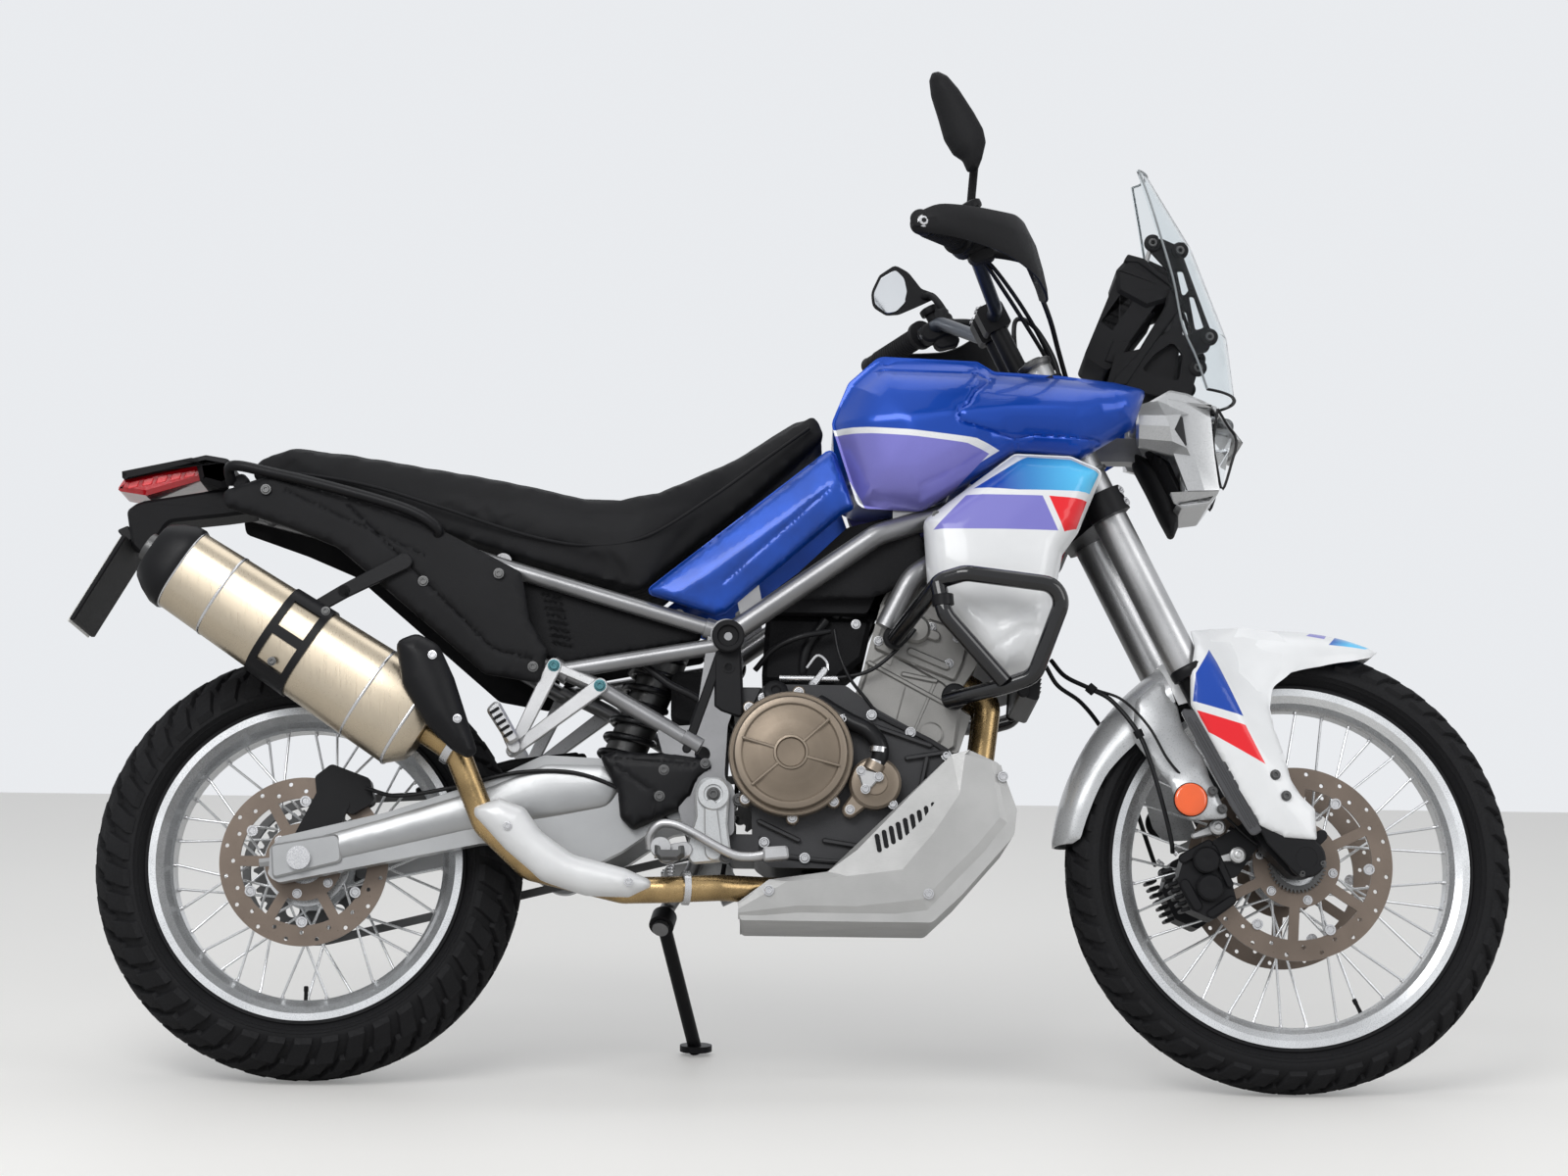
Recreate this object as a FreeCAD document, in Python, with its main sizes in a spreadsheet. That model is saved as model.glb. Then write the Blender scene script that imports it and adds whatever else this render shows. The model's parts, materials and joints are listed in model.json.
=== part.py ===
import FreeCAD, Part
import math
import os
from FreeCAD import Placement, Rotation, Vector

# An adventure motorcycle, parked on its side stand.
# The bike frame has X forward from the rear axle, Y to the rider's left, Z up from the ground.
# Pieces are drawn upright in that frame. Pieces that steer are drawn in the fork frame, whose Z runs
# up the steering axis from the ground and whose X points forward. The whole bike is then leaned left.

doc = FreeCAD.newDocument("adventure_motorcycle")
sheet = doc.addObject("Spreadsheet::Sheet", "sizes")

driving = {
    "wheelbase": 1525,
    "leanAngle": 12,
    "steerAngle": 3.8,
    "rakeAngle": 26.7,
    "trail": 113.3,
    "axleOffset": 56.5,
    "legOffset": 33,
    "legSpread": 105,
    "outerTubeRadius": 27.5,
    "stanchionRadius": 21.5,
    "axleRadius": 10,
    "runningFit": 0.05,
    "rearTyreRadius": 333,
    "rearTyreWidth": 150,
    "rearCrownRadius": 80,
    "rearRimRadius": 242.5,
    "rearRimHalf": 60,
    "frontTyreRadius": 350,
    "frontTyreWidth": 92,
    "frontCrownRadius": 50,
    "frontRimRadius": 280.5,
    "frontRimHalf": 32,
    "spokeRadius": 2,
    "frontDiscRadius": 150,
    "frontDiscY": 69,
    "rearDiscRadius": 130,
    "rearDiscY": 80,
    "discThickness": 4.5,
    "lugDepth": 9,
    "chainPitch": 15.875,
    "mainTubeRadius": 17,
    "subTubeRadius": 13,
    "crashTubeRadius": 12.5,
    "pipeRadius": 20,
    "headTubeRadius": 34,
    "stemRadius": 15,
    "barRadius": 11,
    "frameHalf": 150,
    "armInner": 102,
    "armOuter": 136,
    "engineHalf": 135,
    "skidHalf": 168,
    "sheetThickness": 4,
    "standFootY": 300,
}
for row, (alias, value) in enumerate(driving.items(), 1):
    sheet.set(f"A{row}", alias)
    sheet.set(f"B{row}", str(value))
    sheet.setAlias(f"B{row}", alias)
doc.recompute()


def size(alias):
    return float(sheet.get(alias))


def cell(alias, factor=1.0, plus=0.0):
    return f"sizes.{alias} * {factor} + {plus}"


# Sketches and the features built on them

def setOrBind(thing, name, value):
    if isinstance(value, str):
        thing.setExpression(name, value)
    else:
        setattr(thing, name, value)


def roundedCorners(corners):
    # Each corner is (a, b) or (a, b, radius); gives the straight and round stretches in order
    count = len(corners)
    points = [Vector(corner[0], corner[1], 0) for corner in corners]
    starts, arcs, ends = [], [], []
    for index in range(count):
        here = points[index]
        radius = corners[index][2] if len(corners[index]) > 2 else 0
        toBack = points[index - 1] - here
        toNext = points[(index + 1) % count] - here
        room = 0.45 * min(toBack.Length, toNext.Length)
        toBack.normalize()
        toNext.normalize()
        half = toBack.getAngle(toNext) / 2
        if radius <= 0 or half > math.radians(89.5):
            starts.append(here)
            arcs.append(None)
            ends.append(here)
            continue
        reach = min(radius / math.tan(half), room)
        radius = reach * math.tan(half)
        bisector = (toBack + toNext).normalize()
        middle = here + bisector * (radius / math.sin(half) - radius)
        starts.append(here + toBack * reach)
        arcs.append(middle)
        ends.append(here + toNext * reach)
    geometry = []
    for index in range(count):
        if arcs[index] is not None:
            geometry.append(Part.Arc(starts[index], arcs[index], ends[index]))
        geometry.append(Part.LineSegment(ends[index], starts[(index + 1) % count]))
    return geometry


def originPlane(body, role):
    return [feature for feature in body.Origin.OriginFeatures if feature.Role == role][0]


def newSketch(body, name, role, offset=0.0):
    sketch = body.newObject("Sketcher::SketchObject", name)
    sketch.AttachmentSupport = [(originPlane(body, role), "")]
    sketch.MapMode = "FlatFace"
    if isinstance(offset, str):
        sketch.setExpression("AttachmentOffset.Base.z", offset)
    else:
        sketch.AttachmentOffset = Placement(Vector(0, 0, offset), Rotation())
    return sketch


def slab(label, corners, near, far, holes=()):
    # A plate outlined in the XZ plane, from y = near to y = far; holes are (x, z, radius)
    body = doc.addObject("PartDesign::Body", label)
    sketch = newSketch(body, label + "_outline", "XZ_Plane", f"-({far})")
    sketch.addGeometry(roundedCorners(corners), False)
    for holeX, holeZ, radius in holes:
        sketch.addGeometry(Part.Circle(Vector(holeX, holeZ, 0), Vector(0, 0, 1), radius), False)
    pad = body.newObject("PartDesign::Pad", label + "_pad")
    pad.Profile = sketch
    pad.setExpression("Length", f"({far}) - ({near})")
    return body


def layer(label, corners, low, high, holes=()):
    # A plate outlined in the XY plane, from z = low to z = high
    body = doc.addObject("PartDesign::Body", label)
    sketch = newSketch(body, label + "_outline", "XY_Plane", f"{low}")
    sketch.addGeometry(roundedCorners(corners), False)
    for holeX, holeY, radius in holes:
        sketch.addGeometry(Part.Circle(Vector(holeX, holeY, 0), Vector(0, 0, 1), radius), False)
    pad = body.newObject("PartDesign::Pad", label + "_pad")
    pad.Profile = sketch
    pad.setExpression("Length", f"({high}) - ({low})")
    return body


def crossSection(label, corners, rear, front):
    # A bar outlined in the YZ plane, from x = rear to x = front
    body = doc.addObject("PartDesign::Body", label)
    sketch = newSketch(body, label + "_outline", "YZ_Plane", f"{rear}")
    sketch.addGeometry(roundedCorners(corners), False)
    pad = body.newObject("PartDesign::Pad", label + "_pad")
    pad.Profile = sketch
    pad.setExpression("Length", f"({front}) - ({rear})")
    return body


def turned(label, corners, angle=360.0, turn=0.0):
    # A shape turned about its own Y axis; corners are (y, radius from the axis)
    body = doc.addObject("PartDesign::Body", label)
    sketch = newSketch(body, label + "_profile", "YZ_Plane")
    sketch.addGeometry(roundedCorners(corners), False)
    revolution = body.newObject("PartDesign::Revolution", label + "_turn")
    revolution.Profile = sketch
    revolution.ReferenceAxis = (sketch, ["H_Axis"])
    revolution.Angle = angle
    body.Placement = Placement(Vector(), Rotation(Vector(0, 1, 0), turn))
    return body


def lofted(label, sections, role="XZ_Plane", ruled=False):
    # A skin through outlines with the same number of corners; sections are (offset, corners)
    body = doc.addObject("PartDesign::Body", label)
    sketches = []
    for index, (offset, corners) in enumerate(sections):
        signed = -offset if role == "XZ_Plane" else offset
        sketch = newSketch(body, f"{label}_section{index}", role, signed)
        sketch.addGeometry(roundedCorners(corners), False)
        sketches.append(sketch)
    loft = body.newObject("PartDesign::AdditiveLoft", label + "_loft")
    loft.Profile = sketches[0]
    loft.Sections = sketches[1:]
    loft.Ruled = ruled
    return body


def cylinder(label, start, end, radius):
    # A round bar between two points
    bar = doc.addObject("Part::Cylinder", label)
    along = Vector(end) - Vector(start)
    setOrBind(bar, "Radius", radius)
    bar.Height = along.Length
    bar.Placement = Placement(Vector(start), Rotation(Vector(0, 0, 1), along))
    return bar


def bentPath(points, bend):
    # Straight runs joined by arcs of the bend radius
    corners = [Vector(point) for point in points]
    edges = []
    last = corners[0]
    for back, here, ahead in zip(corners, corners[1:], corners[2:]):
        toBack = back - here
        toNext = ahead - here
        room = 0.45 * min(toBack.Length, toNext.Length)
        toBack.normalize()
        toNext.normalize()
        half = toBack.getAngle(toNext) / 2
        reach = min(bend / math.tan(half), room)
        radius = reach * math.tan(half)
        bisector = (toBack + toNext).normalize()
        middle = here + bisector * (radius / math.sin(half) - radius)
        entry = here + toBack * reach
        leave = here + toNext * reach
        edges.append(Part.LineSegment(last, entry).toShape())
        edges.append(Part.Arc(entry, middle, leave).toShape())
        last = leave
    edges.append(Part.LineSegment(last, corners[-1]).toShape())
    return Part.Wire(edges)


def tube(label, points, radius, bend=40.0):
    # A bent tube with closed ends, swept along straight runs and arcs
    path = bentPath(points, bend)
    first = path.OrderedEdges[0]
    start = first.valueAt(first.FirstParameter)
    along = first.tangentAt(first.FirstParameter)
    ring = Part.Wire(Part.Circle(start, along, radius).toShape())
    feature = doc.addObject("Part::Feature", label)
    feature.Shape = path.makePipeShell([ring], True, False)
    return feature


def mirrored(piece):
    copy = doc.addObject("Part::Mirroring", piece.Label + "_left")
    copy.Source = piece
    copy.Normal = Vector(0, 1, 0)
    return copy


def pair(*pieces):
    return [side for piece in pieces for side in (piece, mirrored(piece))]


def cut(label, base, tool):
    result = doc.addObject("Part::Cut", label)
    result.Base = base
    result.Tool = tool
    return result


def common(label, base, tool):
    result = doc.addObject("Part::Common", label)
    result.Base = base
    result.Tool = tool
    return result


def fused(label, pieces):
    result = doc.addObject("Part::MultiFuse", label)
    result.Shapes = pieces
    result.Refine = False
    return result


def joined(label, pieces):
    result = doc.addObject("Part::Compound", label)
    result.Links = pieces
    return result


# The parked pose: the bike leans about the ground line, the fork turns about the steering axis

leanTurn = Placement(Vector(), Rotation(Vector(1, 0, 0), -size("leanAngle")))
axisFoot = size("wheelbase") + size("trail")
rake = math.radians(size("rakeAngle"))
forkFrame = Placement(Vector(axisFoot, 0, 0), Rotation(Vector(0, 1, 0), -size("rakeAngle")))
steerTurn = Placement(Vector(), Rotation(Vector(0, 0, 1), size("steerAngle")))
bikePose = leanTurn
forkPose = leanTurn * forkFrame * steerTurn
nodes = {}


def bikeNode(name, shape):
    nodes[name] = shape
    shape.Label = name
    shape.Placement = bikePose * shape.Placement
    return shape


def forkNode(name, shape):
    nodes[name] = shape
    shape.Label = name
    shape.Placement = forkPose * shape.Placement
    return shape


# Both tyres touch the ground beside their middle, on the round of the crown

lean = math.radians(size("leanAngle"))
steer = math.radians(size("steerAngle"))
rearRing = size("rearTyreRadius") - size("rearCrownRadius")
rearAxle = Vector(0, 0, rearRing + size("rearCrownRadius") / math.cos(lean))
frontRing = size("frontTyreRadius") - size("frontCrownRadius")
spindleTilt = math.cos(steer) * math.sin(lean) + math.sin(steer) * math.sin(rake) * math.cos(lean)
groundDrop = frontRing * math.sqrt(1 - spindleTilt**2) + size("frontCrownRadius")
sideShift = size("axleOffset") * math.sin(steer) * math.sin(lean)
frontAxleHeight = (groundDrop + sideShift) / math.cos(lean)
axleForward = size("axleOffset") * math.cos(steer)
axleAlong = (frontAxleHeight - axleForward * math.sin(rake)) / math.cos(rake)
frontAxle = Vector(size("axleOffset"), 0, axleAlong)


# Wheels

def tyre(label, radius, crown, width, rimRadius, beadHalf, lugs):
    # A ring with blocks round its tread: V shaped slots run from beside the middle out over both shoulders
    half = width / 2
    shoulder = radius - crown + math.sqrt(crown**2 - half**2)
    seat = rimRadius - 13
    body = doc.addObject("PartDesign::Body", label)
    sketch = newSketch(body, label + "_profile", "YZ_Plane")
    bulge = (shoulder + rimRadius) / 2
    left = [Vector(-half, shoulder, 0), Vector(-beadHalf - 0.85 * (half - beadHalf), bulge, 0)]
    beadTop = Vector(-beadHalf, rimRadius, 0)
    beadFoot = Vector(-beadHalf, seat, 0)
    flip = lambda point: Vector(-point.x, point.y, 0)
    sketch.addGeometry([
        Part.Arc(left[0], Vector(0, radius, 0), flip(left[0])),
        Part.Arc(flip(left[0]), flip(left[1]), flip(beadTop)),
        Part.LineSegment(flip(beadTop), flip(beadFoot)),
        Part.LineSegment(flip(beadFoot), beadFoot),
        Part.LineSegment(beadFoot, beadTop),
        Part.Arc(beadTop, left[1], left[0]),
    ], False)
    revolution = body.newObject("PartDesign::Revolution", label + "_turn")
    revolution.Profile = sketch
    revolution.ReferenceAxis = (sketch, ["H_Axis"])
    revolution.Angle = 360

    depth = size("lugDepth")
    slots = newSketch(body, label + "_slots", "YZ_Plane")
    for side in (-1, 1):
        corners = [(0.16 * half, radius + 5), (0.16 * half, radius - depth), (0.8 * half, shoulder + 0.2 * depth),
                   (half - 0.3 * depth, shoulder - 2.4 * depth), (half + 5, shoulder - 2.4 * depth),
                   (half + 5, radius + 5)]
        points = [Vector(side * across, up, 0) for across, up in corners]
        slots.addGeometry([Part.LineSegment(points[i - 1], points[i]) for i in range(len(points))], False)
    pocket = body.newObject("PartDesign::Pocket", label + "_slot")
    pocket.Profile = slots
    pocket.Midplane = True
    pocket.Length = depth
    pattern = body.newObject("PartDesign::PolarPattern", label + "_lugs")
    pattern.Originals = [pocket]
    pattern.Axis = (sketch, ["H_Axis"])
    pattern.Angle = 360
    pattern.Occurrences = lugs
    body.Tip = pattern
    return body


def rimRing(label, radius, half):
    flange = 4
    seat = radius - 14
    well = seat - 9
    inner = well - 10
    return turned(label, [
        (-half, radius), (-half + flange, radius), (-half + flange, seat), (-0.45 * half, seat),
        (-0.3 * half, well), (0.3 * half, well), (0.45 * half, seat), (half - flange, seat),
        (half - flange, radius), (half, radius), (half, seat + 3), (0.8 * half, seat - 8),
        (0.52 * half, inner + 4), (0.42 * half, inner), (-0.42 * half, inner), (-0.52 * half, inner + 4),
        (-0.8 * half, seat - 8), (-half, seat + 3),
    ])


def hub(label, barrel, half, flange, rightSeat, leftSeat):
    # Seats are (reach along Y, radius) of the faces that carry a disc or sprocket
    bore = size("axleRadius") + size("runningFit")
    rib = 14
    rightReach, rightRadius = rightSeat
    leftReach, leftRadius = leftSeat
    return turned(label, [
        (-rightReach, bore), (leftReach, bore), (leftReach, leftRadius), (half, leftRadius), (half, flange),
        (half - rib, flange), (half - rib, barrel), (-half + rib, barrel), (-half + rib, flange),
        (-half, flange), (-half, rightRadius), (-rightReach, rightRadius),
    ])


def spokes(label, hubRadius, hubHalf, rimRadius, rimHalf, count):
    # Crossed pairs of tangent spokes from the hub flanges to the middle of the rim
    turnAhead = math.radians(38)
    pieces = []
    for index in range(count):
        side = 1 if index % 2 else -1
        ahead = turnAhead if (index // 2) % 2 else -turnAhead
        rimAngle = 2 * math.pi * index / count
        hubAngle = rimAngle + ahead
        lace = 3 if ahead > 0 else -3
        hubSide = side * (hubHalf + lace)
        rimSide = side * (rimHalf + 0.75 * lace)
        inner = Vector(hubRadius * math.cos(hubAngle), hubSide, hubRadius * math.sin(hubAngle))
        outer = Vector(rimRadius * math.cos(rimAngle), rimSide, rimRadius * math.sin(rimAngle))
        pieces.append(cylinder(f"{label}{index}", inner, outer, cell("spokeRadius")))
    return pieces


def wireWheel(label, rimRadius, rimHalf, barrel, hubHalf, flange, rightSeat, leftSeat):
    ring = rimRing(label + "_ring", rimRadius, rimHalf)
    centre = hub(label + "_hub", barrel, hubHalf, flange, rightSeat, leftSeat)
    wires = spokes(label + "_spoke", flange - 5, hubHalf - 7, rimRadius - 30, 0.2 * rimHalf, 36)
    return fused(label, [ring, centre] + wires)


def roundPlate(label, radius, near, far, holes):
    # A disc in the XZ plane with round holes (x, z, radius)
    body = doc.addObject("PartDesign::Body", label)
    sketch = newSketch(body, label + "_outline", "XZ_Plane", -far)
    sketch.addGeometry(Part.Circle(Vector(), Vector(0, 0, 1), radius), False)
    for x, z, hole in holes:
        sketch.addGeometry(Part.Circle(Vector(x, z, 0), Vector(0, 0, 1), hole), False)
    pad = body.newObject("PartDesign::Pad", label + "_pad")
    pad.Profile = sketch
    pad.Length = far - near
    return body


def brakeDisc(label, radius, inner, hubRadius, centreY):
    # A flat drilled ring carried by six arms on a centre plate
    half = size("discThickness") / 2
    holes = [(0, 0, inner)]
    for index in range(32):
        angle = 2 * math.pi * index / 32
        reach = inner + (radius - inner) * (0.72 if index % 2 else 0.34)
        holes.append((reach * math.cos(angle), reach * math.sin(angle), 3.2))
    ring = roundPlate(label + "_ring", radius, centreY - half, centreY + half, holes)
    centre = turned(label + "_centre", [
        (centreY - half, hubRadius - 26), (centreY + half, hubRadius - 26),
        (centreY + half, hubRadius), (centreY - half, hubRadius)
    ])
    arms = []
    for index in range(6):
        arm = doc.addObject("Part::Box", f"{label}_arm{index}")
        arm.Length = inner - hubRadius + 12
        arm.Width = 2 * half
        arm.Height = 16
        angle = 60 * index
        turn = Rotation(Vector(0, 1, 0), angle)
        arm.Placement = Placement(turn * Vector(hubRadius - 6, centreY - half, -8), turn)
        arms.append(arm)
    return fused(label, [ring, centre] + arms)


def placeAt(shape, centre):
    shape.Placement = Placement(centre, Rotation()) * shape.Placement
    return shape


rearBead = size("rearRimHalf") - 4
frontBead = size("frontRimHalf") - 4
rearTyre = tyre("rearTyreShape", size("rearTyreRadius"), size("rearCrownRadius"), size("rearTyreWidth"),
                size("rearRimRadius"), rearBead, 40)
bikeNode("rear_tyre", placeAt(rearTyre, rearAxle))
halfDisc = size("discThickness") / 2
rearRim = wireWheel("rearRimShape", size("rearRimRadius"), size("rearRimHalf"), 42, 48, 66,
                    (size("rearDiscY") - halfDisc, 46), (86, 58))
bikeNode("rear_rim", placeAt(rearRim, rearAxle))
rearDisc = brakeDisc("rearDiscShape", size("rearDiscRadius"), 98, 60, -size("rearDiscY"))
bikeNode("rear_disc", placeAt(rearDisc, rearAxle))
frontTyre = tyre("frontTyreShape", size("frontTyreRadius"), size("frontCrownRadius"),
                 size("frontTyreWidth"), size("frontRimRadius"), frontBead, 44)
forkNode("front_tyre", placeAt(frontTyre, frontAxle))
frontSeat = (size("frontDiscY") - halfDisc, 46)
frontRim = wireWheel("frontRimShape", size("frontRimRadius"), size("frontRimHalf"), 30, 40, 54,
                     frontSeat, frontSeat)
forkNode("front_rim", placeAt(frontRim, frontAxle))
frontDiscs = joined("frontDiscsShape", [
    brakeDisc("rightDisc", size("frontDiscRadius"), 118, 68, -size("frontDiscY")),
    brakeDisc("leftDisc", size("frontDiscRadius"), 118, 68, size("frontDiscY")),
])
forkNode("front_discs", placeAt(frontDiscs, frontAxle))


# Frame, engine and exhaust

standPivot = Vector(548, 120, 265)
standAxis = Vector(0.168, 0.728, 0.664).normalize()


def mainFrame():
    main = size("mainTubeRadius")
    sub = size("subTubeRadius")
    half = size("frameHalf")
    headTube = cylinder("head_tube", (0, 0, 1015), (0, 0, 1175), cell("headTubeRadius"))
    headTube.Placement = forkFrame * headTube.Placement
    bore = cylinder("head_bore", (0, 0, 1000), (0, 0, 1190), cell("stemRadius", 1, size("runningFit")))
    bore.Placement = forkFrame * bore.Placement
    spar = tube("spar", [(1150, -34, 966), (1095, -42, 942), (1010, -120, 893), (876, -half, 845),
                         (650, -half, 686)], main, 60)
    lowSpar = tube("low_spar", [(1172, -34, 938), (1085, -45, 880), (1000, -120, 830), (930, -half, 780),
                                (890, -half, 700)], main, 60)
    rail = tube("rail", [(650, -half, 686), (314, -145, 784), (60, -128, 868), (-130, -100, 912)], sub, 60)
    lowRail = tube("low_rail", [(655, -half, 672), (382, -145, 625), (250, -135, 700), (60, -122, 850)],
                   sub, 30)
    stay = tube("stay", [(600, -half, 516), (453, -148, 601), (395, -145, 628)], sub, 40)
    plate = slab("pivot_plate", [
        (620, 700, 8), (668, 700, 8), (668, 600, 10), (650, 545, 20), (646, 470, 20), (662, 420, 10),
        (662, 376, 10), (590, 372, 10), (560, 470, 20), (540, 540, 10), (600, 545, 10)
    ], -half - 8, -half + 8, [(645, 620, 14), (612, 500, 12)])
    cap = cylinder("joint_cap", (646, -half - 24, 683), (646, -half + 17, 683), 24)
    cross = cylinder("seat_cross", (300, -145, 796.3), (300, 145, 796.3), sub)
    tailCross = cylinder("tail_cross", (-90, -108, 903), (-90, 108, 903), sub)
    pivot = cylinder("pivot_tube", (633, -half, 443), (633, half, 443), 14)
    noseStay = slab("nose_stay", [(1163, 990), (1302, 990), (1285, 1028), (1144, 1028)], -20, 20)
    standPost = tube("stand_post", [standPivot + standAxis * 13.3, standPivot + standAxis * 34,
                                    (592, half - 7, 345), (608, half - 7, 385)], 12, 20)
    standBolt = cylinder("stand_bolt", standPivot + standAxis * 15, standPivot - standAxis * 22, 8)
    standHead = cylinder("stand_bolt_head", standPivot - standAxis * 13.5, standPivot - standAxis * 22, 13)
    panelTab = slab("panel_tab", [(668, 712, 4), (700, 735, 4), (690, 790, 4), (655, 765, 4)], -half, -half + 8)
    tankSeat = slab("tank_seat", [(900, 850), (940, 862), (940, 920.7), (900, 919.3)], -144, -134)
    pieces = pair(spar, lowSpar, rail, lowRail, stay, plate, cap, panelTab, tankSeat)
    singles = [cut("bored_head_tube", headTube, bore), cross, tailCross, pivot, noseStay, standPost, standBolt,
               standHead]
    return fused("mainFrameShape", singles + pieces)


def engineCase():
    half = size("engineHalf")
    case = slab("case_block", [
        (690, 350, 20), (720, 330, 20), (945, 330, 30), (990, 392, 30), (1000, 510, 30), (880, 575, 20),
        (830, 612, 20), (700, 612, 20), (684, 560, 10)
    ], -half, half)
    lug = slab("case_lug", [(642, 572, 14), (642, 606, 14), (700, 606), (686, 576)], -141.7, 141.7)
    lowLug = slab("case_low_lug", [(652, 380, 8), (652, 352, 8), (700, 352), (700, 380)], -141.7, 141.7)
    pocket = slab("sprocket_pocket", [(630, 375), (765, 375), (765, 511), (630, 511)], 78, 150)
    return cut("engineCaseShape", fused("case_whole", [case, lug, lowLug]), pocket)


def engineCovers():
    half = size("engineHalf")
    clutch = cylinder("clutch_round", (747, -half - 52, 501), (747, -half - 0.2, 501), 88)
    pump = cylinder("pump_round", (858, -half - 30, 470), (858, -half - 0.2, 470), 34)
    face = -half - 52
    rim = roundPlate("clutch_rim", 80, face - 4, face + 1, [(0, 0, 74)])
    ring = roundPlate("clutch_ring", 27, face - 4, face + 1, [(0, 0, 22)])
    ribs = []
    for index in range(5):
        rib = doc.addObject("Part::Box", f"clutch_rib{index}")
        rib.Length = 52
        rib.Width = 4
        rib.Height = 4
        turn = Rotation(Vector(0, 1, 0), 72 * index + 38)
        rib.Placement = Placement(turn * Vector(24, face - 3, -2), turn)
        ribs.append(rib)
    lifted = [placeAt(piece, Vector(747, 0, 501)) for piece in [rim, ring] + ribs]
    bosses = []
    for angle in range(20, 380, 60):
        x = 747 + 92 * math.cos(math.radians(angle))
        z = 501 + 92 * math.sin(math.radians(angle))
        bosses.append(cylinder(f"cover_boss{angle}", (x, -half - 14, z), (x, -half - 0.2, z), 9))
    spout = cylinder("filler_spout", (716, -half - 40, 590), (716, -half - 12, 590), 14)
    hose = cylinder("pump_neck", (872, -half - 24, 484), (885, -half - 24, 520), 12)
    right = fused("clutchSide", [clutch, pump, spout, hose] + lifted + bosses)
    left = cylinder("generator_round", (790, half + 0.2, 470), (790, half + 46, 470), 78)
    return joined("engineCoversShape", [right, left])


def cylinderHead():
    # Cylinder block, head and cam cover, stacked along the forward leaning bores
    block = slab("cylinder_block", [
        (845, 601.3), (880.2, 575.4, 20), (1004, 508.4, 10), (1024, 570), (862, 656)
    ], -108, 108)
    head = slab("head_block", [
        (860, 652), (986, 585), (1001, 600), (1033, 650, 6), (1022, 698, 10), (884, 744, 10)
    ], -112, 112)
    camCover = slab("cam_cover", [(880, 736, 6), (1018, 690, 6), (1004, 757, 24), (986, 773, 12), (905, 789, 24)],
                    -106, 106)
    ribs = [slab(f"head_rib{spot}", [
        (spot, 650), (spot + 7, 646), (spot + 30, 722), (spot + 23, 725)
    ], -118, -111) for spot in (892, 930, 968)]
    plugTower = cylinder("plug_tower", (938, -118, 700), (938, -100, 700), 17)
    return fused("cylinderHeadShape", [block, head, camCover, plugTower] + ribs)


def airBox():
    # The black box between the frame tubes, on top of the cam cover
    return slab("airBoxShape", [
        (705, 728, 10), (862, 728, 8), (893, 792.5), (925, 785.4), (932, 860, 10), (890, 878, 14),
        (830, 862, 20), (755, 790, 20), (712, 757, 10)
    ], -112, 112)


def radiator():
    core = slab("radiator_core", [(1095, 600, 6), (1127, 590, 6), (1140, 822, 6), (1108, 830, 6)], -140, 140)
    grooves = []
    for index in range(12):
        groove = doc.addObject("Part::Box", f"radiator_groove{index}")
        groove.Length = 8
        groove.Width = 256
        groove.Height = 9
        low = Vector(1127, -128, 608)
        step = Vector(13, 0, 232) * (index / 13.5)
        groove.Placement = Placement(low + step, Rotation(Vector(0, 1, 0), 3))
        grooves.append(groove)
    core = cut("radiator_fins", core, joined("radiator_grooves", grooves))
    ear = slab("radiator_ear", [(1100, 825), (1118, 825), (1118, 881.2), (1100, 869.2)], -50, -38)
    return fused("radiatorShape", [core] + pair(ear))


def exhaustPipes():
    radius = size("pipeRadius")
    bend = 30
    left = tube("left_header", [(1017.3, 50, 624.8), (1054.3, 50, 601.1), (1030, 50, 400), (965, 45, 298),
                                (900, 20, 292), (790, -90, 294)], radius, bend)
    right = tube("right_header", [
        (1017.3, -50, 624.8), (1054.3, -50, 601.1), (1030, -50, 400), (965, -50, 298), (850, -60, 292),
        (725, -122, 296), (640, -162, 296), (560, -186, 290), (496, -188, 288), (354, -190, 321),
        (286, -190, 386), (240, -190, 495), (193.1, -190, 525.4)
    ], radius, bend)
    return fused("exhaustPipesShape", [left, right])


mufflerRun = Vector(-343, 0, 221)
mufflerFoot = Vector(155, -190, 550)
mufflerPose = Placement(mufflerFoot, Rotation(Vector(0, 1, 0), 180 + math.degrees(math.atan2(221, 343))))


def ovalSection(high, wide):
    # A rounded upright oblong in the YZ plane
    radius = 0.46 * wide
    return [(-wide / 2, -high / 2, radius), (wide / 2, -high / 2, radius),
            (wide / 2, high / 2, radius), (-wide / 2, high / 2, radius)]


def alongMuffler(shape):
    shape.Placement = mufflerPose * shape.Placement
    return shape


def muffler():
    can = lofted("muffler_can", [
        (-45, ovalSection(110, 84)), (-15, ovalSection(154, 106)), (408, ovalSection(130, 104))
    ], "YZ_Plane", True)
    return alongMuffler(can)


def mufflerTrim():
    cap = lofted("muffler_cap", [(408.2, ovalSection(126, 100)), (458, ovalSection(92, 74))], "YZ_Plane", True)
    return alongMuffler(cap)


def mufflerStrap():
    # A sheet band round the can, with two windows on the outside
    outerRings = [(170, ovalSection(151, 109.4)), (236, ovalSection(147, 109.1))]
    innerRings = [(169, ovalSection(144.1, 105.7)), (237, ovalSection(140.2, 105.4))]
    outer = lofted("strap_outer", outerRings, "YZ_Plane", True)
    inner = lofted("strap_inner", innerRings, "YZ_Plane", True)
    band = cut("strap_band", outer, inner)
    windows = [slab(f"strap_window{low}", [
        (184, low, 8), (222, low, 8), (222, low + 38, 8), (184, low + 38, 8)
    ], -20, 80) for low in (-46, 12)]
    return alongMuffler(cut("mufflerStrapShape", band, joined("strap_windows", windows)))


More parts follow.
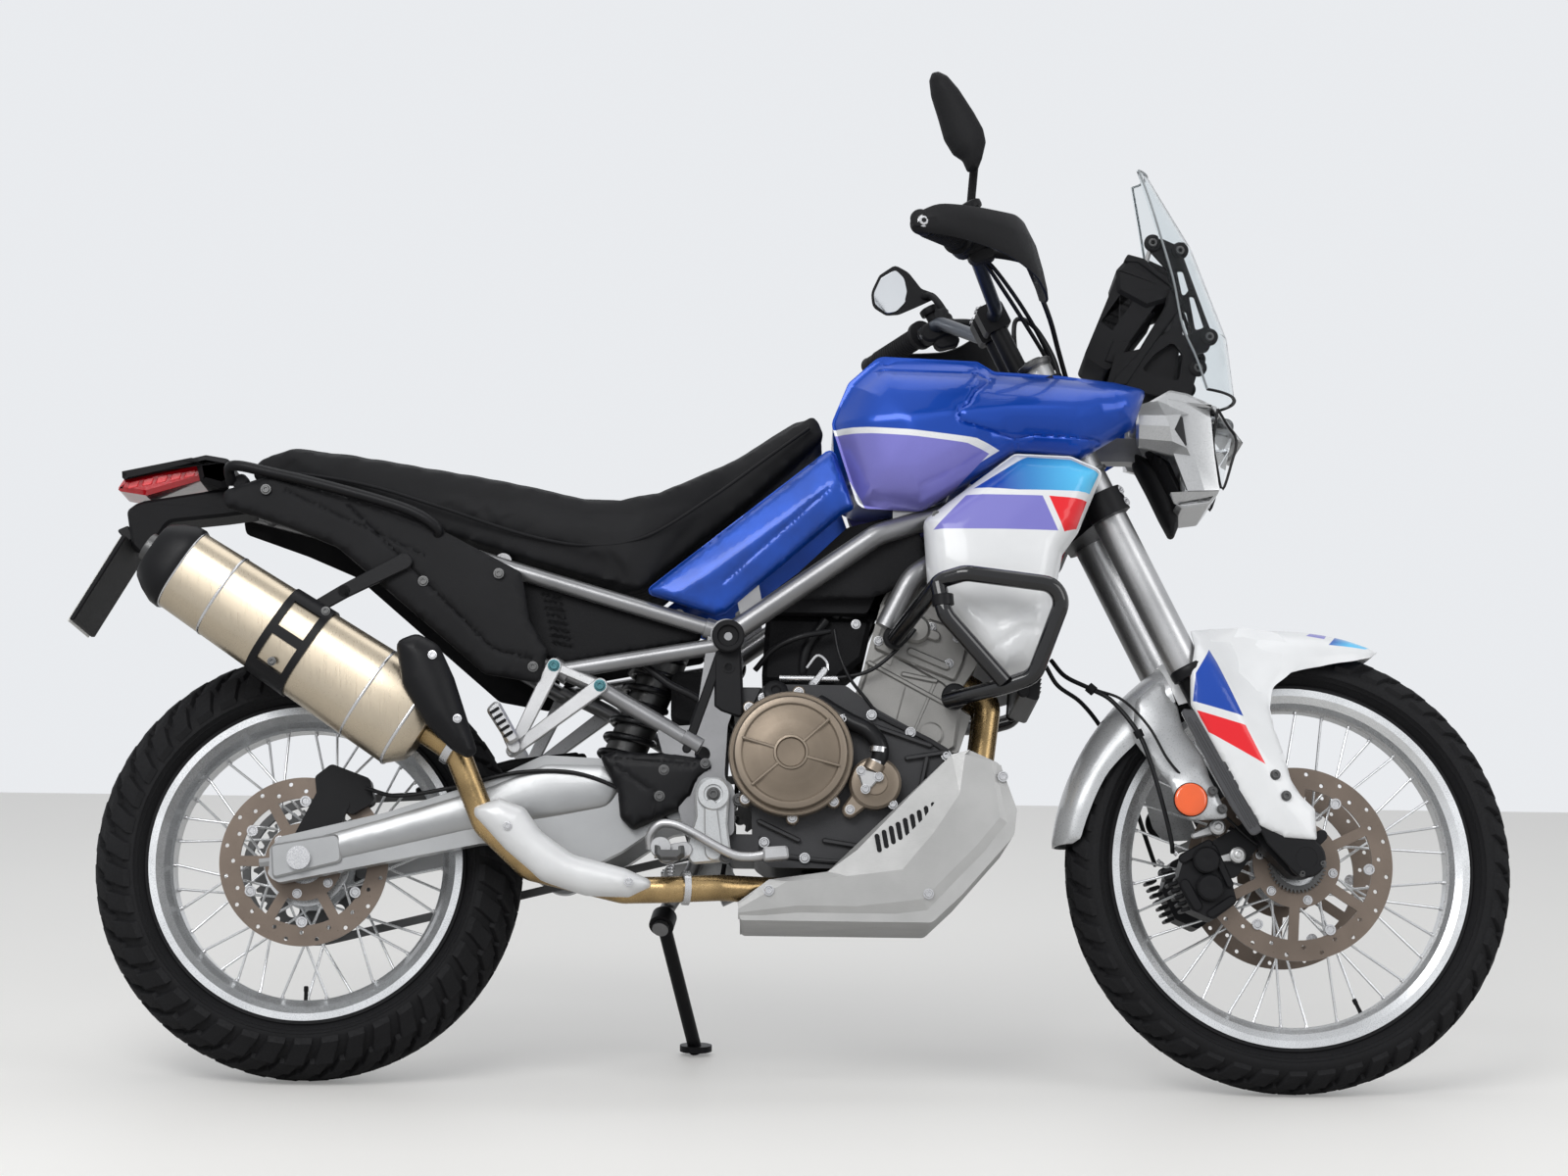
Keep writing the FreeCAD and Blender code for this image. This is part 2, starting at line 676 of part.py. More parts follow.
def pipeShield():
    outline = [(280, 405, 6), (354, 402, 30), (420, 330, 40), (541, 308, 10), (541, 274, 10), (440, 270, 40),
               (320, 330, 30), (262, 395, 6)]
    return slab("pipeShieldShape", outline, -221.3, -210.3)


def mufflerShield():
    guard = slab("muffler_guard", [
        (150, 652, 12), (212, 680, 14), (238, 640, 20), (251, 595, 20), (282, 500, 14), (240, 480, 12),
        (180, 555, 30)
    ], -258, -246)
    boss = cylinder("muffler_guard_boss", (190, -248, 575), (190, -243.3, 575), 8)
    return fused("mufflerShieldShape", [guard, boss])


def skidPlate():
    half = size("skidHalf")
    sheetT = size("sheetThickness")
    outer = slab("skid_outer", [
        (669, 274, 4), (717, 308, 20), (806, 321, 30), (850, 354, 30), (991, 502, 20), (1020, 510, 12),
        (1066, 490, 20), (1092, 420, 12), (1088, 381, 20), (1009, 290, 20), (964, 247, 14), (673, 247, 6)
    ], -half, half)
    inner = slab("skid_inner", [
        (640, 247 + sheetT), (962, 247 + sheetT, 12), (1006, 293, 18), (1083, 384, 18), (1087, 419, 12),
        (1061, 492), (1061, 600), (640, 600)
    ], -half + sheetT, half - sheetT)
    bosses = [cylinder(f"skid_boss{spot}", (spot, -half + 1, high), (spot, -size("engineHalf") - 0.3, high), 8)
              for spot, high in ((868, 345), (1005, 480))]
    slots = []
    for index in range(10):
        x = 881 + 10.6 * index
        z = 366 + 6.2 * index
        slots.append(slab(f"skid_slot{index}", [(x - 6, z + 11, 2), (x + 2, z - 12, 2), (x + 6, z - 11, 2),
                                                (x - 2, z + 12, 2)], -half - 5, half + 5))
    shell = cut("slotted_skid", cut("skid_shell", outer, inner), joined("skid_slots", slots))
    return fused("skidPlateShape", [shell] + pair(*bosses))


def crashBars():
    radius = size("crashTubeRadius")
    loop = tube("crash_loop", [
        (903.9, -163.9, 681.4), (969, -285, 753), (1005, -300, 762), (1160, -290, 745), (1111, -265, 612),
        (1068, -250, 598), (985, -168, 586)
    ], radius, 30)
    brace = tube("crash_brace", [(965, -283, 748), (975, -292, 700), (1066, -262, 604)], radius, 30)
    return joined("crashBarsShape", pair(fused("crash_side", [loop, brace])))


# Bodywork

def fuelTank():
    side = [(835, 918, 20), (960, 922, 20), (1020, 985, 20), (985, 1090, 20), (880, 1102, 20), (824, 1020, 20)]
    middle = [(812, 915, 20), (985, 922, 20), (1035, 975, 20), (982, 1122, 20), (870, 1128, 20), (806, 1030, 20)]
    return lofted("fuelTankShape", [(-150, side), (-80, middle), (80, middle), (150, side)], ruled=True)


def tankPanels():
    panel = lofted("tank_panel", [
        (-150.3, [(800, 1015, 20), (832, 1083, 15), (1035, 1115, 20), (1060, 1100, 10), (1160, 1098, 40),
                (1240, 1088, 30), (1290, 1078, 8), (1270, 1018, 10), (1190, 968, 15), (1085, 972, 20),
                (945, 883, 25), (848, 888, 20)]),
        (-205, [(812, 1010, 20), (845, 1066, 15), (1030, 1090, 20), (1056, 1082, 10), (1155, 1078, 40),
                (1225, 1066, 30), (1262, 1050, 8), (1248, 1012, 10), (1186, 970, 15), (1085, 974, 20),
                (946, 885, 25), (852, 892, 20)]),
        (-232, [(850, 990, 20), (868, 1020, 15), (1020, 1040, 20), (1050, 1040, 10), (1140, 1036, 40),
                (1180, 1028, 30), (1200, 1016, 8), (1195, 998, 10), (1170, 982, 15), (1085, 982, 20),
                (950, 890, 25), (870, 915, 20)]),
    ])
    return joined("tankPanelsShape", pair(panel))


def lowerPanels():
    panel = lofted("lower_panel", [
        (-150.3, [(804, 982, 10), (518, 750, 10), (629, 716, 12), (644, 721, 8), (822, 878, 20), (838, 882, 8)]),
        (-186, [(800, 962, 10), (548, 756, 10), (632, 728, 12), (644, 732, 8), (812, 884, 20), (826, 890, 8)]),
    ], ruled=True)
    return joined("lowerPanelsShape", pair(panel))


def shrouds():
    outline = [(950, 866, 15), (1088, 969, 15), (1173, 966, 15), (1222, 945, 15), (1182, 848, 20), (1159, 813, 10),
               (1151, 769, 15), (1140, 671, 15), (1113, 631, 15), (1069, 619, 15), (1039, 642, 15),
               (971, 730, 20), (956, 763, 15)]
    inset = [(962, 862, 15), (1088, 955, 15), (1168, 958, 15), (1205, 940, 15), (1168, 848, 20), (1145, 813, 10),
             (1138, 769, 15), (1126, 680, 15), (1105, 645, 15), (1072, 634, 15), (1048, 654, 15),
             (984, 735, 20), (968, 766, 15)]
    shell = lofted("shroud_shell", [(-170, outline), (-215, outline), (-240, inset)], ruled=True)
    boss = cylinder("shroud_boss", (975, -171, 812), (975, -151.85, 812), 8)
    return joined("shroudsShape", pair(fused("shroud", [shell, boss])))


def headlightSurround():
    outer = slab("surround_outer", [
        (1278, 1045, 10), (1322, 1083, 12), (1409, 1072, 12), (1441, 1044, 12), (1426, 985, 8), (1346, 905, 20),
        (1321, 948, 20)
    ], -112, 112)
    opening = slab("surround_opening", [(1346, 1060, 8), (1460, 1060, 8), (1460, 900), (1330, 900)], -92, 92)
    wing = lofted("surround_wing", [
        (-111, [(1280, 1056, 6), (1288, 1067, 6), (1333, 1079, 6), (1362, 1055, 6), (1354, 1046, 3),
                (1352, 998, 3), (1366, 985, 3), (1328, 995, 6), (1280, 1018, 6)]),
        (-147, [(1277, 1052, 6), (1285, 1061, 6), (1318, 1068, 6), (1340, 1050, 6), (1334, 1044, 3),
                (1332, 1003, 3), (1342, 992, 3), (1316, 1000, 6), (1277, 1020, 6)])
    ], ruled=True)
    return fused("headlightSurroundShape", [cut("surround_shell", outer, opening)] + pair(wing))


def headlight():
    return slab("headlightShape", [
        (1347, 1059, 8), (1436, 1045, 12), (1416, 939, 12), (1396, 918, 12), (1352, 912, 10)
    ], -91.5, 91.5)


def windscreen():
    # A clear curved sheet, ruled through arcs at four heights
    levels = [(1092, 1446, 1392, 100), (1189, 1434, 1352, 118), (1336, 1378, 1318, 112), (1457, 1308, 1290, 52)]
    wires = []
    for height, front, side, half in levels:
        skin = size("sheetThickness")
        outer = Part.Arc(Vector(side, -half, height), Vector(front, 0, height), Vector(side, half, height))
        inner = Part.Arc(Vector(side - skin, half, height), Vector(front - skin, 0, height),
                         Vector(side - skin, -half, height))
        edges = [outer.toShape(), Part.LineSegment(Vector(side, half, height),
                                                   Vector(side - skin, half, height)).toShape(),
                 inner.toShape(), Part.LineSegment(Vector(side - skin, -half, height),
                                                   Vector(side, -half, height)).toShape()]
        wires.append(Part.Wire(edges))
    feature = doc.addObject("Part::Feature", "windscreenShape")
    feature.Shape = Part.makeLoft(wires, True, True)
    return feature


def cockpit():
    dash = slab("dash", [(1201, 1149, 8), (1239, 1125, 8), (1340, 1269, 8), (1263, 1303, 10)], -72, 72)
    arm = slab("screen_arm", [
        (1236, 1100, 6), (1336, 1081.6, 1), (1366, 1077.8, 1), (1378, 1120, 10), (1372, 1150, 8), (1396, 1158, 8),
        (1401, 1172, 6), (1400, 1190, 6), (1391, 1214, 10), (1370, 1272, 10), (1357, 1309, 6), (1349, 1327, 6),
        (1316, 1342, 8), (1300, 1334, 8), (1303, 1321, 6), (1336, 1284, 8), (1346, 1229, 10), (1336, 1190, 20),
        (1290, 1160, 10), (1250, 1150, 6)
    ], -80, -71)
    windows = [slab(f"screen_window{index}", corners, -82, -69) for index, corners in enumerate([
        [(1347, 1287, 4), (1357, 1287, 4), (1366, 1256, 4), (1356, 1243, 4)],
        [(1366, 1246, 4), (1374, 1246, 4), (1390, 1196, 4), (1376, 1190, 4)],
        [(1354, 1222, 4), (1362, 1222, 4), (1370, 1186, 4), (1356, 1180, 4)],
        [(1290, 1125, 6), (1350, 1108, 6), (1356, 1150, 8), (1340, 1172, 8), (1310, 1150, 6)],
    ])]
    arm = cut("screen_truss", arm, joined("screen_windows", windows))
    boss = cylinder("screen_boss", (1380, -75, 1180), (1402, -75, 1180), 5)
    return fused("cockpitShape", [dash] + pair(arm, boss))


def seat():
    side = slab("seat_side", [
        (-115, 942, 8), (-100, 968, 20), (-46, 983, 20), (108, 958, 60), (263, 930, 60), (417, 897, 60),
        (478, 892, 30), (539, 909, 60), (662, 974, 60), (780, 1055, 10), (796, 1018, 6), (515, 751, 10),
        (425, 772, 20), (334, 799, 20), (212, 840, 40), (56, 894, 40)
    ], -160, 160)
    plan = layer("seat_plan", [
        (-115, -70, 40), (60, -118, 60), (340, -150, 80), (520, -148, 60), (640, -100, 60), (805, -88, 10),
        (805, 88, 10), (640, 100, 60), (520, 148, 60), (340, 150, 80), (60, 118, 60), (-115, 70, 40)
    ], 740, 1070)
    return common("seatShape", side, plan)


def sideCovers():
    side = slab("cover_side", [
        (-140, 905, 10), (-60, 932, 10), (56, 896, 20), (212, 838, 20), (330, 776, 10), (372, 655, 10),
        (360, 604, 8), (277, 618, 20), (44, 815, 40), (-35, 847, 20), (-135, 880, 10)
    ], -200, -60)
    plan = layer("cover_plan", [
        (-150, -126, 3), (100, -156, 60), (400, -178, 3), (400, -168, 3), (100, -146, 60), (-150, -116, 3)
    ], 580, 940)
    vents = [slab(f"cover_vent{low}", [(312, low, 2), (338, low - 6, 2), (338, low - 1, 2), (312, low + 5, 2)],
                  -200, -140) for low in range(690, 745, 11)]
    cover = cut("vented_cover", common("side_cover", side, plan), joined("cover_vents", vents))
    return joined("sideCoversShape", pair(cover))


def grabRails():
    side = slab("rail_side", [
        (-150, 915, 8), (-130, 948, 15), (-60, 935, 20), (40, 912, 30), (150, 884, 30), (215, 845, 10),
        (205, 832, 8), (150, 858, 20), (60, 888, 20), (-20, 925, 10), (-60, 925, 10), (-90, 924, 10)
    ], -200, -60)
    plan = layer("rail_plan", [
        (-160, -138, 3), (100, -172, 60), (230, -183, 3), (230, -165.8, 3), (100, -156.3, 60), (-160, -125.1, 3)
    ], 820, 960)
    return joined("grabRailsShape", pair(common("grab_rail", side, plan)))


def tailLight():
    side = slab("lamp_side", [
        (-320, 918, 4), (-308, 937, 6), (-177, 971, 8), (-155, 963, 8), (-146, 927, 10), (-275, 906, 10)
    ], -80, 80)
    plan = layer("lamp_plan", [(-325, -45, 20), (-140, -72, 10), (-140, 72, 10), (-325, 45, 20)], 890, 990)
    return common("tailLightShape", side, plan)


def plateHolder():
    arm = slab("plate_arm", [
        (-292, 832, 6), (-302, 888, 10), (-288, 899, 6), (-275, 905.6, 2), (-148, 926, 4), (-103.3, 914, 2),
        (-103.3, 886, 2), (-150, 880, 10), (-235, 870, 20), (-270, 812, 6)
    ], -45, 45)
    board = slab("plate_board", [(-298, 841, 4), (-259, 824, 4), (-329, 671, 4), (-376, 705, 4)], -62, 62)
    return fused("plateHolderShape", [arm, board])


# Running gear carried by the frame

def swingarm():
    inner = size("armInner")
    outer = size("armOuter")
    base = rearAxle.z
    outline = [(-46, base + 15, 12), (-30, base + 33, 12), (130, 407, 40), (294, 462, 40), (368, 498, 30),
               (459, 494, 40), (600, 478, 20), (662, 460, 26), (662, 416, 26), (560, 400, 30), (491, 352, 30),
               (388, 298, 40), (289, 364, 40), (-30, base - 37, 12), (-46, base - 29, 12)]
    pivotBore = size("axleRadius") + 4 + size("runningFit")
    arm = slab("swing_arm", outline, -outer, -inner, [(633, 443, pivotBore), (0, rearAxle.z, 10)])
    bridge = slab("swing_bridge", [(395, 345, 12), (470, 365, 12), (495, 440, 12), (420, 448, 12)],
                  -inner - 1, inner + 1)
    return fused("swingarmShape", pair(arm) + [bridge])


def rearAxleBar():
    inner = size("armInner")
    outer = size("armOuter")
    radius = size("axleRadius")
    bar = cylinder("rear_axle_bar", (0, -outer - 10, rearAxle.z), (0, outer + 10, rearAxle.z), cell("axleRadius"))
    nut = cylinder("rear_axle_nut", (0, -outer - 16, rearAxle.z), (0, -outer, rearAxle.z), 18)
    head = cylinder("rear_axle_head", (0, outer, rearAxle.z), (0, outer + 14, rearAxle.z), 18)
    sleeve = cylinder("rear_axle_sleeve", (0, -inner, rearAxle.z), (0, -84.5, rearAxle.z), radius + 8)
    leftSleeve = cylinder("rear_axle_sleeve_left", (0, 96.5, rearAxle.z), (0, inner, rearAxle.z), radius + 8)
    return fused("rearAxleShape", [bar, nut, head, sleeve, leftSleeve])


def discSlot(label, centre, radius, centreY):
    # The space that a turning disc needs in its caliper
    gap = size("discThickness") / 2 + 5.2
    return cylinder(label, (centre.x, centreY - gap, centre.z), (centre.x, centreY + gap, centre.z), radius + 5.2)


def rearCaliper():
    base = rearAxle.z
    block = slab("rear_caliper_block", [
        (20, base + 92, 8), (75, base + 72, 8), (108, base + 92, 10), (100, base + 128, 10),
        (40, base + 150, 10), (15, base + 130, 8)
    ], -100, -62)
    arm = slab("rear_caliper_arm", [
        (-28, base - 26, 20), (28, base - 26, 20), (36, base + 10, 12), (72, base + 90, 8), (22, base + 112, 8),
        (-28, base + 10, 12)
    ], -101.7, -92, [(0, base, 18.3)])
    slot = discSlot("rear_caliper_slot", rearAxle, size("rearDiscRadius"), -size("rearDiscY"))
    return cut("rearCaliperShape", fused("rear_caliper_whole", [block, arm]), slot)


def rearShock():
    spring = cylinder("shock_spring", (482, 0, 505), (556, 0, 680), 32)
    rod = cylinder("shock_rod", (462, 0, 458), (572, 0, 718), 12)
    eye = cylinder("shock_eye", (462, -16, 457.9), (462, 16, 457.9), 14)
    top = cylinder("shock_top", (572, -135.5, 718), (572, 135.5, 718), 9)
    return fused("rearShockShape", [spring, rod, eye, top])


sprocketY = 90
rearTeeth = 38
frontTeeth = 15
frontSprocketAt = Vector(699, 0, 443)


def pitchRadius(teeth):
    return size("chainPitch") / (2 * math.sin(math.pi / teeth))


def toothedPlate(label, teeth, near, far, holes):
    # Rounded teeth as a polygon of four points to a tooth
    pitch = pitchRadius(teeth)
    corners = []
    for index in range(teeth):
        for part, reach in ((-0.36, -3.5), (-0.13, 3.5), (0.13, 3.5), (0.36, -3.5)):
            angle = 2 * math.pi * (index + part) / teeth
            corners.append(((pitch + reach) * math.cos(angle), (pitch + reach) * math.sin(angle)))
    return slab(label, corners, near, far, holes)


def chain():
    # Two rows of side plates joined by a pin at each second link, round both sprockets
    clear = 5.4
    bigRadius = pitchRadius(rearTeeth) + 3.5 + clear
    smallRadius = pitchRadius(frontTeeth) + 3.5 + 0.3
    along = frontSprocketAt - rearAxle
    tilt = math.atan2(along.z, along.x)
    splay = math.asin((bigRadius - smallRadius) / along.Length)
    upper = tilt + math.pi / 2 - splay
    lower = tilt - math.pi / 2 + splay

    def point(centre, radius, angle):
        return Vector(centre.x + radius * math.cos(angle), centre.z + radius * math.sin(angle), 0)

    def band(label, step, near, far):
        body = doc.addObject("PartDesign::Body", label)
        sketch = newSketch(body, label + "_outline", "XZ_Plane", -float(far))
        back = [point(rearAxle, bigRadius + step, angle) for angle in (upper, tilt + math.pi, lower)]
        front = [point(frontSprocketAt, smallRadius + step, angle) for angle in (lower, tilt, upper)]
        sketch.addGeometry([
            Part.Arc(back[0], back[1], back[2]), Part.LineSegment(back[2], front[0]),
            Part.Arc(front[0], front[1], front[2]), Part.LineSegment(front[2], back[0])
        ], False)
        pad = body.newObject("PartDesign::Pad", label + "_pad")
        pad.Profile = sketch
        pad.Length = far - near
        return body

    height = 12
    plates = []
    for row, (near, far) in enumerate(((83, 85.2), (94.8, 97))):
        plates.append(cut(f"chain_row{row}", band(f"chain_outer{row}", height, near, far),
                          band(f"chain_inner{row}", 0, near - 1, far + 1)))
    middle = height / 2
    step = 2 * size("chainPitch")
    centres = []
    run = [point(rearAxle, bigRadius + middle, lower), point(frontSprocketAt, smallRadius + middle, lower),
           point(frontSprocketAt, smallRadius + middle, upper), point(rearAxle, bigRadius + middle, upper)]
    for start, end in ((run[0], run[1]), (run[2], run[3])):
        count = round((end - start).Length / step)
        centres += [start + (end - start) * (index / count) for index in range(count)]
    for centre, radius, first, last in ((frontSprocketAt, smallRadius + middle, lower, upper),
                                        (rearAxle, bigRadius + middle, upper, lower + 2 * math.pi)):
        count = round((last - first) * radius / step)
        centres += [point(centre, radius, first + (last - first) * index / count) for index in range(count)]
    pins = [cylinder(f"chain_pin{index}", (at.x, 83, at.y), (at.x, 98, at.y), 4)
            for index, at in enumerate(centres)]
    return fused("chainShape", plates + pins)


def rearSprocket():
    holes = [(0, 0, 52)]
    for index in range(6):
        angle = math.pi * index / 3
        holes.append((72 * math.cos(angle), 72 * math.sin(angle), 11))
    return toothedPlate("rearSprocketShape", rearTeeth, sprocketY - 4, sprocketY + 4, holes)


def frontSprocket():
    wheel = toothedPlate("sprocket_wheel", frontTeeth, sprocketY - 3.5, sprocketY + 3.5, [])
    shaft = cylinder("sprocket_shaft", (0, 78, 0), (0, 104, 0), 14)
    return placeAt(fused("frontSprocketShape", [wheel, shaft]), frontSprocketAt)


def footPegs():
    hanger = slab("peg_hanger", [
        (606, 440, 12), (628, 462, 12), (652, 440, 12), (650, 385, 10), (628, 330, 10), (600, 318, 10),
        (552, 322, 10), (548, 352, 10), (592, 372, 12)
    ], -172, -158.3, [(628, 438, 8)])
    peg = crossSection("rider_peg", [
        (-268, 332, 5), (-171, 332, 5), (-171, 352, 5), (-268, 352, 5)
    ], 555, 608)
    support = slab("passenger_support", [
        (368, 632, 10), (395, 646, 10), (456, 614, 10), (460, 590, 10), (400, 560, 20), (345, 482, 10),
        (318, 480, 10), (310, 510, 10)
    ], -188, -180, [(408, 600, 12)])
    folded = slab("passenger_peg", [
        (284, 580, 6), (306, 586, 6), (352, 500, 6), (330, 478, 6), (312, 486, 6)
    ], -212, -187)
    posts = [cylinder("passenger_post", (442, -181, 600), (442, -161.3, 606), 8),
             cylinder("passenger_post_rear", (392, -181, 630), (392, -158.6, 630), 8)]
    passenger = fused("passenger_side", [support, folded] + posts)
    return joined("footPegsShape", pair(fused("rider_side", [hanger, peg]), passenger))


def footLevers():
    brake = slab("brake_lever", [
        (618, 344, 8), (622, 368, 8), (668, 376, 8), (700, 366, 10), (752, 362, 6), (752, 348, 6), (700, 348, 10),
        (662, 346, 6)
    ], -182, -172.3)
    pad = crossSection("brake_pad", [(-216, 350, 3), (-181, 350, 3), (-181, 362, 3), (-216, 362, 3)], 728, 754)
    shift = slab("shift_lever", [
        (618, 344, 8), (622, 368, 8), (650, 374, 8), (700, 362, 10), (778, 376, 6), (778, 362, 6), (700, 346, 10)
    ], 172.3, 181)
    rubber = cylinder("shift_rubber", (770, 180, 368), (770, 212, 368), 8)
    return joined("footLeversShape", [fused("brake_side", [brake, pad]), fused("shift_side", [shift, rubber])])


bikeNode("main_frame", mainFrame())
bikeNode("engine_case", engineCase())
bikeNode("engine_covers", engineCovers())
bikeNode("cylinder_head", cylinderHead())
bikeNode("air_box", airBox())
bikeNode("radiator", radiator())
bikeNode("exhaust_pipes", exhaustPipes())
bikeNode("muffler", muffler())
bikeNode("muffler_cap", mufflerTrim())
bikeNode("muffler_strap", mufflerStrap())
bikeNode("muffler_shield", mufflerShield())
bikeNode("pipe_shield", pipeShield())
bikeNode("skid_plate", skidPlate())
bikeNode("crash_bars", crashBars())
bikeNode("fuel_tank", fuelTank())
bikeNode("tank_panels", tankPanels())
bikeNode("lower_panels", lowerPanels())
bikeNode("shrouds", shrouds())
bikeNode("headlight_surround", headlightSurround())
bikeNode("headlight", headlight())
bikeNode("windscreen", windscreen())
bikeNode("cockpit", cockpit())
bikeNode("seat", seat())
bikeNode("side_covers", sideCovers())
bikeNode("grab_rails", grabRails())
bikeNode("tail_light", tailLight())
bikeNode("plate_holder", plateHolder())
bikeNode("swingarm", swingarm())
bikeNode("rear_axle", rearAxleBar())
bikeNode("rear_caliper", rearCaliper())
bikeNode("rear_shock", rearShock())
bikeNode("chain", chain())
bikeNode("front_sprocket", frontSprocket())
bikeNode("rear_sprocket", placeAt(rearSprocket(), rearAxle))
bikeNode("foot_pegs", footPegs())
bikeNode("foot_levers", footLevers())


# Pieces that turn with the handlebar, drawn in the fork frame

legX = size("legOffset")
legY = size("legSpread")
axleX = size("axleOffset")


def tripleClamps():
    fit = size("runningFit")
    hole = size("outerTubeRadius") + fit
    outline = [(-26, -30, 20), (0, -124, 20), (20, -138, 16), (48, -138, 16), (66, -110, 16), (40, -50, 30),
               (40, 50, 30), (66, 110, 16), (48, 138, 16), (20, 138, 16), (0, 124, 20), (-26, 30, 20)]
    holes = [(legX, -legY, hole), (legX, legY, hole)]
    lower = layer("lower_clamp", outline, 968, 1008, holes)
    upper = layer("upper_clamp", outline, 1181, 1205, holes)
    stem = cylinder("stem", (0, 0, 970), (0, 0, 1204), cell("stemRadius"))
    riser = cylinder("riser", (27, -32, 1200), (27, -32, 1334), 15)
    grip = slab("bar_clamp", [(5, 1325, 6), (49, 1325, 6), (49, 1370, 10), (5, 1370, 10)], -50, -14,
                [(27, 1348, size("barRadius") + fit)])
    return fused("tripleClampsShape", [lower, upper, stem] + pair(riser, grip))


def forkTubes():
    outer = cylinder("fork_outer", (legX, -legY, 697), (legX, -legY, 1232), cell("outerTubeRadius"))
    return joined("forkTubesShape", pair(outer))


def forkLegs():
    base = axleAlong
    inner = cylinder("fork_inner", (legX, -legY, base + 67), (legX, -legY, 696.9), cell("stanchionRadius"))
    foot = slab("fork_foot", [
        (8, base + 107, 14), (58, base + 107, 14), (84, base + 37, 20), (86, base - 11, 22), (60, base - 31, 22),
        (28, base - 15, 20), (8, base + 47, 10)
    ], -legY - 22, -legY + 20)
    reach = legY + 30
    axle = cylinder("front_axle", (axleX, -reach, axleAlong), (axleX, reach, axleAlong), cell("axleRadius"))
    sleeve = cylinder("front_sleeve", (axleX, -legY + 19, axleAlong), (axleX, -72.5, axleAlong), 18)
    return fused("forkLegsShape", pair(inner, foot, sleeve) + [axle])


def forkGuards():
    guard = slab("fork_guard", [
        (6, 690, 6), (60, 690, 6), (58, 480, 6), (44, 478, 6), (10, 478, 6)
    ], -legY - 26, -legY - 22)
    return joined("forkGuardsShape", pair(guard))


def frontFender():
    radius = size("frontTyreRadius") + 25
    skin = 4
    half = 66
    frontEdge = 41
    rearEdge = 147
    arch = turned("fender_arch", [
        (-half, radius - 75), (-half + skin, radius - 75), (-half + skin, radius - 18, 16),
        (0, radius - skin, 60), (half - skin, radius - 18, 16), (half - skin, radius - 75), (half, radius - 75),
        (half, radius - 16, 20), (0, radius, 60), (-half, radius - 16, 20)
    ], rearEdge - frontEdge, 90 - rearEdge)
    placeAt(arch, frontAxle)
    base = axleAlong
    top = base + radius
    outline = slab("wing_outline", [
        (66, top - 3, 6), (140, top - 10, 30), (200, top - 38, 10), (205, top - 98, 20), (142, top - 110, 20),
        (120, top - 135, 20), (109, top - 166, 30), (94, base + 110, 40), (97, base + 51, 10),
        (86, base + 13, 12), (48, base + 17, 12), (37, base + 46, 10), (48, top - 178, 30), (66, top - 138, 10)
    ], -160, -40)
    ribbon = crossSection("wing_ribbon", [
        (-62, top + 22), (-62, top - 48, 30), (-100, top - 98, 40), (-138, top - 148, 40), (-140, base + 7),
        (-144, base + 7), (-142, top - 144, 40), (-104, top - 90, 40), (-66, top - 40, 30), (-66, top + 22)
    ], 20, 230)
    wing = common("fender_wing", outline, ribbon)
    boss = cylinder("fender_boss", (60, -141, 440), (60, -legY - 22.3, 440), 8)
    return fused("frontFenderShape", [arch] + pair(wing, boss))


barBend = Vector(5, -235, 1428)
barEnd = Vector(-86, -418, 1446)


def handlebar():
    right = [barEnd, barBend, Vector(25, -95, 1350), Vector(27, -60, 1348)]
    left = [Vector(point.x, -point.y, point.z) for point in reversed(right)]
    return tube("handlebarShape", right + left, size("barRadius"), 45)


def barRing(label, start, end, radius):
    # A sleeve round the outer run of the handlebar, between two fractions of that run
    first = barBend + (barEnd - barBend) * start
    last = barBend + (barEnd - barBend) * end
    along = last - first
    sleeve = cylinder(label + "_sleeve", first, last, radius)
    hole = cylinder(label + "_hole", first - along, last + along, cell("barRadius", 1, size("runningFit")))
    return cut(label, sleeve, hole)


def barGrips():
    return joined("barGripsShape", pair(barRing("grip", 0.33, 0.99, 17)))


def barControls():
    # On each side a clamp, the lever's cylinder with its reservoir, and the lever
    clamp = barRing("control_clamp", 0.27, 0.32, 24)
    block = slab("lever_cylinder", [(-8, 1424, 4), (28, 1426, 6), (28, 1446, 6), (-8, 1448, 4)], -318, -293)
    reservoir = cylinder("lever_reservoir", (14, -306, 1442), (14, -306, 1468), 12)
    lever = tube("hand_lever", [(18, -300, 1436), (14, -338, 1438), (-26, -408, 1447)], 5.5, 20)
    return joined("barControlsShape", pair(fused("hand_control", [clamp, block, reservoir, lever])))


def handguards():
    outline = slab("guard_outline", [
        (-110, 1462, 10), (-60, 1470, 20), (60, 1400, 20), (92, 1390, 10), (86, 1340, 20), (50, 1300, 20),
        (10, 1310, 20), (-20, 1370, 30), (-110, 1425, 10)
    ], -460, -200)
    ribbon = layer("guard_ribbon", [
        (-106, -424, 4), (-100, -446, 10), (-20, -452, 60), (60, -400, 60), (96, -310, 60), (100, -215, 4),
        (94, -215, 4), (90, -308, 60), (55, -394, 60), (-20, -440, 60), (-92, -434, 4), (-92, -424, 4)
    ], 1280, 1480)
    outward = (barEnd - barBend).normalize()
    plug = cylinder("guard_plug", barEnd + outward * 0.3, barEnd + outward * 27, 13)
    guard = fused("hand_guard", [common("guard_blade", outline, ribbon), plug])
    return joined("handguardsShape", pair(guard))


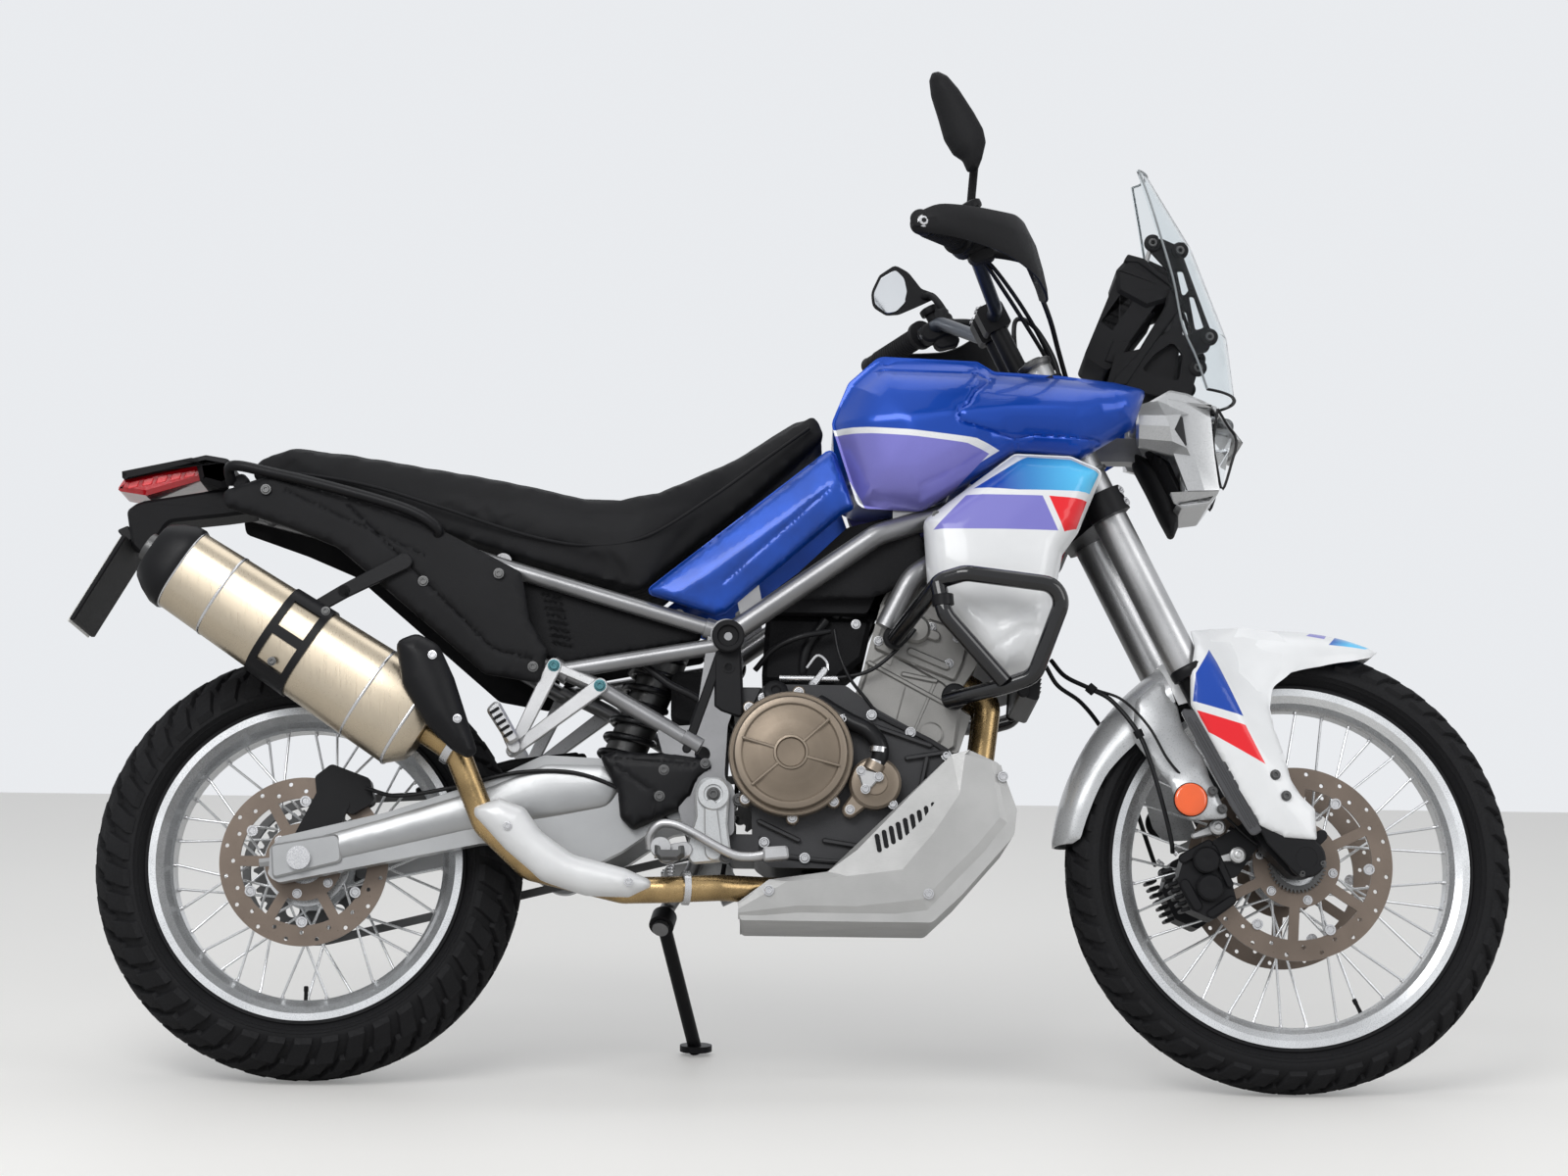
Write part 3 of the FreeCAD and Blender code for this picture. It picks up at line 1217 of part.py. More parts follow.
def mirrors():
    clamp = barRing("mirror_clamp", 0.12, 0.26, 18)
    perch = tube("mirror_stem", [(-6, -268, 1446), (16, -268, 1462), (46, -294, 1517), (58, -330, 1552)], 6, 20)
    head = slab("mirror_head", [
        (60, 1532, 8), (84, 1560, 14), (80, 1600, 30), (52, 1672, 20), (22, 1690, 10), (14, 1660, 20),
        (20, 1600, 30), (40, 1550, 14)
    ], -352, -322)
    leftClamp = mirrored(clamp)
    leftPerch = tube("left_stem", [(-6, 268, 1446), (16, 268, 1462), (16, 290, 1500), (6, 300, 1530)], 6, 20)
    leftHead = slab("left_head", [
        (8, 1506, 12), (12, 1545, 14), (0, 1580, 14), (-40, 1585, 20), (-62, 1550, 20), (-50, 1505, 20),
        (-20, 1492, 14)
    ], 296, 322)
    right = fused("right_mirror", [clamp, perch, head])
    left = fused("left_mirror", [leftClamp, leftPerch, leftHead])
    return joined("mirrorsShape", [right, left])


def frontCalipers():
    block = slab("front_caliper", [
        (-52, 455, 10), (-95, 455, 10), (-128, 420, 12), (-130, 372, 12), (-105, 342, 10), (-60, 350, 10),
        (-48, 400, 20)
    ], -98, -46)
    bracket = slab("caliper_bracket", [(8, 455, 2), (8, 412, 2), (-52, 380, 10), (-60, 450, 10)], -99, -88)
    slot = discSlot("front_caliper_slot", frontAxle, size("frontDiscRadius"), -size("frontDiscY"))
    whole = cut("caliper_side", fused("caliper_whole", [block, bracket]), slot)
    return joined("frontCalipersShape", pair(whole))


forkNode("triple_clamps", tripleClamps())
forkNode("fork_tubes", forkTubes())
forkNode("fork_legs", forkLegs())
forkNode("fork_guards", forkGuards())
forkNode("front_fender", frontFender())
forkNode("handlebar", handlebar())
forkNode("bar_grips", barGrips())
forkNode("bar_controls", barControls())
forkNode("handguards", handguards())
forkNode("mirrors", mirrors())
forkNode("front_calipers", frontCalipers())


# The side stand, swung down to the ground

def sideStand():
    turnUp = leanTurn.inverse()
    foot = turnUp.multVec(Vector(600, size("standFootY"), 6))
    toFoot = (foot - standPivot).normalize()
    eye = cylinder("stand_eye", standPivot - standAxis * 13, standPivot + standAxis * 13, 20)
    reach = standAxis * 20
    bore = cylinder("stand_bore", standPivot - reach, standPivot + reach, 8 + size("runningFit"))
    leg = cylinder("stand_leg", standPivot + toFoot * 12, foot, 11)
    pad = cylinder("stand_pad", (0, 0, -6), (0, 0, 4), 26)
    pad.Placement = Placement(foot, turnUp.Rotation)
    return fused("sideStandShape", [cut("bored_eye", eye, bore), leg, pad])


bikeNode("side_stand", sideStand())

doc.recompute()

# The origin goes to the middle of the whole bike's outline on the ground
box = FreeCAD.BoundBox()
for shape in nodes.values():
    box.add(shape.Shape.BoundBox)
toOrigin = Placement(Vector(-box.Center.x, -box.Center.y, 0), Rotation())
for shape in nodes.values():
    shape.Placement = toOrigin * shape.Placement
doc.recompute()

for item in doc.Objects:
    if "Invalid" in item.State or "Error" in item.State:
        raise RuntimeError(f"{item.Label} did not recompute: {item.State}")
for name, shape in nodes.items():
    if shape.Shape.isNull() or not shape.Shape.isValid():
        raise RuntimeError(f"{name} has no valid shape")

os.makedirs("parts", exist_ok=True)
for name, shape in nodes.items():
    shape.Shape.exportStep(f"parts/{name}.step")
    print(name, len(shape.Shape.Solids), round(shape.Shape.Volume / 1000))
print("box", box)
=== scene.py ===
import bpy, bmesh
import json, math, random
import numpy as np
from mathutils import Matrix, Vector, geometry


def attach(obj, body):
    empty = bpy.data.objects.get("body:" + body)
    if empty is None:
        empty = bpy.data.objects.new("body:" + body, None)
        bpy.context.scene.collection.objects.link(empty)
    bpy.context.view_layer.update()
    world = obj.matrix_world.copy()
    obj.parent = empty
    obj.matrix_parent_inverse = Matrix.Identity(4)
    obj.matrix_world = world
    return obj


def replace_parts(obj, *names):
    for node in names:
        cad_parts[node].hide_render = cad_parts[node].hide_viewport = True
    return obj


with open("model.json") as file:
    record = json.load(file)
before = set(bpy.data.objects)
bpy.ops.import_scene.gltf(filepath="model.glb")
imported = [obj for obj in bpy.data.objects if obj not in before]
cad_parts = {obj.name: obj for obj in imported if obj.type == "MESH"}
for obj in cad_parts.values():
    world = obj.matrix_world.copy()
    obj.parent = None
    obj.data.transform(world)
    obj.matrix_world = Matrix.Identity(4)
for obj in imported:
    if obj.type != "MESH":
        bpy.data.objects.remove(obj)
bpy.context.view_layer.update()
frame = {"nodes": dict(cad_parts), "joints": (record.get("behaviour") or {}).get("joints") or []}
nodes = frame["nodes"]
rad = math.radians
print("frame loaded:", len(nodes), "nodes")

# The bike's own upright frame (X forward from the rear axle, Y left, Z up) and the steered fork's frame
# (X square to the steering axis, Z along it), both placed as it leans on its stand
stance = {"lean": 12, "steer": 3.8, "rake": 26.7, "headX": 1.6383}
rearHub = Vector((0, 0, 0.33479))
frontHub = Vector((0.0565, 0, 0.363318))
leanTurn = Matrix.Rotation(-rad(stance["lean"]), 4, "X")
spinAt = [Vector(joint["pos_m"]) for joint in frame["joints"] if joint["name"] == "rear_wheel_spin"][0]
shift = spinAt - leanTurn @ rearHub
bikePlace = Matrix.Translation(shift) @ leanTurn
forkPlace = (bikePlace @ Matrix.Translation((stance["headX"], 0, 0)) @ Matrix.Rotation(-rad(stance["rake"]), 4, "Y")
             @ Matrix.Rotation(rad(stance["steer"]), 4, "Z"))
places = {"bike": bikePlace, "fork": forkPlace,
          "rear": bikePlace @ Matrix.Translation(rearHub), "front": forkPlace @ Matrix.Translation(frontHub)}
rides = {"bike": "chassis", "fork": "steering", "rear": "rear_wheel", "front": "front_wheel"}


# Nodes: links, math, mixes and textures, worked out from object coordinates
def nodeTree(name):
    mat = bpy.data.materials.new(name)
    mat.use_nodes = True
    tree = mat.node_tree
    return mat, tree, tree.nodes["Principled BSDF"]


def link(tree, source, target):
    tree.links.new(source, target)


def opaque(colour):
    return list(colour) + [1]


def shade(colour, factor):
    return [min(1, c * factor) for c in colour]


def mathNode(tree, operation, *values):
    # Each value is a socket or a plain number
    node = tree.nodes.new("ShaderNodeMath")
    node.operation = operation
    for socket, value in zip(node.inputs, values):
        if isinstance(value, (int, float)):
            socket.default_value = value
        else:
            link(tree, value, socket)
    return node.outputs["Value"]


def mixOf(tree, factor, under, over):
    # The colour laid over is a socket or a list of three values
    mix = tree.nodes.new("ShaderNodeMix")
    mix.data_type = "RGBA"
    link(tree, factor, mix.inputs["Factor"])
    link(tree, under, mix.inputs["A"])
    if isinstance(over, (list, tuple)):
        mix.inputs["B"].default_value = opaque(over)
    else:
        link(tree, over, mix.inputs["B"])
    return mix.outputs["Result"]


def noiseOf(tree, scale, detail=4, stretch=None, kind="ShaderNodeTexNoise"):
    coord = tree.nodes.new("ShaderNodeTexCoord")
    field = tree.nodes.new(kind)
    field.inputs["Scale"].default_value = scale
    if "Detail" in field.inputs:
        field.inputs["Detail"].default_value = detail
    spot = coord.outputs["Object"]
    if stretch:
        mapping = tree.nodes.new("ShaderNodeMapping")
        mapping.inputs["Scale"].default_value = stretch
        link(tree, spot, mapping.inputs["Vector"])
        spot = mapping.outputs["Vector"]
    link(tree, spot, field.inputs["Vector"])
    return field.outputs["Distance"] if kind == "ShaderNodeTexVoronoi" else field.outputs["Fac"]


def rampOf(tree, source, stops):
    ramp = tree.nodes.new("ShaderNodeValToRGB")
    for element, (place, colour) in zip(ramp.color_ramp.elements, (stops[0], stops[-1])):
        element.position, element.color = place, opaque(colour)
    link(tree, source, ramp.inputs["Fac"])
    return ramp.outputs["Color"]


def roughFrom(tree, shader, source, low, high):
    # Roughness from a grey ramp between two (position, value) stops
    stops = [(place, [value] * 3) for place, value in (low, high)]
    link(tree, rampOf(tree, source, stops), shader.inputs["Roughness"])


def bumpOf(tree, shader, source, strength, distance):
    bump = tree.nodes.new("ShaderNodeBump")
    bump.inputs["Strength"].default_value = strength
    bump.inputs["Distance"].default_value = distance
    link(tree, source, bump.inputs["Height"])
    link(tree, bump.outputs["Normal"], shader.inputs["Normal"])


# Camera, floor and light
studio = {"lens": 88, "spot": (0.72981, -5.87995, 1.05836), "pitch": -2.76, "roll": 0.74, "yaw": -0.034,
          "floorHalf": 4, "floorColour": (0.66, 0.65, 0.63), "floorLift": 0.2, "keyPower": 132, "fillPower": 44,
          "airLight": 0.38, "backdrop": 0.86}


def makeCamera(s):
    camera = bpy.data.objects.new("camera", bpy.data.cameras.new("camera"))
    bpy.context.scene.collection.objects.link(camera)
    camera.data.lens = s["lens"]
    camera.data.sensor_width = 36
    camera.data.clip_end = 60
    turn = Matrix.Rotation(rad(s["yaw"]), 4, "Z") @ Matrix.Rotation(rad(90 + s["pitch"]), 4, "X")
    camera.matrix_world = (Matrix.Translation(shift + Vector(s["spot"])) @ turn
                           @ Matrix.Rotation(rad(s["roll"]), 4, "Z"))
    bpy.context.scene.camera = camera


def makeFloor(s):
    mesh = bpy.data.meshes.new("floor")
    half = s["floorHalf"]
    mesh.from_pydata([(-half, -half, 0), (half, -half, 0), (half, half, 0), (-half, half, 0)], [], [(0, 1, 2, 3)])
    sheet = bpy.data.objects.new("floor", mesh)
    bpy.context.scene.collection.objects.link(sheet)
    mat, tree, shader = nodeTree("floor")
    shader.inputs["Roughness"].default_value = 0.55
    grain = tree.nodes.new("ShaderNodeTexNoise")
    grain.inputs["Scale"].default_value = 6
    grain.inputs["Detail"].default_value = 8
    colour = s["floorColour"]
    link(tree, rampOf(tree, grain.outputs["Fac"], [(0, [c * 0.94 for c in colour]), (1, colour)]),
         shader.inputs["Base Color"])
    rays = tree.nodes.new("ShaderNodeLightPath")
    shader.inputs["Emission Color"].default_value = (1, 1, 0.99, 1)
    link(tree, mathNode(tree, "MULTIPLY", rays.outputs["Is Camera Ray"], s["floorLift"]),
         shader.inputs["Emission Strength"])
    mesh.materials.append(mat)


def makeLamp(name, spot, target, power, size):
    light = bpy.data.lights.new(name, "AREA")
    light.shape = "RECTANGLE"
    light.size, light.size_y = size
    light.energy = power
    holder = bpy.data.objects.new(name, light)
    bpy.context.scene.collection.objects.link(holder)
    holder.location = spot
    holder.rotation_euler = (Vector(target) - Vector(spot)).to_track_quat("-Z", "Y").to_euler()


def makeAir(s):
    # The backdrop is bright where a ray sees it, and lights the bike less than that
    world = bpy.data.worlds.new("studioAir")
    world.use_nodes = True
    tree = world.node_tree
    air = tree.nodes["Background"]
    air.inputs["Color"].default_value = (0.95, 0.97, 1, 1)
    rays = tree.nodes.new("ShaderNodeLightPath")
    seen = rays.outputs["Is Camera Ray"]
    for kind in ("Is Glossy Ray", "Is Transmission Ray"):
        seen = mathNode(tree, "MAXIMUM", seen, rays.outputs[kind])
    level = tree.nodes.new("ShaderNodeMapRange")
    level.inputs["To Min"].default_value = s["airLight"]
    level.inputs["To Max"].default_value = s["backdrop"]
    link(tree, seen, level.inputs["Value"])
    link(tree, level.outputs["Result"], air.inputs["Strength"])
    bpy.context.scene.world = world
    bpy.context.scene.view_settings.view_transform = "Standard"


makeCamera(studio)
makeFloor(studio)
makeLamp("keyLamp", (-1.6, -3.6, 3.6), (0, 0, 0.6), studio["keyPower"], (3.0, 2.0))
makeLamp("sideLamp", (3.4, -2.6, 2.2), (0, 0, 0.7), studio["fillPower"], (2.0, 2.4))
makeLamp("topLamp", (0, 0.6, 4.2), (0, 0, 0.5), studio["fillPower"], (4.5, 2.5))
makeAir(studio)
print("studio ready")


# Materials: each is a node tree with its own grain
def finish(name, colour, rough=0.4, metal=0.0, coat=0.0, grain=400, depth=0.0002, vary=0.12, roughVary=0.1,
           stretch=None, cells=False, wear=0.0):
    mat, tree, shader = nodeTree(name)
    shader.inputs["Metallic"].default_value = metal
    shader.inputs["Specular IOR Level"].default_value = 0.16 if max(colour) < 0.03 else 0.4
    shader.inputs["Coat Weight"].default_value = coat
    shader.inputs["Coat Roughness"].default_value = 0.06
    fine = noiseOf(tree, grain, 3, stretch, "ShaderNodeTexVoronoi" if cells else "ShaderNodeTexNoise")
    broad = noiseOf(tree, 14, 5)
    tint = rampOf(tree, broad, [(0.3, shade(colour, 1 - vary)), (0.7, shade(colour, 1 + vary))])
    if wear:
        edges = tree.nodes.new("ShaderNodeNewGeometry")
        sharp = rampOf(tree, edges.outputs["Pointiness"], [(0.5, (0, 0, 0)), (0.58, (wear, wear, wear))])
        tint = mixOf(tree, sharp, tint, [min(1, c * 1.6 + 0.05) for c in colour])
    link(tree, tint, shader.inputs["Base Color"])
    roughFrom(tree, shader, fine, (0.25, max(0, rough - roughVary)), (0.75, min(1, rough + roughVary)))
    bumpOf(tree, shader, fine, 0.35, depth)
    return mat


# Each finish: colour, roughness, metal, coat, grain size, grain depth, and how far colour and roughness vary
finishes = {
    "frameGrey": ((0.23, 0.23, 0.235), 0.36, 0.8, 0.1, 900, 0.0001),
    "engineGrey": ((0.035, 0.035, 0.037), 0.45, 0.5, 0, 700, 0.0006),
    "taupeCast": ((0.185, 0.150, 0.115), 0.42, 0.8, 0, 600, 0.0003),
    "headCast": ((0.24, 0.235, 0.225), 0.5, 0.7, 0, 500, 0.0006),
    "blackSatin": ((0.007, 0.007, 0.008), 0.42, 0, 0, 900, 0.0002),
    "blackPlastic": ((0.008, 0.008, 0.009), 0.5, 0, 0, 1100, 0.0005),
    "blackGloss": ((0.006, 0.006, 0.007), 0.18, 0, 0.8, 300, 0.00005),
    "silverSatin": ((0.44, 0.44, 0.445), 0.34, 0.85, 0, 800, 0.0002),
    "silverPaint": ((0.52, 0.53, 0.535), 0.32, 0.6, 0.4, 1500, 0.0001),
    "rimSilver": ((0.66, 0.67, 0.68), 0.3, 0.85, 0.2, 900, 0.0001),
    "bluePaint": ((0.003, 0.055, 0.36), 0.26, 0.4, 0.35, 2500, 0.00008, 0.25),
    "whitePaint": ((0.80, 0.81, 0.82), 0.3, 0, 0.8, 300, 0.00003, 0.03),
    "goldPipe": ((0.36, 0.25, 0.12), 0.28, 0.95, 0, 300, 0.0001, 0.35),
    "brushedCan": ((0.50, 0.43, 0.33), 0.3, 0.95, 0, 160, 0.00004, 0.05, 0.05),
    "discSteel": ((0.17, 0.135, 0.11), 0.36, 0.7, 0, 500, 0.0001),
    "darkSteel": ((0.10, 0.10, 0.10), 0.4, 0.85, 0, 500, 0.0002),
    "brightSteel": ((0.55, 0.55, 0.56), 0.25, 0.95, 0, 500, 0.0001),
    "tyreRubber": ((0.010, 0.010, 0.011), 0.68, 0, 0, 260, 0.0006),
    "softRubber": ((0.008, 0.008, 0.009), 0.66, 0, 0, 800, 0.0003),
    "seatVinyl": ((0.009, 0.009, 0.010), 0.5, 0, 0, 900, 0.0006),
    "smoked": ((0.05, 0.05, 0.055), 0.2, 0, 0.6, 600, 0.0001),
    "barGrey": ((0.05, 0.058, 0.075), 0.35, 0.6, 0.1, 700, 0.0001),
    "redLens": ((0.50, 0.002, 0.010), 0.12, 0, 1.0, 200, 0.0001),
    "redGlow": ((0.80, 0.006, 0.015), 0.2, 0, 1.0, 200, 0.0001),
    "plateWhite": ((0.74, 0.74, 0.72), 0.4, 0, 0.3, 500, 0.00005, 0.04),
    "blackGrain": ((0.010, 0.010, 0.011), 0.62, 0, 0, 420, 0.0012),
    "railGrey": ((0.16, 0.16, 0.165), 0.4, 0.5, 0.1, 700, 0.0002),
    "hoseBlack": ((0.008, 0.008, 0.009), 0.45, 0, 0.1, 700, 0.0002),
    "mirrorGlass": ((0.80, 0.82, 0.84), 0.04, 1.0, 0, 60, 0.00001, 0.03, 0.02),
    "screenBlack": ((0.008, 0.009, 0.011), 0.08, 0, 1.0, 80, 0.00001),
    "hubBlack": ((0.010, 0.010, 0.011), 0.4, 0.3, 0.1, 600, 0.0003),
    "springBlack": ((0.02, 0.02, 0.022), 0.35, 0.4, 0.4, 400, 0.0001),
    "mudguardGrey": ((0.50, 0.51, 0.52), 0.32, 0.3, 0.4, 500, 0.0001, 0.08),
    "castSilver": ((0.45, 0.45, 0.45), 0.4, 0.85, 0, 500, 0.0004),
    "skidSilver": ((0.42, 0.42, 0.415), 0.5, 0.3, 0, 260, 0.0003, 0.08),
    "armSilver": ((0.34, 0.345, 0.35), 0.38, 0.6, 0.3, 900, 0.0001, 0.06),
    "noseSilver": ((0.46, 0.465, 0.47), 0.3, 0.6, 0.5, 1500, 0.0001, 0.05),
    "whiteMatt": ((0.66, 0.665, 0.67), 0.42, 0.15, 0.2, 700, 0.0001, 0.04),
    "boltBlue": ((0.06, 0.16, 0.18), 0.3, 0.8, 0, 300, 0.0001),
    "lampGlow": ((0.85, 0.87, 0.90), 0.15, 0.1, 1.0, 200, 0.0001, 0.05),
    "displayBlue": ((0.03, 0.07, 0.12), 0.2, 0, 1.0, 200, 0.00005),
    "screenTrim": ((0.22, 0.24, 0.25), 0.2, 0, 0.5, 300, 0.0001),
    "orangeLens": ((0.85, 0.11, 0.01), 0.2, 0, 1.0, 500, 0.0003),
}
finishExtras = {
    "taupeCast": {"wear": 0.5}, "blackPlastic": {"cells": True}, "bluePaint": {"cells": True},
    "brushedCan": {"stretch": (3, 3, 0.15)},
    "seatVinyl": {"cells": True}, "blackGrain": {"cells": True},
    "skidSilver": {"stretch": (0.5, 3, 3)},
}
skins = {name: finish(name, *values, **finishExtras.get(name, {})) for name, values in finishes.items()}


def clearSkin(name, colour, rough, thick):
    mat, tree, shader = nodeTree(name)
    shader.inputs["Base Color"].default_value = opaque(colour)
    shader.inputs["IOR"].default_value = 1.3 if thick else 1.1
    shader.inputs["Transmission Weight"].default_value = 1
    roughFrom(tree, shader, noiseOf(tree, 30), (0.3, rough), (0.8, rough + 0.05))
    return mat


for name, *values in (("clearScreen", (0.88, 0.91, 0.92), 0.02, False),
        ("clearLens", (0.92, 0.94, 0.95), 0.03, True)):
    skins[name] = clearSkin(name, *values)
print("materials ready:", len(skins))


# Mesh building. Coordinates are millimetres in the bike's or fork's own frame, scaled to metres in addMesh
def fullTurn(count):
    return [2 * math.pi * k / count for k in range(count)]


def ordered(loop):
    # The loop's points counter-clockwise
    area = sum(a.x * b.y - b.x * a.y for a, b in zip(loop, loop[1:] + loop[:1]))
    return loop[::-1] if area < 0 else loop


def insetPoint(loop, index, inset):
    side = (loop[(index + 1) % len(loop)] - loop[index - 1]).normalized()
    return loop[index] + Vector((-side.y, side.x)) * inset


def roundOutline(corners, step):
    # An outline of (x, z, radius) corners as a dense loop of points
    points = []
    count = len(corners)
    for index, corner in enumerate(corners):
        here = Vector(corner[:2])
        radius = corner[2] if len(corner) > 2 else 0    # the corners of a bar have none
        toBack = Vector(corners[index - 1][:2]) - here
        toNext = Vector(corners[(index + 1) % count][:2]) - here
        room = 0.45 * min(toBack.length, toNext.length)
        half = toBack.angle(toNext) / 2
        if radius <= 0 or half > rad(89):
            points.append(here)
            continue
        reach = min(radius / math.tan(half), room)
        radius = reach * math.tan(half)
        start = here + toBack.normalized() * reach
        end = here + toNext.normalized() * reach
        centre = here + (toBack.normalized() + toNext.normalized()).normalized() * (radius / math.sin(half))
        sweep = math.pi - 2 * half
        parts = max(2, round(sweep * radius / step))
        first, last = start - centre, end - centre
        turn = first.angle_signed(last)
        for part in range(parts + 1):
            angle = -turn * part / parts
            c, s = math.cos(angle), math.sin(angle)
            points.append(centre + Vector((first.x * c - first.y * s, first.x * s + first.y * c)))
    dense = []
    for index, point in enumerate(points):
        ahead = points[(index + 1) % len(points)]
        parts = max(1, round((ahead - point).length / (2.5 * step)))
        dense += [point.lerp(ahead, part / parts) for part in range(parts)]
    return dense


def addMesh(name, where, verts, faces, skin, smooth=True, sharp=40):
    name = name.replace(" ", "_")
    mesh = bpy.data.meshes.new(name)
    mesh.from_pydata([[c * 0.001 for c in v] for v in verts], [], faces)
    mesh.materials.append(skins[skin])
    work = bmesh.new()
    work.from_mesh(mesh)
    bmesh.ops.recalc_face_normals(work, faces=work.faces)
    for edge in work.edges:
        if len(edge.link_faces) == 2 and edge.calc_face_angle(0) > rad(sharp):
            edge.smooth = False
    work.to_mesh(mesh)
    work.free()
    mesh.polygons.foreach_set("use_smooth", [smooth] * len(mesh.polygons))
    piece = bpy.data.objects.new(name, mesh)
    bpy.context.scene.collection.objects.link(piece)
    piece.matrix_world = places[where]
    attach(piece, rides[where])
    return piece


def flipped(verts):
    return [(v[0], -v[1], v[2]) for v in verts]


def bothSides(name, where, verts, faces, skin, **options):
    right = addMesh(name, where, verts, faces, skin, **options)
    left = addMesh(name + "Left", where, flipped(verts), faces, skin, **options)
    return [right, left]


def inside(point, loop):
    crossed = False
    for a, b in zip(loop, loop[1:] + loop[:1]):
        if (a.y > point.y) != (b.y > point.y):
            if point.x < (b.x - a.x) * (point.y - a.y) / (b.y - a.y) + a.x:
                crossed = not crossed
    return crossed


def crownedPanel(p):
    # A panel outlined in side view: rounded rim, domed middle, grooves along its seams, folds along its creases
    step, edge, inner, outer, wall = p["step"], p["edge"], p["inner"], p["outer"], 3
    loop = ordered(roundOutline(p["outline"], step * 0.8))
    count = len(loop)
    start = np.array([[v.x, v.y] for v in loop])
    along = np.roll(start, -1, 0) - start
    length2 = np.maximum((along ** 2).sum(1), 1e-9)

    def rimDistance(x, z):
        offset = np.array((x, z)) - start
        share = np.clip((offset * along).sum(1) / length2, 0, 1)
        return float(np.sqrt(((offset - along * share[:, None]) ** 2).sum(1).min()))

    extra = []
    for share in (0.06, 0.2, 0.45, 0.8):
        for index in range(count):
            spot = insetPoint(loop, index, edge * share)
            if inside(spot, loop) and rimDistance(spot.x, spot.y) > 0.85 * edge * share:
                extra.append(spot)
    grooves = p.get("grooves", [])
    for line, width, _ in grooves:
        for a, b in zip(line, line[1:]):
            a, b = Vector(a), Vector(b)
            across = (b - a).normalized()
            across = Vector((-across.y, across.x))
            parts = max(2, round((b - a).length / step))
            for part in range(parts + 1):
                for sideways in (-1.6, -0.8, 0, 0.8, 1.6):
                    spot = a.lerp(b, part / parts) + across * width * sideways
                    if inside(spot, loop) and rimDistance(spot.x, spot.y) > 2:
                        extra.append(spot)
    low, high = start.min(0), start.max(0)
    row = 0
    z = low[1]
    while z < high[1]:
        x = low[0] + (step / 2 if row % 2 else 0)
        while x < high[0]:
            spot = Vector((x, z))
            if inside(spot, loop) and rimDistance(x, z) > max(step * 0.6, edge * 0.9):
                extra.append(spot)
            x += step
        z += step * 0.87
        row += 1
    points, _, faces, *_ = geometry.delaunay_2d_cdt(
        loop + extra, [(i, (i + 1) % count) for i in range(count)], [], 1, 0.4)
    side = -1 if outer < inner else 1
    verts = []
    for point in points:
        gap = rimDistance(point.x, point.y)
        t = min(1, gap / edge)
        y = inner + (outer - inner) * math.sqrt(1 - (1 - t) ** 2)
        y += side * p["dome"] * (1 - math.exp(-gap / p["domeReach"]))
        for (ax, az), (bx, bz), slope in p.get("folds", []):
            away = ((bx - ax) * (point.y - az) - (bz - az) * (point.x - ax)) / math.hypot(bx - ax, bz - az)
            y -= side * slope * max(0, away)
        for line, width, depth in grooves:
            near = min((point - closest(point, Vector(a), Vector(b))).length for a, b in zip(line, line[1:]))
            y -= side * depth * math.exp(-(near / width) ** 2)
        verts.append((point.x, min(y, inner) if side < 0 else max(y, inner), point.y))
    back = len(verts)
    lookup = {(round(v[0], 2), round(v[2], 2)): i for i, v in enumerate(verts)}
    rimIds = [lookup.get((round(point.x, 2), round(point.y, 2))) for point in loop]
    rimIds = [i for i in rimIds if i is not None]
    verts += [(verts[i][0], verts[i][1] - side * wall, verts[i][2]) for i in rimIds]
    faces = [tuple(f) for f in faces]
    faces += [(rimIds[i], rimIds[(i + 1) % len(rimIds)], back + (i + 1) % len(rimIds), back + i)
              for i in range(len(rimIds))]
    faces.append(tuple(back + i for i in range(len(rimIds))))
    return verts, faces


def closest(point, a, b):
    along = b - a
    share = max(0, min(1, (point - a).dot(along) / max(along.length_squared, 1e-9)))
    return a + along * share


def plate(outline, near, far, bevel=1.5, step=4):
    # A flat plate outlined in side view with chamfered rims, between two values of Y
    loop = ordered(roundOutline(outline, step))
    bevel = min(bevel, 0.45 * abs(far - near))
    direction = 1 if far > near else -1

    def ring(inset, y):
        spots = [insetPoint(loop, index, inset) for index in range(len(loop))]
        return [(spot.x, y, spot.y) for spot in spots]

    return skinRings([ring(bevel, near), ring(0, near + direction * bevel), ring(0, far - direction * bevel),
        ring(bevel, far)])


def skinRings(rings, caps=True):
    # One skin over rings with the same number of points
    verts = [v for ring in rings for v in ring]
    count = len(rings[0])
    faces = []
    for level in range(len(rings) - 1):
        for i in range(count):
            j = (i + 1) % count
            faces.append((level * count + i, level * count + j, (level + 1) * count + j, (level + 1) * count + i))
    if caps:
        faces.append(tuple(range(count)))
        faces.append(tuple((len(rings) - 1) * count + i for i in range(count)))
    return verts, faces


def smoothPath(points, parts):
    # Catmull-Rom curve through given points
    knots = [Vector(p) for p in points]
    knots = [knots[0] * 2 - knots[1]] + knots + [knots[-1] * 2 - knots[-2]]
    path = []
    for a, b, c, d in zip(knots, knots[1:], knots[2:], knots[3:]):
        for part in range(parts):
            t = part / parts
            path.append(0.5 * ((2 * b) + (c - a) * t + (2 * a - 5 * b + 4 * c - d) * t * t
                               + (3 * b - a - 3 * c + d) * t ** 3))
    path.append(knots[-2])
    return path


def hose(points, radius, parts=6, sides=12):
    rings = []
    path = smoothPath(points, parts)
    up = Vector((0, 0, 1))
    for index, spot in enumerate(path):
        along = (path[min(index + 1, len(path) - 1)] - path[max(index - 1, 0)]).normalized()
        if abs(along.dot(up)) > 0.95:
            up = Vector((1, 0, 0))
        across = along.cross(up).normalized()
        up = across.cross(along).normalized()
        rings.append([tuple(spot + (across * math.cos(a) + up * math.sin(a)) * radius) for a in fullTurn(sides)])
    return skinRings(rings)


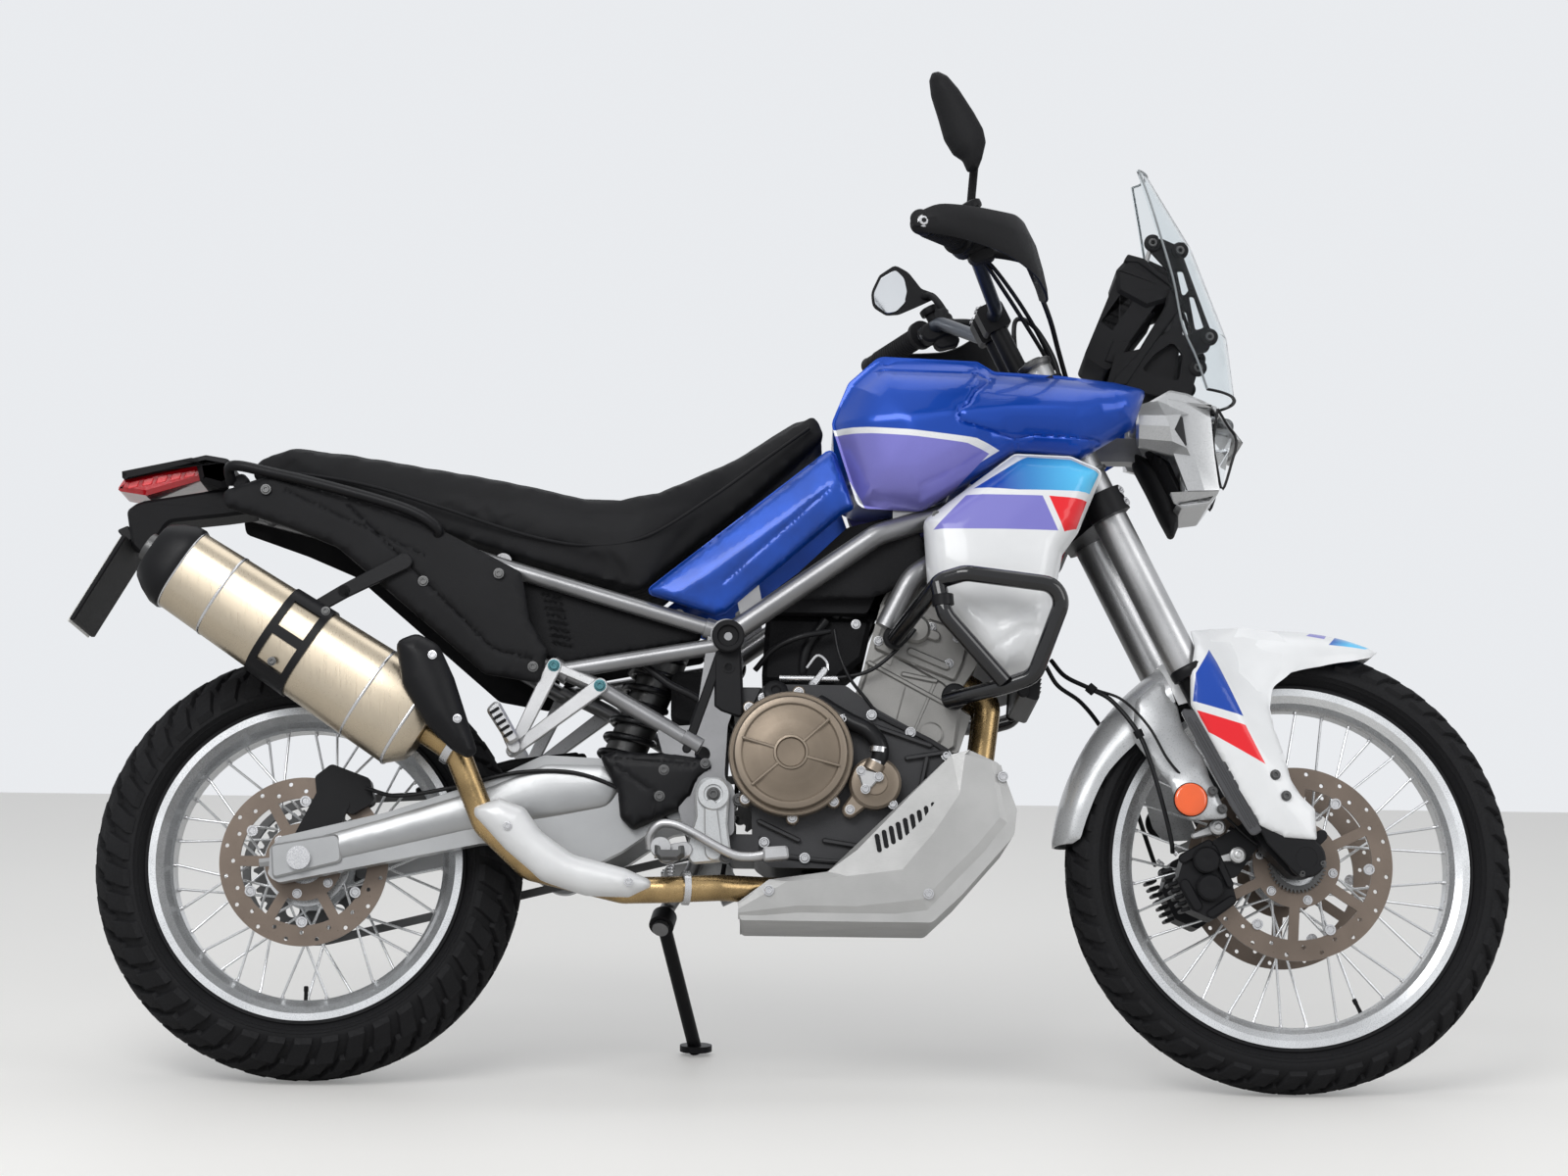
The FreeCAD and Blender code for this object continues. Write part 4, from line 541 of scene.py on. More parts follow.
def frameOf(axis):
    axis = Vector(axis).normalized()
    return axis.to_track_quat("Z", "Y").to_matrix().to_4x4()


def lathe(profile, centre, axis=(0, -1, 0), sides=40):
    # The profile is (distance along the axis, radius)
    turn = Matrix.Translation(Vector(centre)) @ frameOf(axis)
    rings = []
    for along, radius in profile:
        radius = max(radius, 0.01)
        rings.append([tuple(turn @ Vector((radius * math.cos(a), radius * math.sin(a), along)))
            for a in fullTurn(sides)])
    return skinRings(rings)


def merged(*parts):
    verts, faces = [], []
    for partVerts, partFaces in parts:
        base = len(verts)
        verts += list(partVerts)
        faces += [tuple(base + i for i in f) for f in partFaces]
    return verts, faces


def boltHead(centre, axis=(0, -1, 0), radius=6, height=4):
    # A round head with a hexagon recess, on a washer
    turn = Matrix.Translation(Vector(centre)) @ frameOf(axis)

    def ring(radius, along, hexed=False):
        points = []
        for a in fullTurn(18):
            size = radius
            if hexed:
                size = radius * math.cos(math.pi / 6) / math.cos((a % (math.pi / 3)) - math.pi / 6)
            points.append(tuple(turn @ Vector((size * math.cos(a), size * math.sin(a), along))))
        return points

    washer, thick = 1.35 * radius, 0.9
    return skinRings([ring(washer, 0), ring(washer, thick), ring(radius, 1.0), ring(radius, height * 0.75),
        ring(radius * 0.86, height), ring(radius * 0.58, height, True), ring(radius * 0.54, height * 0.35, True)])


def boltRow(name, where, spots, skin="brightSteel", radius=6, height=4, axis=(0, -1, 0), mirror=False):
    make = bothSides if mirror else addMesh
    make(name, where, *merged(*[boltHead(spot, axis, radius, height) for spot in spots]), skin, sharp=30)


# Tyres: a carcass with ribbed sidewalls, and rows of chamfered tread blocks round the crown
tyres = {
    "front": {
        "node": "front_tyre", "radius": 350, "crown": 50, "half": 46, "rim": 280.5, "bead": 28, "pitches": 46,
        "depth": 8,
        "rows": [(0, 9.5, 0, 0.62), (17, 7.5, 0.5, 0.58), (34, 9, 0.0, 0.6)],
    },
    "rear": {
        "node": "rear_tyre", "radius": 333, "crown": 80, "half": 75, "rim": 242.5, "bead": 56, "pitches": 42,
        "depth": 9,
        "rows": [(0, 13, 0, 0.66), (25, 10, 0.5, 0.6), (46, 10, 0.0, 0.62), (66, 10.5, 0.5, 0.6)],
    },
}


def makeTyre(where, t):
    deep, crown = t["depth"], t["crown"]
    base = t["radius"] - deep

    def surface(across):
        return base - crown + math.sqrt(max(0, crown ** 2 - across ** 2))

    shoulder = surface(t["half"])
    rim, bead, half = t["rim"], t["bead"], t["half"]
    profile = [(bead, rim - 13), (bead, rim), (bead + 2.5, rim + 1), (bead + 3, rim + 5), (bead + 1, rim + 7)]
    for share in (0.2, 0.35, 0.38, 0.41, 0.6, 0.63, 0.66, 0.85, 1):
        bulge = math.sin(share * math.pi * 0.62) / math.sin(math.pi * 0.62)
        across = bead + 1 + (half - bead - 1) * min(1.03, bulge)
        lift = 1.1 if share in (0.38, 0.63) else 0
        profile.append((across + lift, rim + 7 + (shoulder - rim - 7) * share))
    steps = 10
    for index in range(1, steps):
        across = half * (1 - index / steps)
        profile.append((across, surface(across)))
    mirrorSide = [(-across, radius) for across, radius in reversed(profile)]
    whole = profile + [(0, base)] + mirrorSide
    sides = t["pitches"] * 4
    rings = []
    for across, radius in whole:
        rings.append([(radius * math.cos(a), across, radius * math.sin(a)) for a in fullTurn(sides)])
    verts, faces = skinRings(rings, caps=False)
    pitch = 2 * math.pi / t["pitches"]
    jitter = random.Random(5)
    for across, halfWide, phase, share in t["rows"]:
        for sign in ((1,) if across == 0 else (-1, 1)):
            for index in range(t["pitches"]):
                middle = (index + phase) * pitch
                long = pitch * share / 2 * jitter.uniform(0.95, 1.05)
                skew = sign * 0.18 * pitch
                ring0, ring1, ring2 = [], [], []
                for u, v in ((-1, -1), (-0.3, -1.08), (0.3, -1.08), (1, -1), (1, 1), (0.3, 0.92), (-0.3, 0.92),
                        (-1, 1)):
                    y = sign * across + u * halfWide
                    y = max(-half - 1.5, min(half + 1.5, y))
                    angle = middle + v * long + skew * u * (0 if across == 0 else 1)
                    under = surface(min(half, abs(y)))
                    tilt = abs(y) / crown
                    top = t["radius"] - crown + math.sqrt(max(0, crown ** 2 - min(half, abs(y)) ** 2))
                    for ring, radius, inset in ((ring0, under - 2, 1.06), (ring1, top - 1.3, 1.0),
                            (ring2, top, 0.86)):
                        a = middle + (angle - middle) * inset
                        yy = sign * across + (y - sign * across) * inset + sign * 0.35 * tilt * (radius - under)
                        ring.append((radius * math.cos(a), yy, radius * math.sin(a)))
                blockVerts, blockFaces = skinRings([ring0, ring1, ring2])
                first = len(verts)
                verts += blockVerts
                faces += [tuple(first + i for i in f) for f in blockFaces if f != tuple(range(8))]
    tyre = addMesh(t["node"].replace("_", " ") + " tread", where, verts, faces, "tyreRubber", sharp=32)
    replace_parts(tyre, t["node"])


for where, sizes in tyres.items():
    makeTyre(where, sizes)
print("tyres ready")

# Spoke nipples and heads, valves, disc rivets and bolts
wheels = {
    "front": {"rim": 257, "rimHalf": 6.4, "hubHalf": 33, "flange": 49, "count": 36},
    "rear": {"rim": 219, "rimHalf": 12, "hubHalf": 41, "flange": 61, "count": 36},
}


def makeSpokeEnds(where, w):
    nipples, elbows = [], []
    for index in range(w["count"]):
        side = 1 if index % 2 else -1
        ahead = rad(38) if (index // 2) % 2 else -rad(38)
        lace = 3 if ahead > 0 else -3
        rimAngle = 2 * math.pi * index / w["count"]
        hubAngle = rimAngle + ahead
        outer = Vector((w["rim"] * math.cos(rimAngle), side * (w["rimHalf"] + 0.75 * lace),
            w["rim"] * math.sin(rimAngle)))
        inner = Vector((w["flange"] * math.cos(hubAngle), side * (w["hubHalf"] + lace),
            w["flange"] * math.sin(hubAngle)))
        inward = (inner - outer).normalized()
        nipples.append(lathe([(-6, 3.6), (0, 3.6), (2, 3.4), (12, 2.9), (14, 2.4)], outer, inward, 10))
        elbows.append(lathe([(0, 1.2), (0.8, 3.4), (2.2, 3.6), (3.4, 2)], inner - Vector((0, side * 1.5, 0)),
            (0, side, 0), 8))
    addMesh(where + " spoke nipples", where, *merged(*nipples), "brightSteel")
    addMesh(where + " spoke heads", where, *merged(*elbows), "brightSteel")
    valve = lathe([(0, 5), (3, 5), (4, 3.2), (22, 3), (23, 3.8), (30, 3.6), (31, 2)], (0, 0, -w["rim"] + 2),
        (0, 0, 1), 14)
    addMesh(where + " valve", where, *valve, "softRubber")


for where, sizes in wheels.items():
    makeSpokeEnds(where, sizes)


def discRivets(name, where, radius, y, count, reach):
    parts = []
    for index in range(count):
        a = 2 * math.pi * (index + 0.5) / count
        spot = (radius * math.cos(a), y, radius * math.sin(a))
        parts.append(lathe([(0, 8.5), (reach, 8.5), (reach, 6), (reach - 1.2, 5), (reach - 1.2, 0.1)], spot,
            (0, -1 if y < 0 else 1, 0), 16))
    addMesh(name, where, *merged(*parts), "brightSteel")


discRivets("right disc rivets", "front", 113, -69, 6, 5.2)
discRivets("left disc rivets", "front", 113, 69, 6, 5.2)
discRivets("rear disc rivets", "rear", 93, -80, 6, 5.0)
for where, name, y, reach in (("front", "right disc bolts", -71, 58), ("front", "left disc bolts", 71, 58),
                              ("rear", "rear disc bolts", -82, 50)):
    spots = [(reach * math.cos(a), y, reach * math.sin(a)) for a in (rad(60 * k + 20) for k in range(6))]
    boltRow(name, where, spots, "brightSteel", 5.5, 3.6, (0, -1 if y < 0 else 1, 0))

# The slotted ring beside the front hub that the wheel sensor reads
toothRing = {"reach": 46, "teeth": 44, "deep": 5, "y": -75.2, "thick": 2}


def makeToothRing(r):
    rings = []
    for y in (r["y"], r["y"] - r["thick"]):
        for radius in (r["reach"] - 12, r["reach"]):
            ring = []
            for k, a in enumerate(fullTurn(r["teeth"] * 4)):
                size = radius - (r["deep"] if k % 4 > 1 and radius > r["reach"] - 1 else 0)
                ring.append((size * math.cos(a), y, size * math.sin(a)))
            rings.append(ring)
    verts, faces = skinRings([rings[0], rings[1], rings[3], rings[2], rings[0]], caps=False)
    addMesh("sensor ring", "front", verts, faces, "darkSteel", smooth=False)


makeToothRing(toothRing)
print("wheel details ready")

# Painted zones: each colour field is a convex polygon in side view, cut out by its edges
livery = {"blue": (0.003, 0.055, 0.38), "sky": (0.10, 0.55, 0.90), "lavender": (0.20, 0.19, 0.56),
          "red": (0.80, 0.012, 0.02), "white": (0.78, 0.79, 0.80)}


def alongLine(tree, spot, direction, offset):
    # How far each spot lies along a direction in side view, less an offset
    dot = tree.nodes.new("ShaderNodeVectorMath")
    dot.operation = "DOT_PRODUCT"
    dot.inputs[1].default_value = direction
    link(tree, spot, dot.inputs[0])
    return mathNode(tree, "SUBTRACT", dot.outputs["Value"], offset)


def zonePaint(name, base, zones, rough=0.26, coat=0.4, metal=0.0):
    mat, tree, shader = nodeTree(name)
    shader.inputs["Coat Weight"].default_value = coat
    shader.inputs["Coat Roughness"].default_value = 0.04
    shader.inputs["Metallic"].default_value = metal
    shader.inputs["Specular IOR Level"].default_value = 0.25
    colour = rampOf(tree, noiseOf(tree, 9, 4), [(0.3, shade(livery[base], 0.93)), (0.7, shade(livery[base], 1.04))])
    spot = tree.nodes.new("ShaderNodeTexCoord").outputs["Object"]
    for zone in zones:
        corners = ordered([Vector((x * 0.001, z * 0.001)) for x, z in zone["shape"]])
        mask = None
        for a, b in zip(corners, corners[1:] + corners[:1]):
            side = (b - a).normalized()
            past = alongLine(tree, spot, (-side.y, 0, side.x), -side.y * a.x + side.x * a.y)
            mask = past if mask is None else mathNode(tree, "MINIMUM", mask, past)
        sharp = tree.nodes.new("ShaderNodeMapRange")
        sharp.inputs["From Min"].default_value = -0.0004
        sharp.inputs["From Max"].default_value = 0.0004
        link(tree, mask, sharp.inputs["Value"])
        field = livery[zone["colour"]]
        if "fade" in zone:
            start, end, other = zone["fade"]
            line = Vector(((end[0] - start[0]) * 0.001, (end[1] - start[1]) * 0.001))
            before = (line.x * start[0] + line.y * start[1]) * 0.001 / line.length_squared
            place = alongLine(tree, spot, (line.x / line.length_squared, 0, line.y / line.length_squared), before)
            field = rampOf(tree, place, [(0, field), (1, livery[other])])
        colour = mixOf(tree, sharp.outputs["Result"], colour, field)
    link(tree, colour, shader.inputs["Base Color"])
    grain = noiseOf(tree, 1800, 2, kind="ShaderNodeTexVoronoi")
    roughFrom(tree, shader, grain, (0.2, rough - 0.06), (0.8, rough + 0.08))
    bumpOf(tree, shader, grain, 0.12, 0.00006)
    return mat


skins["tankBlue"] = zonePaint("tankBlue", "blue", [
    {"shape": [(800, 905), (900, 868), (1062, 972), (1026, 986), (800, 1009)], "colour": "white"},
    {"shape": [(860, 880), (940, 860), (1046, 966), (1012, 978), (800, 1000), (800, 985)], "colour": "lavender"},
], 0.24, 0.35, 0.35)
whiteZones = {
    "shroudPaint": [
        {"shape": [(1022, 910), (1105, 962), (1172, 958), (1215, 938), (1200, 905), (1090, 905)],
         "colour": "blue", "fade": ((1060, 930), (1190, 950), "sky")},
        {"shape": [(960, 842), (1150, 842), (1126, 896), (1010, 898)], "colour": "lavender"},
        {"shape": [(1160, 842), (1180, 850), (1196, 893), (1136, 896)], "colour": "red"},
    ],
    "fenderPaint": [
        {"shape": [(241, 676), (260, 679), (281, 666), (264, 659)], "colour": "lavender"},
        {"shape": [(263, 647), (288, 656), (338, 613), (315, 617)],
         "colour": "blue", "fade": ((280, 655), (290, 630), "sky")},
    ],
    "wingPaint": [
        {"shape": [(32, 690), (74, 716), (68, 599), (8, 653)], "colour": "blue"},
        {"shape": [(7, 638), (64, 585), (64, 518), (8, 600)], "colour": "red"},
    ],
}
for name, zones in whiteZones.items():
    skins[name] = zonePaint(name, "white", zones)
print("paints ready:", len(whiteZones) + 1)

# Tank side panels with their seams, the lower panels under the seat's nose and the white shrouds
panels = {
    "tank side": {
        "outline": [(803, 1018, 20), (829, 1083, 18), (876, 1126, 25), (1029, 1120, 14), (1056, 1104, 14),
            (1158, 1099, 40), (1243, 1089, 30), (1292, 1078, 8), (1272, 1018, 10), (1188, 966, 15), (1085, 972, 20),
            (945, 882, 25), (846, 886, 20)],
        "inner": -150.3, "outer": -205, "edge": 62, "dome": 24, "domeReach": 60, "step": 9,
        "grooves": [([(878, 1101), (1029, 1096), (1047, 1084), (1022, 1060), (1014, 1042), (997, 1029),
            (1000, 1011), (1085, 989), (1115, 995), (1216, 990)], 2.4, 4.5)],
        "folds": [((830, 1010), (1290, 1052), 0.38), ((980, 890), (880, 1090), 0.22)],
        "skin": "tankBlue", "node": "tank_panels",
    },
    "lower side": {
        "outline": [(806, 983, 10), (516, 750, 8), (629, 715, 12), (644, 720, 8), (824, 878, 20), (842, 884, 8)],
        "inner": -150.3, "outer": -172, "edge": 9, "dome": 4, "domeReach": 60, "step": 8,
        "grooves": [([(640, 765), (800, 912)], 3, 2)],
        "folds": [((570, 745), (836, 940), 0.30), ((836, 940), (570, 745), 0.12)],
        "skin": "bluePaint", "node": "lower_panels",
    },
    "shroud": {
        "outline": [(946, 864, 15), (1086, 971, 15), (1173, 968, 15), (1224, 946, 12), (1184, 848, 20),
            (1160, 813, 12), (1152, 769, 20), (1141, 671, 20), (1113, 630, 22), (1069, 618, 20), (1038, 642, 20),
            (969, 730, 25), (953, 765, 25)],
        "inner": -170, "outer": -228, "edge": 30, "dome": 16, "domeReach": 70, "step": 9,
        "grooves": [([(975, 742), (1060, 700), (1140, 735)], 9, 5),
            ([(1040, 650), (1095, 690), (1128, 690)], 6, 3)],
        "folds": [((960, 800), (1180, 770), 0.12)],
        "skin": "shroudPaint", "node": "shrouds",
    },
}
for name, panel in panels.items():
    pieces = bothSides(name + " panel", "bike", *crownedPanel(panel), panel["skin"], sharp=50)
    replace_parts(pieces[0], panel["node"])
    print(name, "ready:", len(pieces[0].data.polygons), "faces")
boltRow("panel screws", "bike", [(965, -199, 868), (1268, -165, 1040)], "darkSteel", 5, 2.5, mirror=True)

# The seat: the solid's form filled out as a soft cushion, with piping along its sides
seatSizes = {"voxel": 0.0075, "smooth": 6, "pressure": 4, "frames": 20, "cap": 0.006, "piping": 2.6}


def makeSeat(s):
    source = nodes["seat"]
    mesh = source.data.copy()
    mesh.transform(source.matrix_world)
    cushion = bpy.data.objects.new("seat_cushion", mesh)
    bpy.context.scene.collection.objects.link(cushion)
    bpy.context.view_layer.objects.active = cushion

    def apply(kind, **options):
        modifier = cushion.modifiers.new(kind, kind)
        for key, value in options.items():
            setattr(modifier, key, value)
        with bpy.context.temp_override(object=cushion, active_object=cushion):
            bpy.ops.object.modifier_apply(modifier=modifier.name)

    apply("REMESH", mode="VOXEL", voxel_size=s["voxel"])
    apply("SMOOTH", factor=0.5, iterations=s["smooth"])
    rest = np.array([v.co for v in cushion.data.vertices])
    cloth = cushion.modifiers.new("fill", "CLOTH")
    cloth.settings.use_pressure = True
    cloth.settings.uniform_pressure_force = s["pressure"]
    cloth.settings.effector_weights.gravity = 0
    cloth.settings.tension_stiffness = 40
    cloth.settings.quality = 3
    cloth.point_cache.frame_end = s["frames"]
    scene = bpy.context.scene
    for step in range(1, s["frames"] + 1):
        scene.frame_set(step)
    with bpy.context.temp_override(object=cushion, active_object=cushion):
        bpy.ops.object.modifier_apply(modifier="fill")
    scene.frame_set(1)
    moved = np.array([v.co for v in cushion.data.vertices]) - rest
    reach = np.maximum(np.linalg.norm(moved, axis=1, keepdims=True), 1e-9)
    capped = rest + moved * np.minimum(1, s["cap"] / reach)
    cushion.data.vertices.foreach_set("co", capped.ravel())
    apply("SUBSURF", levels=1)
    cushion.data.polygons.foreach_set("use_smooth", [True] * len(cushion.data.polygons))
    cushion.data.materials.clear()
    cushion.data.materials.append(skins["seatVinyl"])
    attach(cushion, "chassis")
    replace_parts(cushion, "seat")


makeSeat(seatSizes)
seam = [(-92, -84, 941), (-20, -100, 938), (90, -128, 915), (200, -146, 880), (330, -153, 838), (430, -152, 822),
        (520, -149, 838), (620, -128, 905), (700, -110, 968), (770, -98, 1022)]
bothSides("seat piping", "bike", *hose(seam, seatSizes["piping"], 8, 8), "softRubber")
print("seat ready")

# Black side covers: the tail cover, the textured panel in the frame triangle with its vents, and their screws
covers = {
    "tail cover": {
        "outline": [(-140, 905, 10), (-60, 932, 10), (56, 896, 20), (212, 838, 20), (330, 776, 10), (345, 700, 10),
            (374, 655, 12), (362, 604, 8), (277, 618, 20), (44, 815, 40), (-35, 847, 20), (-135, 880, 10)],
        "inner": 0, "outer": -9, "edge": 9, "dome": 3, "domeReach": 40, "step": 10,
        "grooves": [([(60, 880), (290, 655), (350, 640)], 2.2, 3), ([(-40, 905), (180, 800)], 2, 2)],
        "folds": [((-100, 860), (340, 690), 0.06)],
    },
    "triangle panel": {
        "outline": [(320, 777, 6), (480, 728, 6), (606, 692, 8), (606, 680, 6), (390, 638, 8), (340, 668, 10)],
        "inner": -128, "outer": -134, "edge": 6, "dome": 2, "domeReach": 30, "step": 8,
        "grooves": [([(362 + 2.6 * k, 748 - 11 * k), (388 + 2.6 * k, 743 - 11 * k)], 2.6, 4.5) for k in range(8)],
    },
}


def coverSurface(x):
    # How far out the tail cover lies at each x
    return float(np.interp(x, (-150, 100, 400), (-121, -153, -175)))


verts, faces = crownedPanel(covers["tail cover"])
verts = [(x, y + coverSurface(x), z) for x, y, z in verts]
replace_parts(bothSides("tail cover", "bike", verts, faces, "blackPlastic", sharp=50)[0], "side_covers")
bothSides("triangle panel", "bike", *crownedPanel(covers["triangle panel"]), "blackGrain", sharp=50)
coverScrews = [(352, 11, 628), (296, 12, 772), (-70, 12, 905), (180, 12, 760)]
boltRow("cover screws", "bike", [(x, coverSurface(x) - out, z) for x, out, z in coverScrews], "darkSteel", 6, 3,
        mirror=True)

# Grab rails: a bent bar on each side of the seat with two feet
railRun = [(-128, 104, 918), (-126, 128, 944), (-60, 141, 931), (40, 160, 905), (150, 170, 872), (196, 169, 846),
           (200, 158, 832)]
for side, sideName in ((-1, "left"), (1, "right")):
    run = [(x, side * y, z) for x, y, z in railRun]
    rail = addMesh(sideName + " grab rail", "bike", *hose(run, 8.5, 8, 14), "blackSatin")
    if side == -1:
        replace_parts(rail, "grab_rails")
    feet = merged(lathe([(0, 13), (10, 13), (12, 11)], (-112, side * 104, 920), (-0.3, side, 0.3), 20),
        lathe([(0, 12), (12, 12), (14, 10)], (199, side * 150, 833), (0, side, 0.2), 20))
    addMesh(sideName + " grab rail feet", "bike", *feet, "blackPlastic")

# Tail lamp: red lens over a row of lit blocks, black hood, and the plate holder with its lamp
tailSizes = {
    "lens": [(-318, 918, 4), (-307, 936, 6), (-190, 966, 8), (-176, 940, 8), (-270, 911, 8)],
    "hood": [(-312, 934, 4), (-300, 943, 6), (-177, 974, 8), (-140, 968, 10), (-126, 930, 12), (-150, 921, 8),
        (-184, 930, 6), (-192, 960, 6)],
}
tailLens = addMesh("tail lens", "bike", *plate(tailSizes["lens"], -52, 52, 7), "redLens")
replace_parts(tailLens, "tail_light")
addMesh("tail hood", "bike", *plate(tailSizes["hood"], -70, 70, 9), "blackPlastic")
lit = [plate([(x + 22 * k, z + 4.6 * k, 2) for x, z in ((-300, 919), (-296, 931), (-280, 935), (-284, 923))], -53.4,
    53.4, 1) for k in range(5)]
addMesh("tail lamp cells", "bike", *merged(*lit), "redGlow")
holder = {
    "arm": [(-292, 832, 6), (-302, 888, 10), (-288, 899, 6), (-275, 904, 2), (-150, 925, 4), (-104, 913, 2),
            (-104, 887, 2), (-150, 880, 10), (-235, 870, 20), (-272, 812, 6)],
    "board": [(-298, 841, 3), (-291, 837, 2), (-367, 705, 2), (-376, 705, 3)],
    "plate": [(-302, 838, 1), (-299.5, 837, 1), (-376.5, 703, 1), (-379, 704.5, 1)],
}
arm = addMesh("plate arm", "bike", *plate(holder["arm"], -40, 40, 5), "blackPlastic")
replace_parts(arm, "plate_holder")
addMesh("plate board", "bike", *plate(holder["board"], -92, 92, 2), "blackPlastic")
addMesh("blank plate", "bike", *plate(holder["plate"], -88, 88, 0.6), "plateWhite")
boltRow("plate screws", "bike", [(-341.5, y, 771) for y in (-60, 60)], "brightSteel", 4, 2, (-0.87, 0, 0.5))
addMesh("plate lamp", "bike", *plate([(-318, 858, 3), (-300, 866, 3), (-290, 846, 3), (-300, 838, 3)], -30, 30, 2),
        "blackSatin")
print("tail ready")


# A bar with round ends in side view, as the brackets are
def bar(a, b, radiusA, radiusB, near, far, bevel=1.5):
    along = (Vector(b) - Vector(a)).normalized()
    start = math.atan2(along.y, along.x)
    tilt = math.acos(max(-1, min(1, (radiusA - radiusB) / (Vector(b) - Vector(a)).length)))
    outline = []
    for centre, radius, first, last in ((a, radiusA, start + tilt, start + 2 * math.pi - tilt),
                                        (b, radiusB, start - tilt, start + tilt)):
        for part in range(9):
            angle = first + (last - first) * part / 8
            outline.append((centre[0] + radius * math.cos(angle), centre[1] + radius * math.sin(angle)))
    return plate(outline, near, far, bevel)


# Exhaust: can with welded seams, strap, black guards and the painted pipe shield
exhaust = {
    "foot": (155, -190, 550), "run": (-343, 0, 221),
    "guard": {
        "outline": [(148, 655, 14), (180, 668, 20), (214, 650, 30), (238, 600, 30), (262, 530, 24), (276, 488, 8),
            (262, 478, 8), (236, 492, 14), (196, 530, 30), (160, 590, 30)],
        "inner": -248, "outer": -266, "edge": 26, "dome": 6, "domeReach": 30, "step": 8,
        "folds": [((170, 660), (262, 480), 0.12)],
    },
    "shield": {
        "outline": [(268, 410, 8), (308, 424, 8), (346, 410, 16), (372, 374, 30), (420, 340, 40), (500, 320, 30),
            (538, 303, 10), (540, 292, 8), (506, 276, 14), (440, 278, 40), (372, 300, 40), (318, 345, 40),
            (270, 396, 12)],
        "inner": -203, "outer": -224, "edge": 22, "dome": 5, "domeReach": 25, "step": 8,
    },
    "power": 2.7, "welds": (-15, 60, 330, 404),
}
canFoot = Vector(exhaust["foot"])
canRun = Vector(exhaust["run"]).normalized()
canOut = Vector((0, 1, 0))
canUp = canOut.cross(canRun).normalized()


def canOval(along, high, wide, count=48):
    # One rounded upright oblong across the can
    power = exhaust["power"]
    points = []
    for a in fullTurn(count):
        c, s = math.cos(a), math.sin(a)
        reach = (abs(c) ** power + abs(s) ** power) ** (-1 / power)
        spot = canFoot + canRun * along + canUp * (reach * s * high / 2) + canOut * (reach * c * wide / 2)
        points.append(tuple(spot))
    return points


def canPart(name, stations, skin):
    return addMesh(name, "bike", *skinRings([canOval(*station) for station in stations]), skin, sharp=30)


can = canPart("muffler can", [(-44, 92, 76), (-40, 110, 84), (-18, 150, 104), (-12, 154, 106), (60, 151.3, 105.7),
    (200, 143, 105), (330, 135, 104.5), (407, 130, 104)], "brushedCan")
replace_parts(can, "muffler")
for index, along in enumerate(exhaust["welds"]):
    share = (along + 15) / 423    # along the taper of the can
    high, wide = 154 - 24 * share, 106 - 2 * share
    bead = ((-2.5, 0), (-1.6, 2), (0, 3), (1.6, 2), (2.5, 0))
    canPart("can weld" + str(index), [(along + off, high + lift, wide + lift) for off, lift in bead], "brightSteel")
endCap = canPart("muffler end cap", [(404, 134, 107), (408, 138, 110), (420, 136, 109), (440, 118, 96),
    (456, 96, 80), (459, 88, 74), (459, 60, 50), (452, 54, 46)], "blackSatin")
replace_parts(endCap, "muffler_cap")
outlet = lathe([(446, 23), (470, 23), (472, 22), (472, 19), (450, 18.5), (449, 1)], canFoot, canRun, 32)
addMesh("muffler outlet", "bike", *outlet, "darkSteel")
guard = addMesh("muffler guard", "bike", *crownedPanel(exhaust["guard"]), "blackSatin", sharp=60)
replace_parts(guard, "muffler_shield")
shield = addMesh("pipe guard", "bike", *crownedPanel(exhaust["shield"]), "whiteMatt", sharp=60)
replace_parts(shield, "pipe_shield")
boltRow("exhaust screws", "bike", [(322, -229, 380), (506, -229, 298), (206, -268, 632), (246, -268, 536)],
        "brightSteel", 5, 3)
clamps = merged(lathe([(-7, 24), (-6, 26), (6, 26), (7, 24)], (232, -190, 500), (-0.84, 0, 0.54), 28),
    lathe([(-6, 24), (-5, 26), (5, 26), (6, 24)], (590, -176, 294), (1, 0.2, 0), 28))
addMesh("pipe clamps", "bike", *clamps, "brightSteel")
boltRow("strap bolts", "bike", [(41, -246, 700), (-38, -246, 622)], "darkSteel", 5, 3)
front = canPart("muffler strap", [(168, 147, 108), (168, 152, 112.5), (180, 151, 112.5), (180, 146, 108)],
    "blackSatin")
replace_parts(front, "muffler_strap")
canPart("strap rear band", [(226, 143, 108), (226, 148, 112.5), (238, 147, 112.5), (238, 142, 108)], "blackSatin")
# Between the two bands the strap runs on, but for two windows on the outer side
parts = 240
lower, upper = canOval(178, 146, 107.6, parts), canOval(228, 143, 107.6, parts)
lowerOut, upperOut = canOval(178, 151.3, 112.5, parts), canOval(228, 147.6, 112.5, parts)
middle = canFoot + canRun * 203
patches, current = [], []
for k in range(parts + 1):
    spot = Vector(lower[k % parts]).lerp(Vector(upper[k % parts]), 0.5) - middle
    inWindow = spot.y < -30 and 8 < abs(spot.dot(canUp)) < 50
    if not inWindow and k < parts:
        current.append([lower[k], lowerOut[k], upperOut[k], upper[k]])
    elif current:
        patches.append(skinRings(current))
        current = []
addMesh("strap straps", "bike", *merged(*patches), "blackSatin", sharp=30)
hanger = merged(bar((60, 742), (150, 790), 11, 13, -176, -170), bar((-30, 688), (60, 742), 9, 11, -176, -170))
addMesh("muffler hanger", "bike", *hanger, "blackSatin")
print("exhaust ready")

# Foot controls: the passenger's V bracket and folding peg, the rider's serrated peg, plate and brake pedal
pegs = {"pegEnd": (322, 500), "eyes": ((383, 632), (454, 602))}


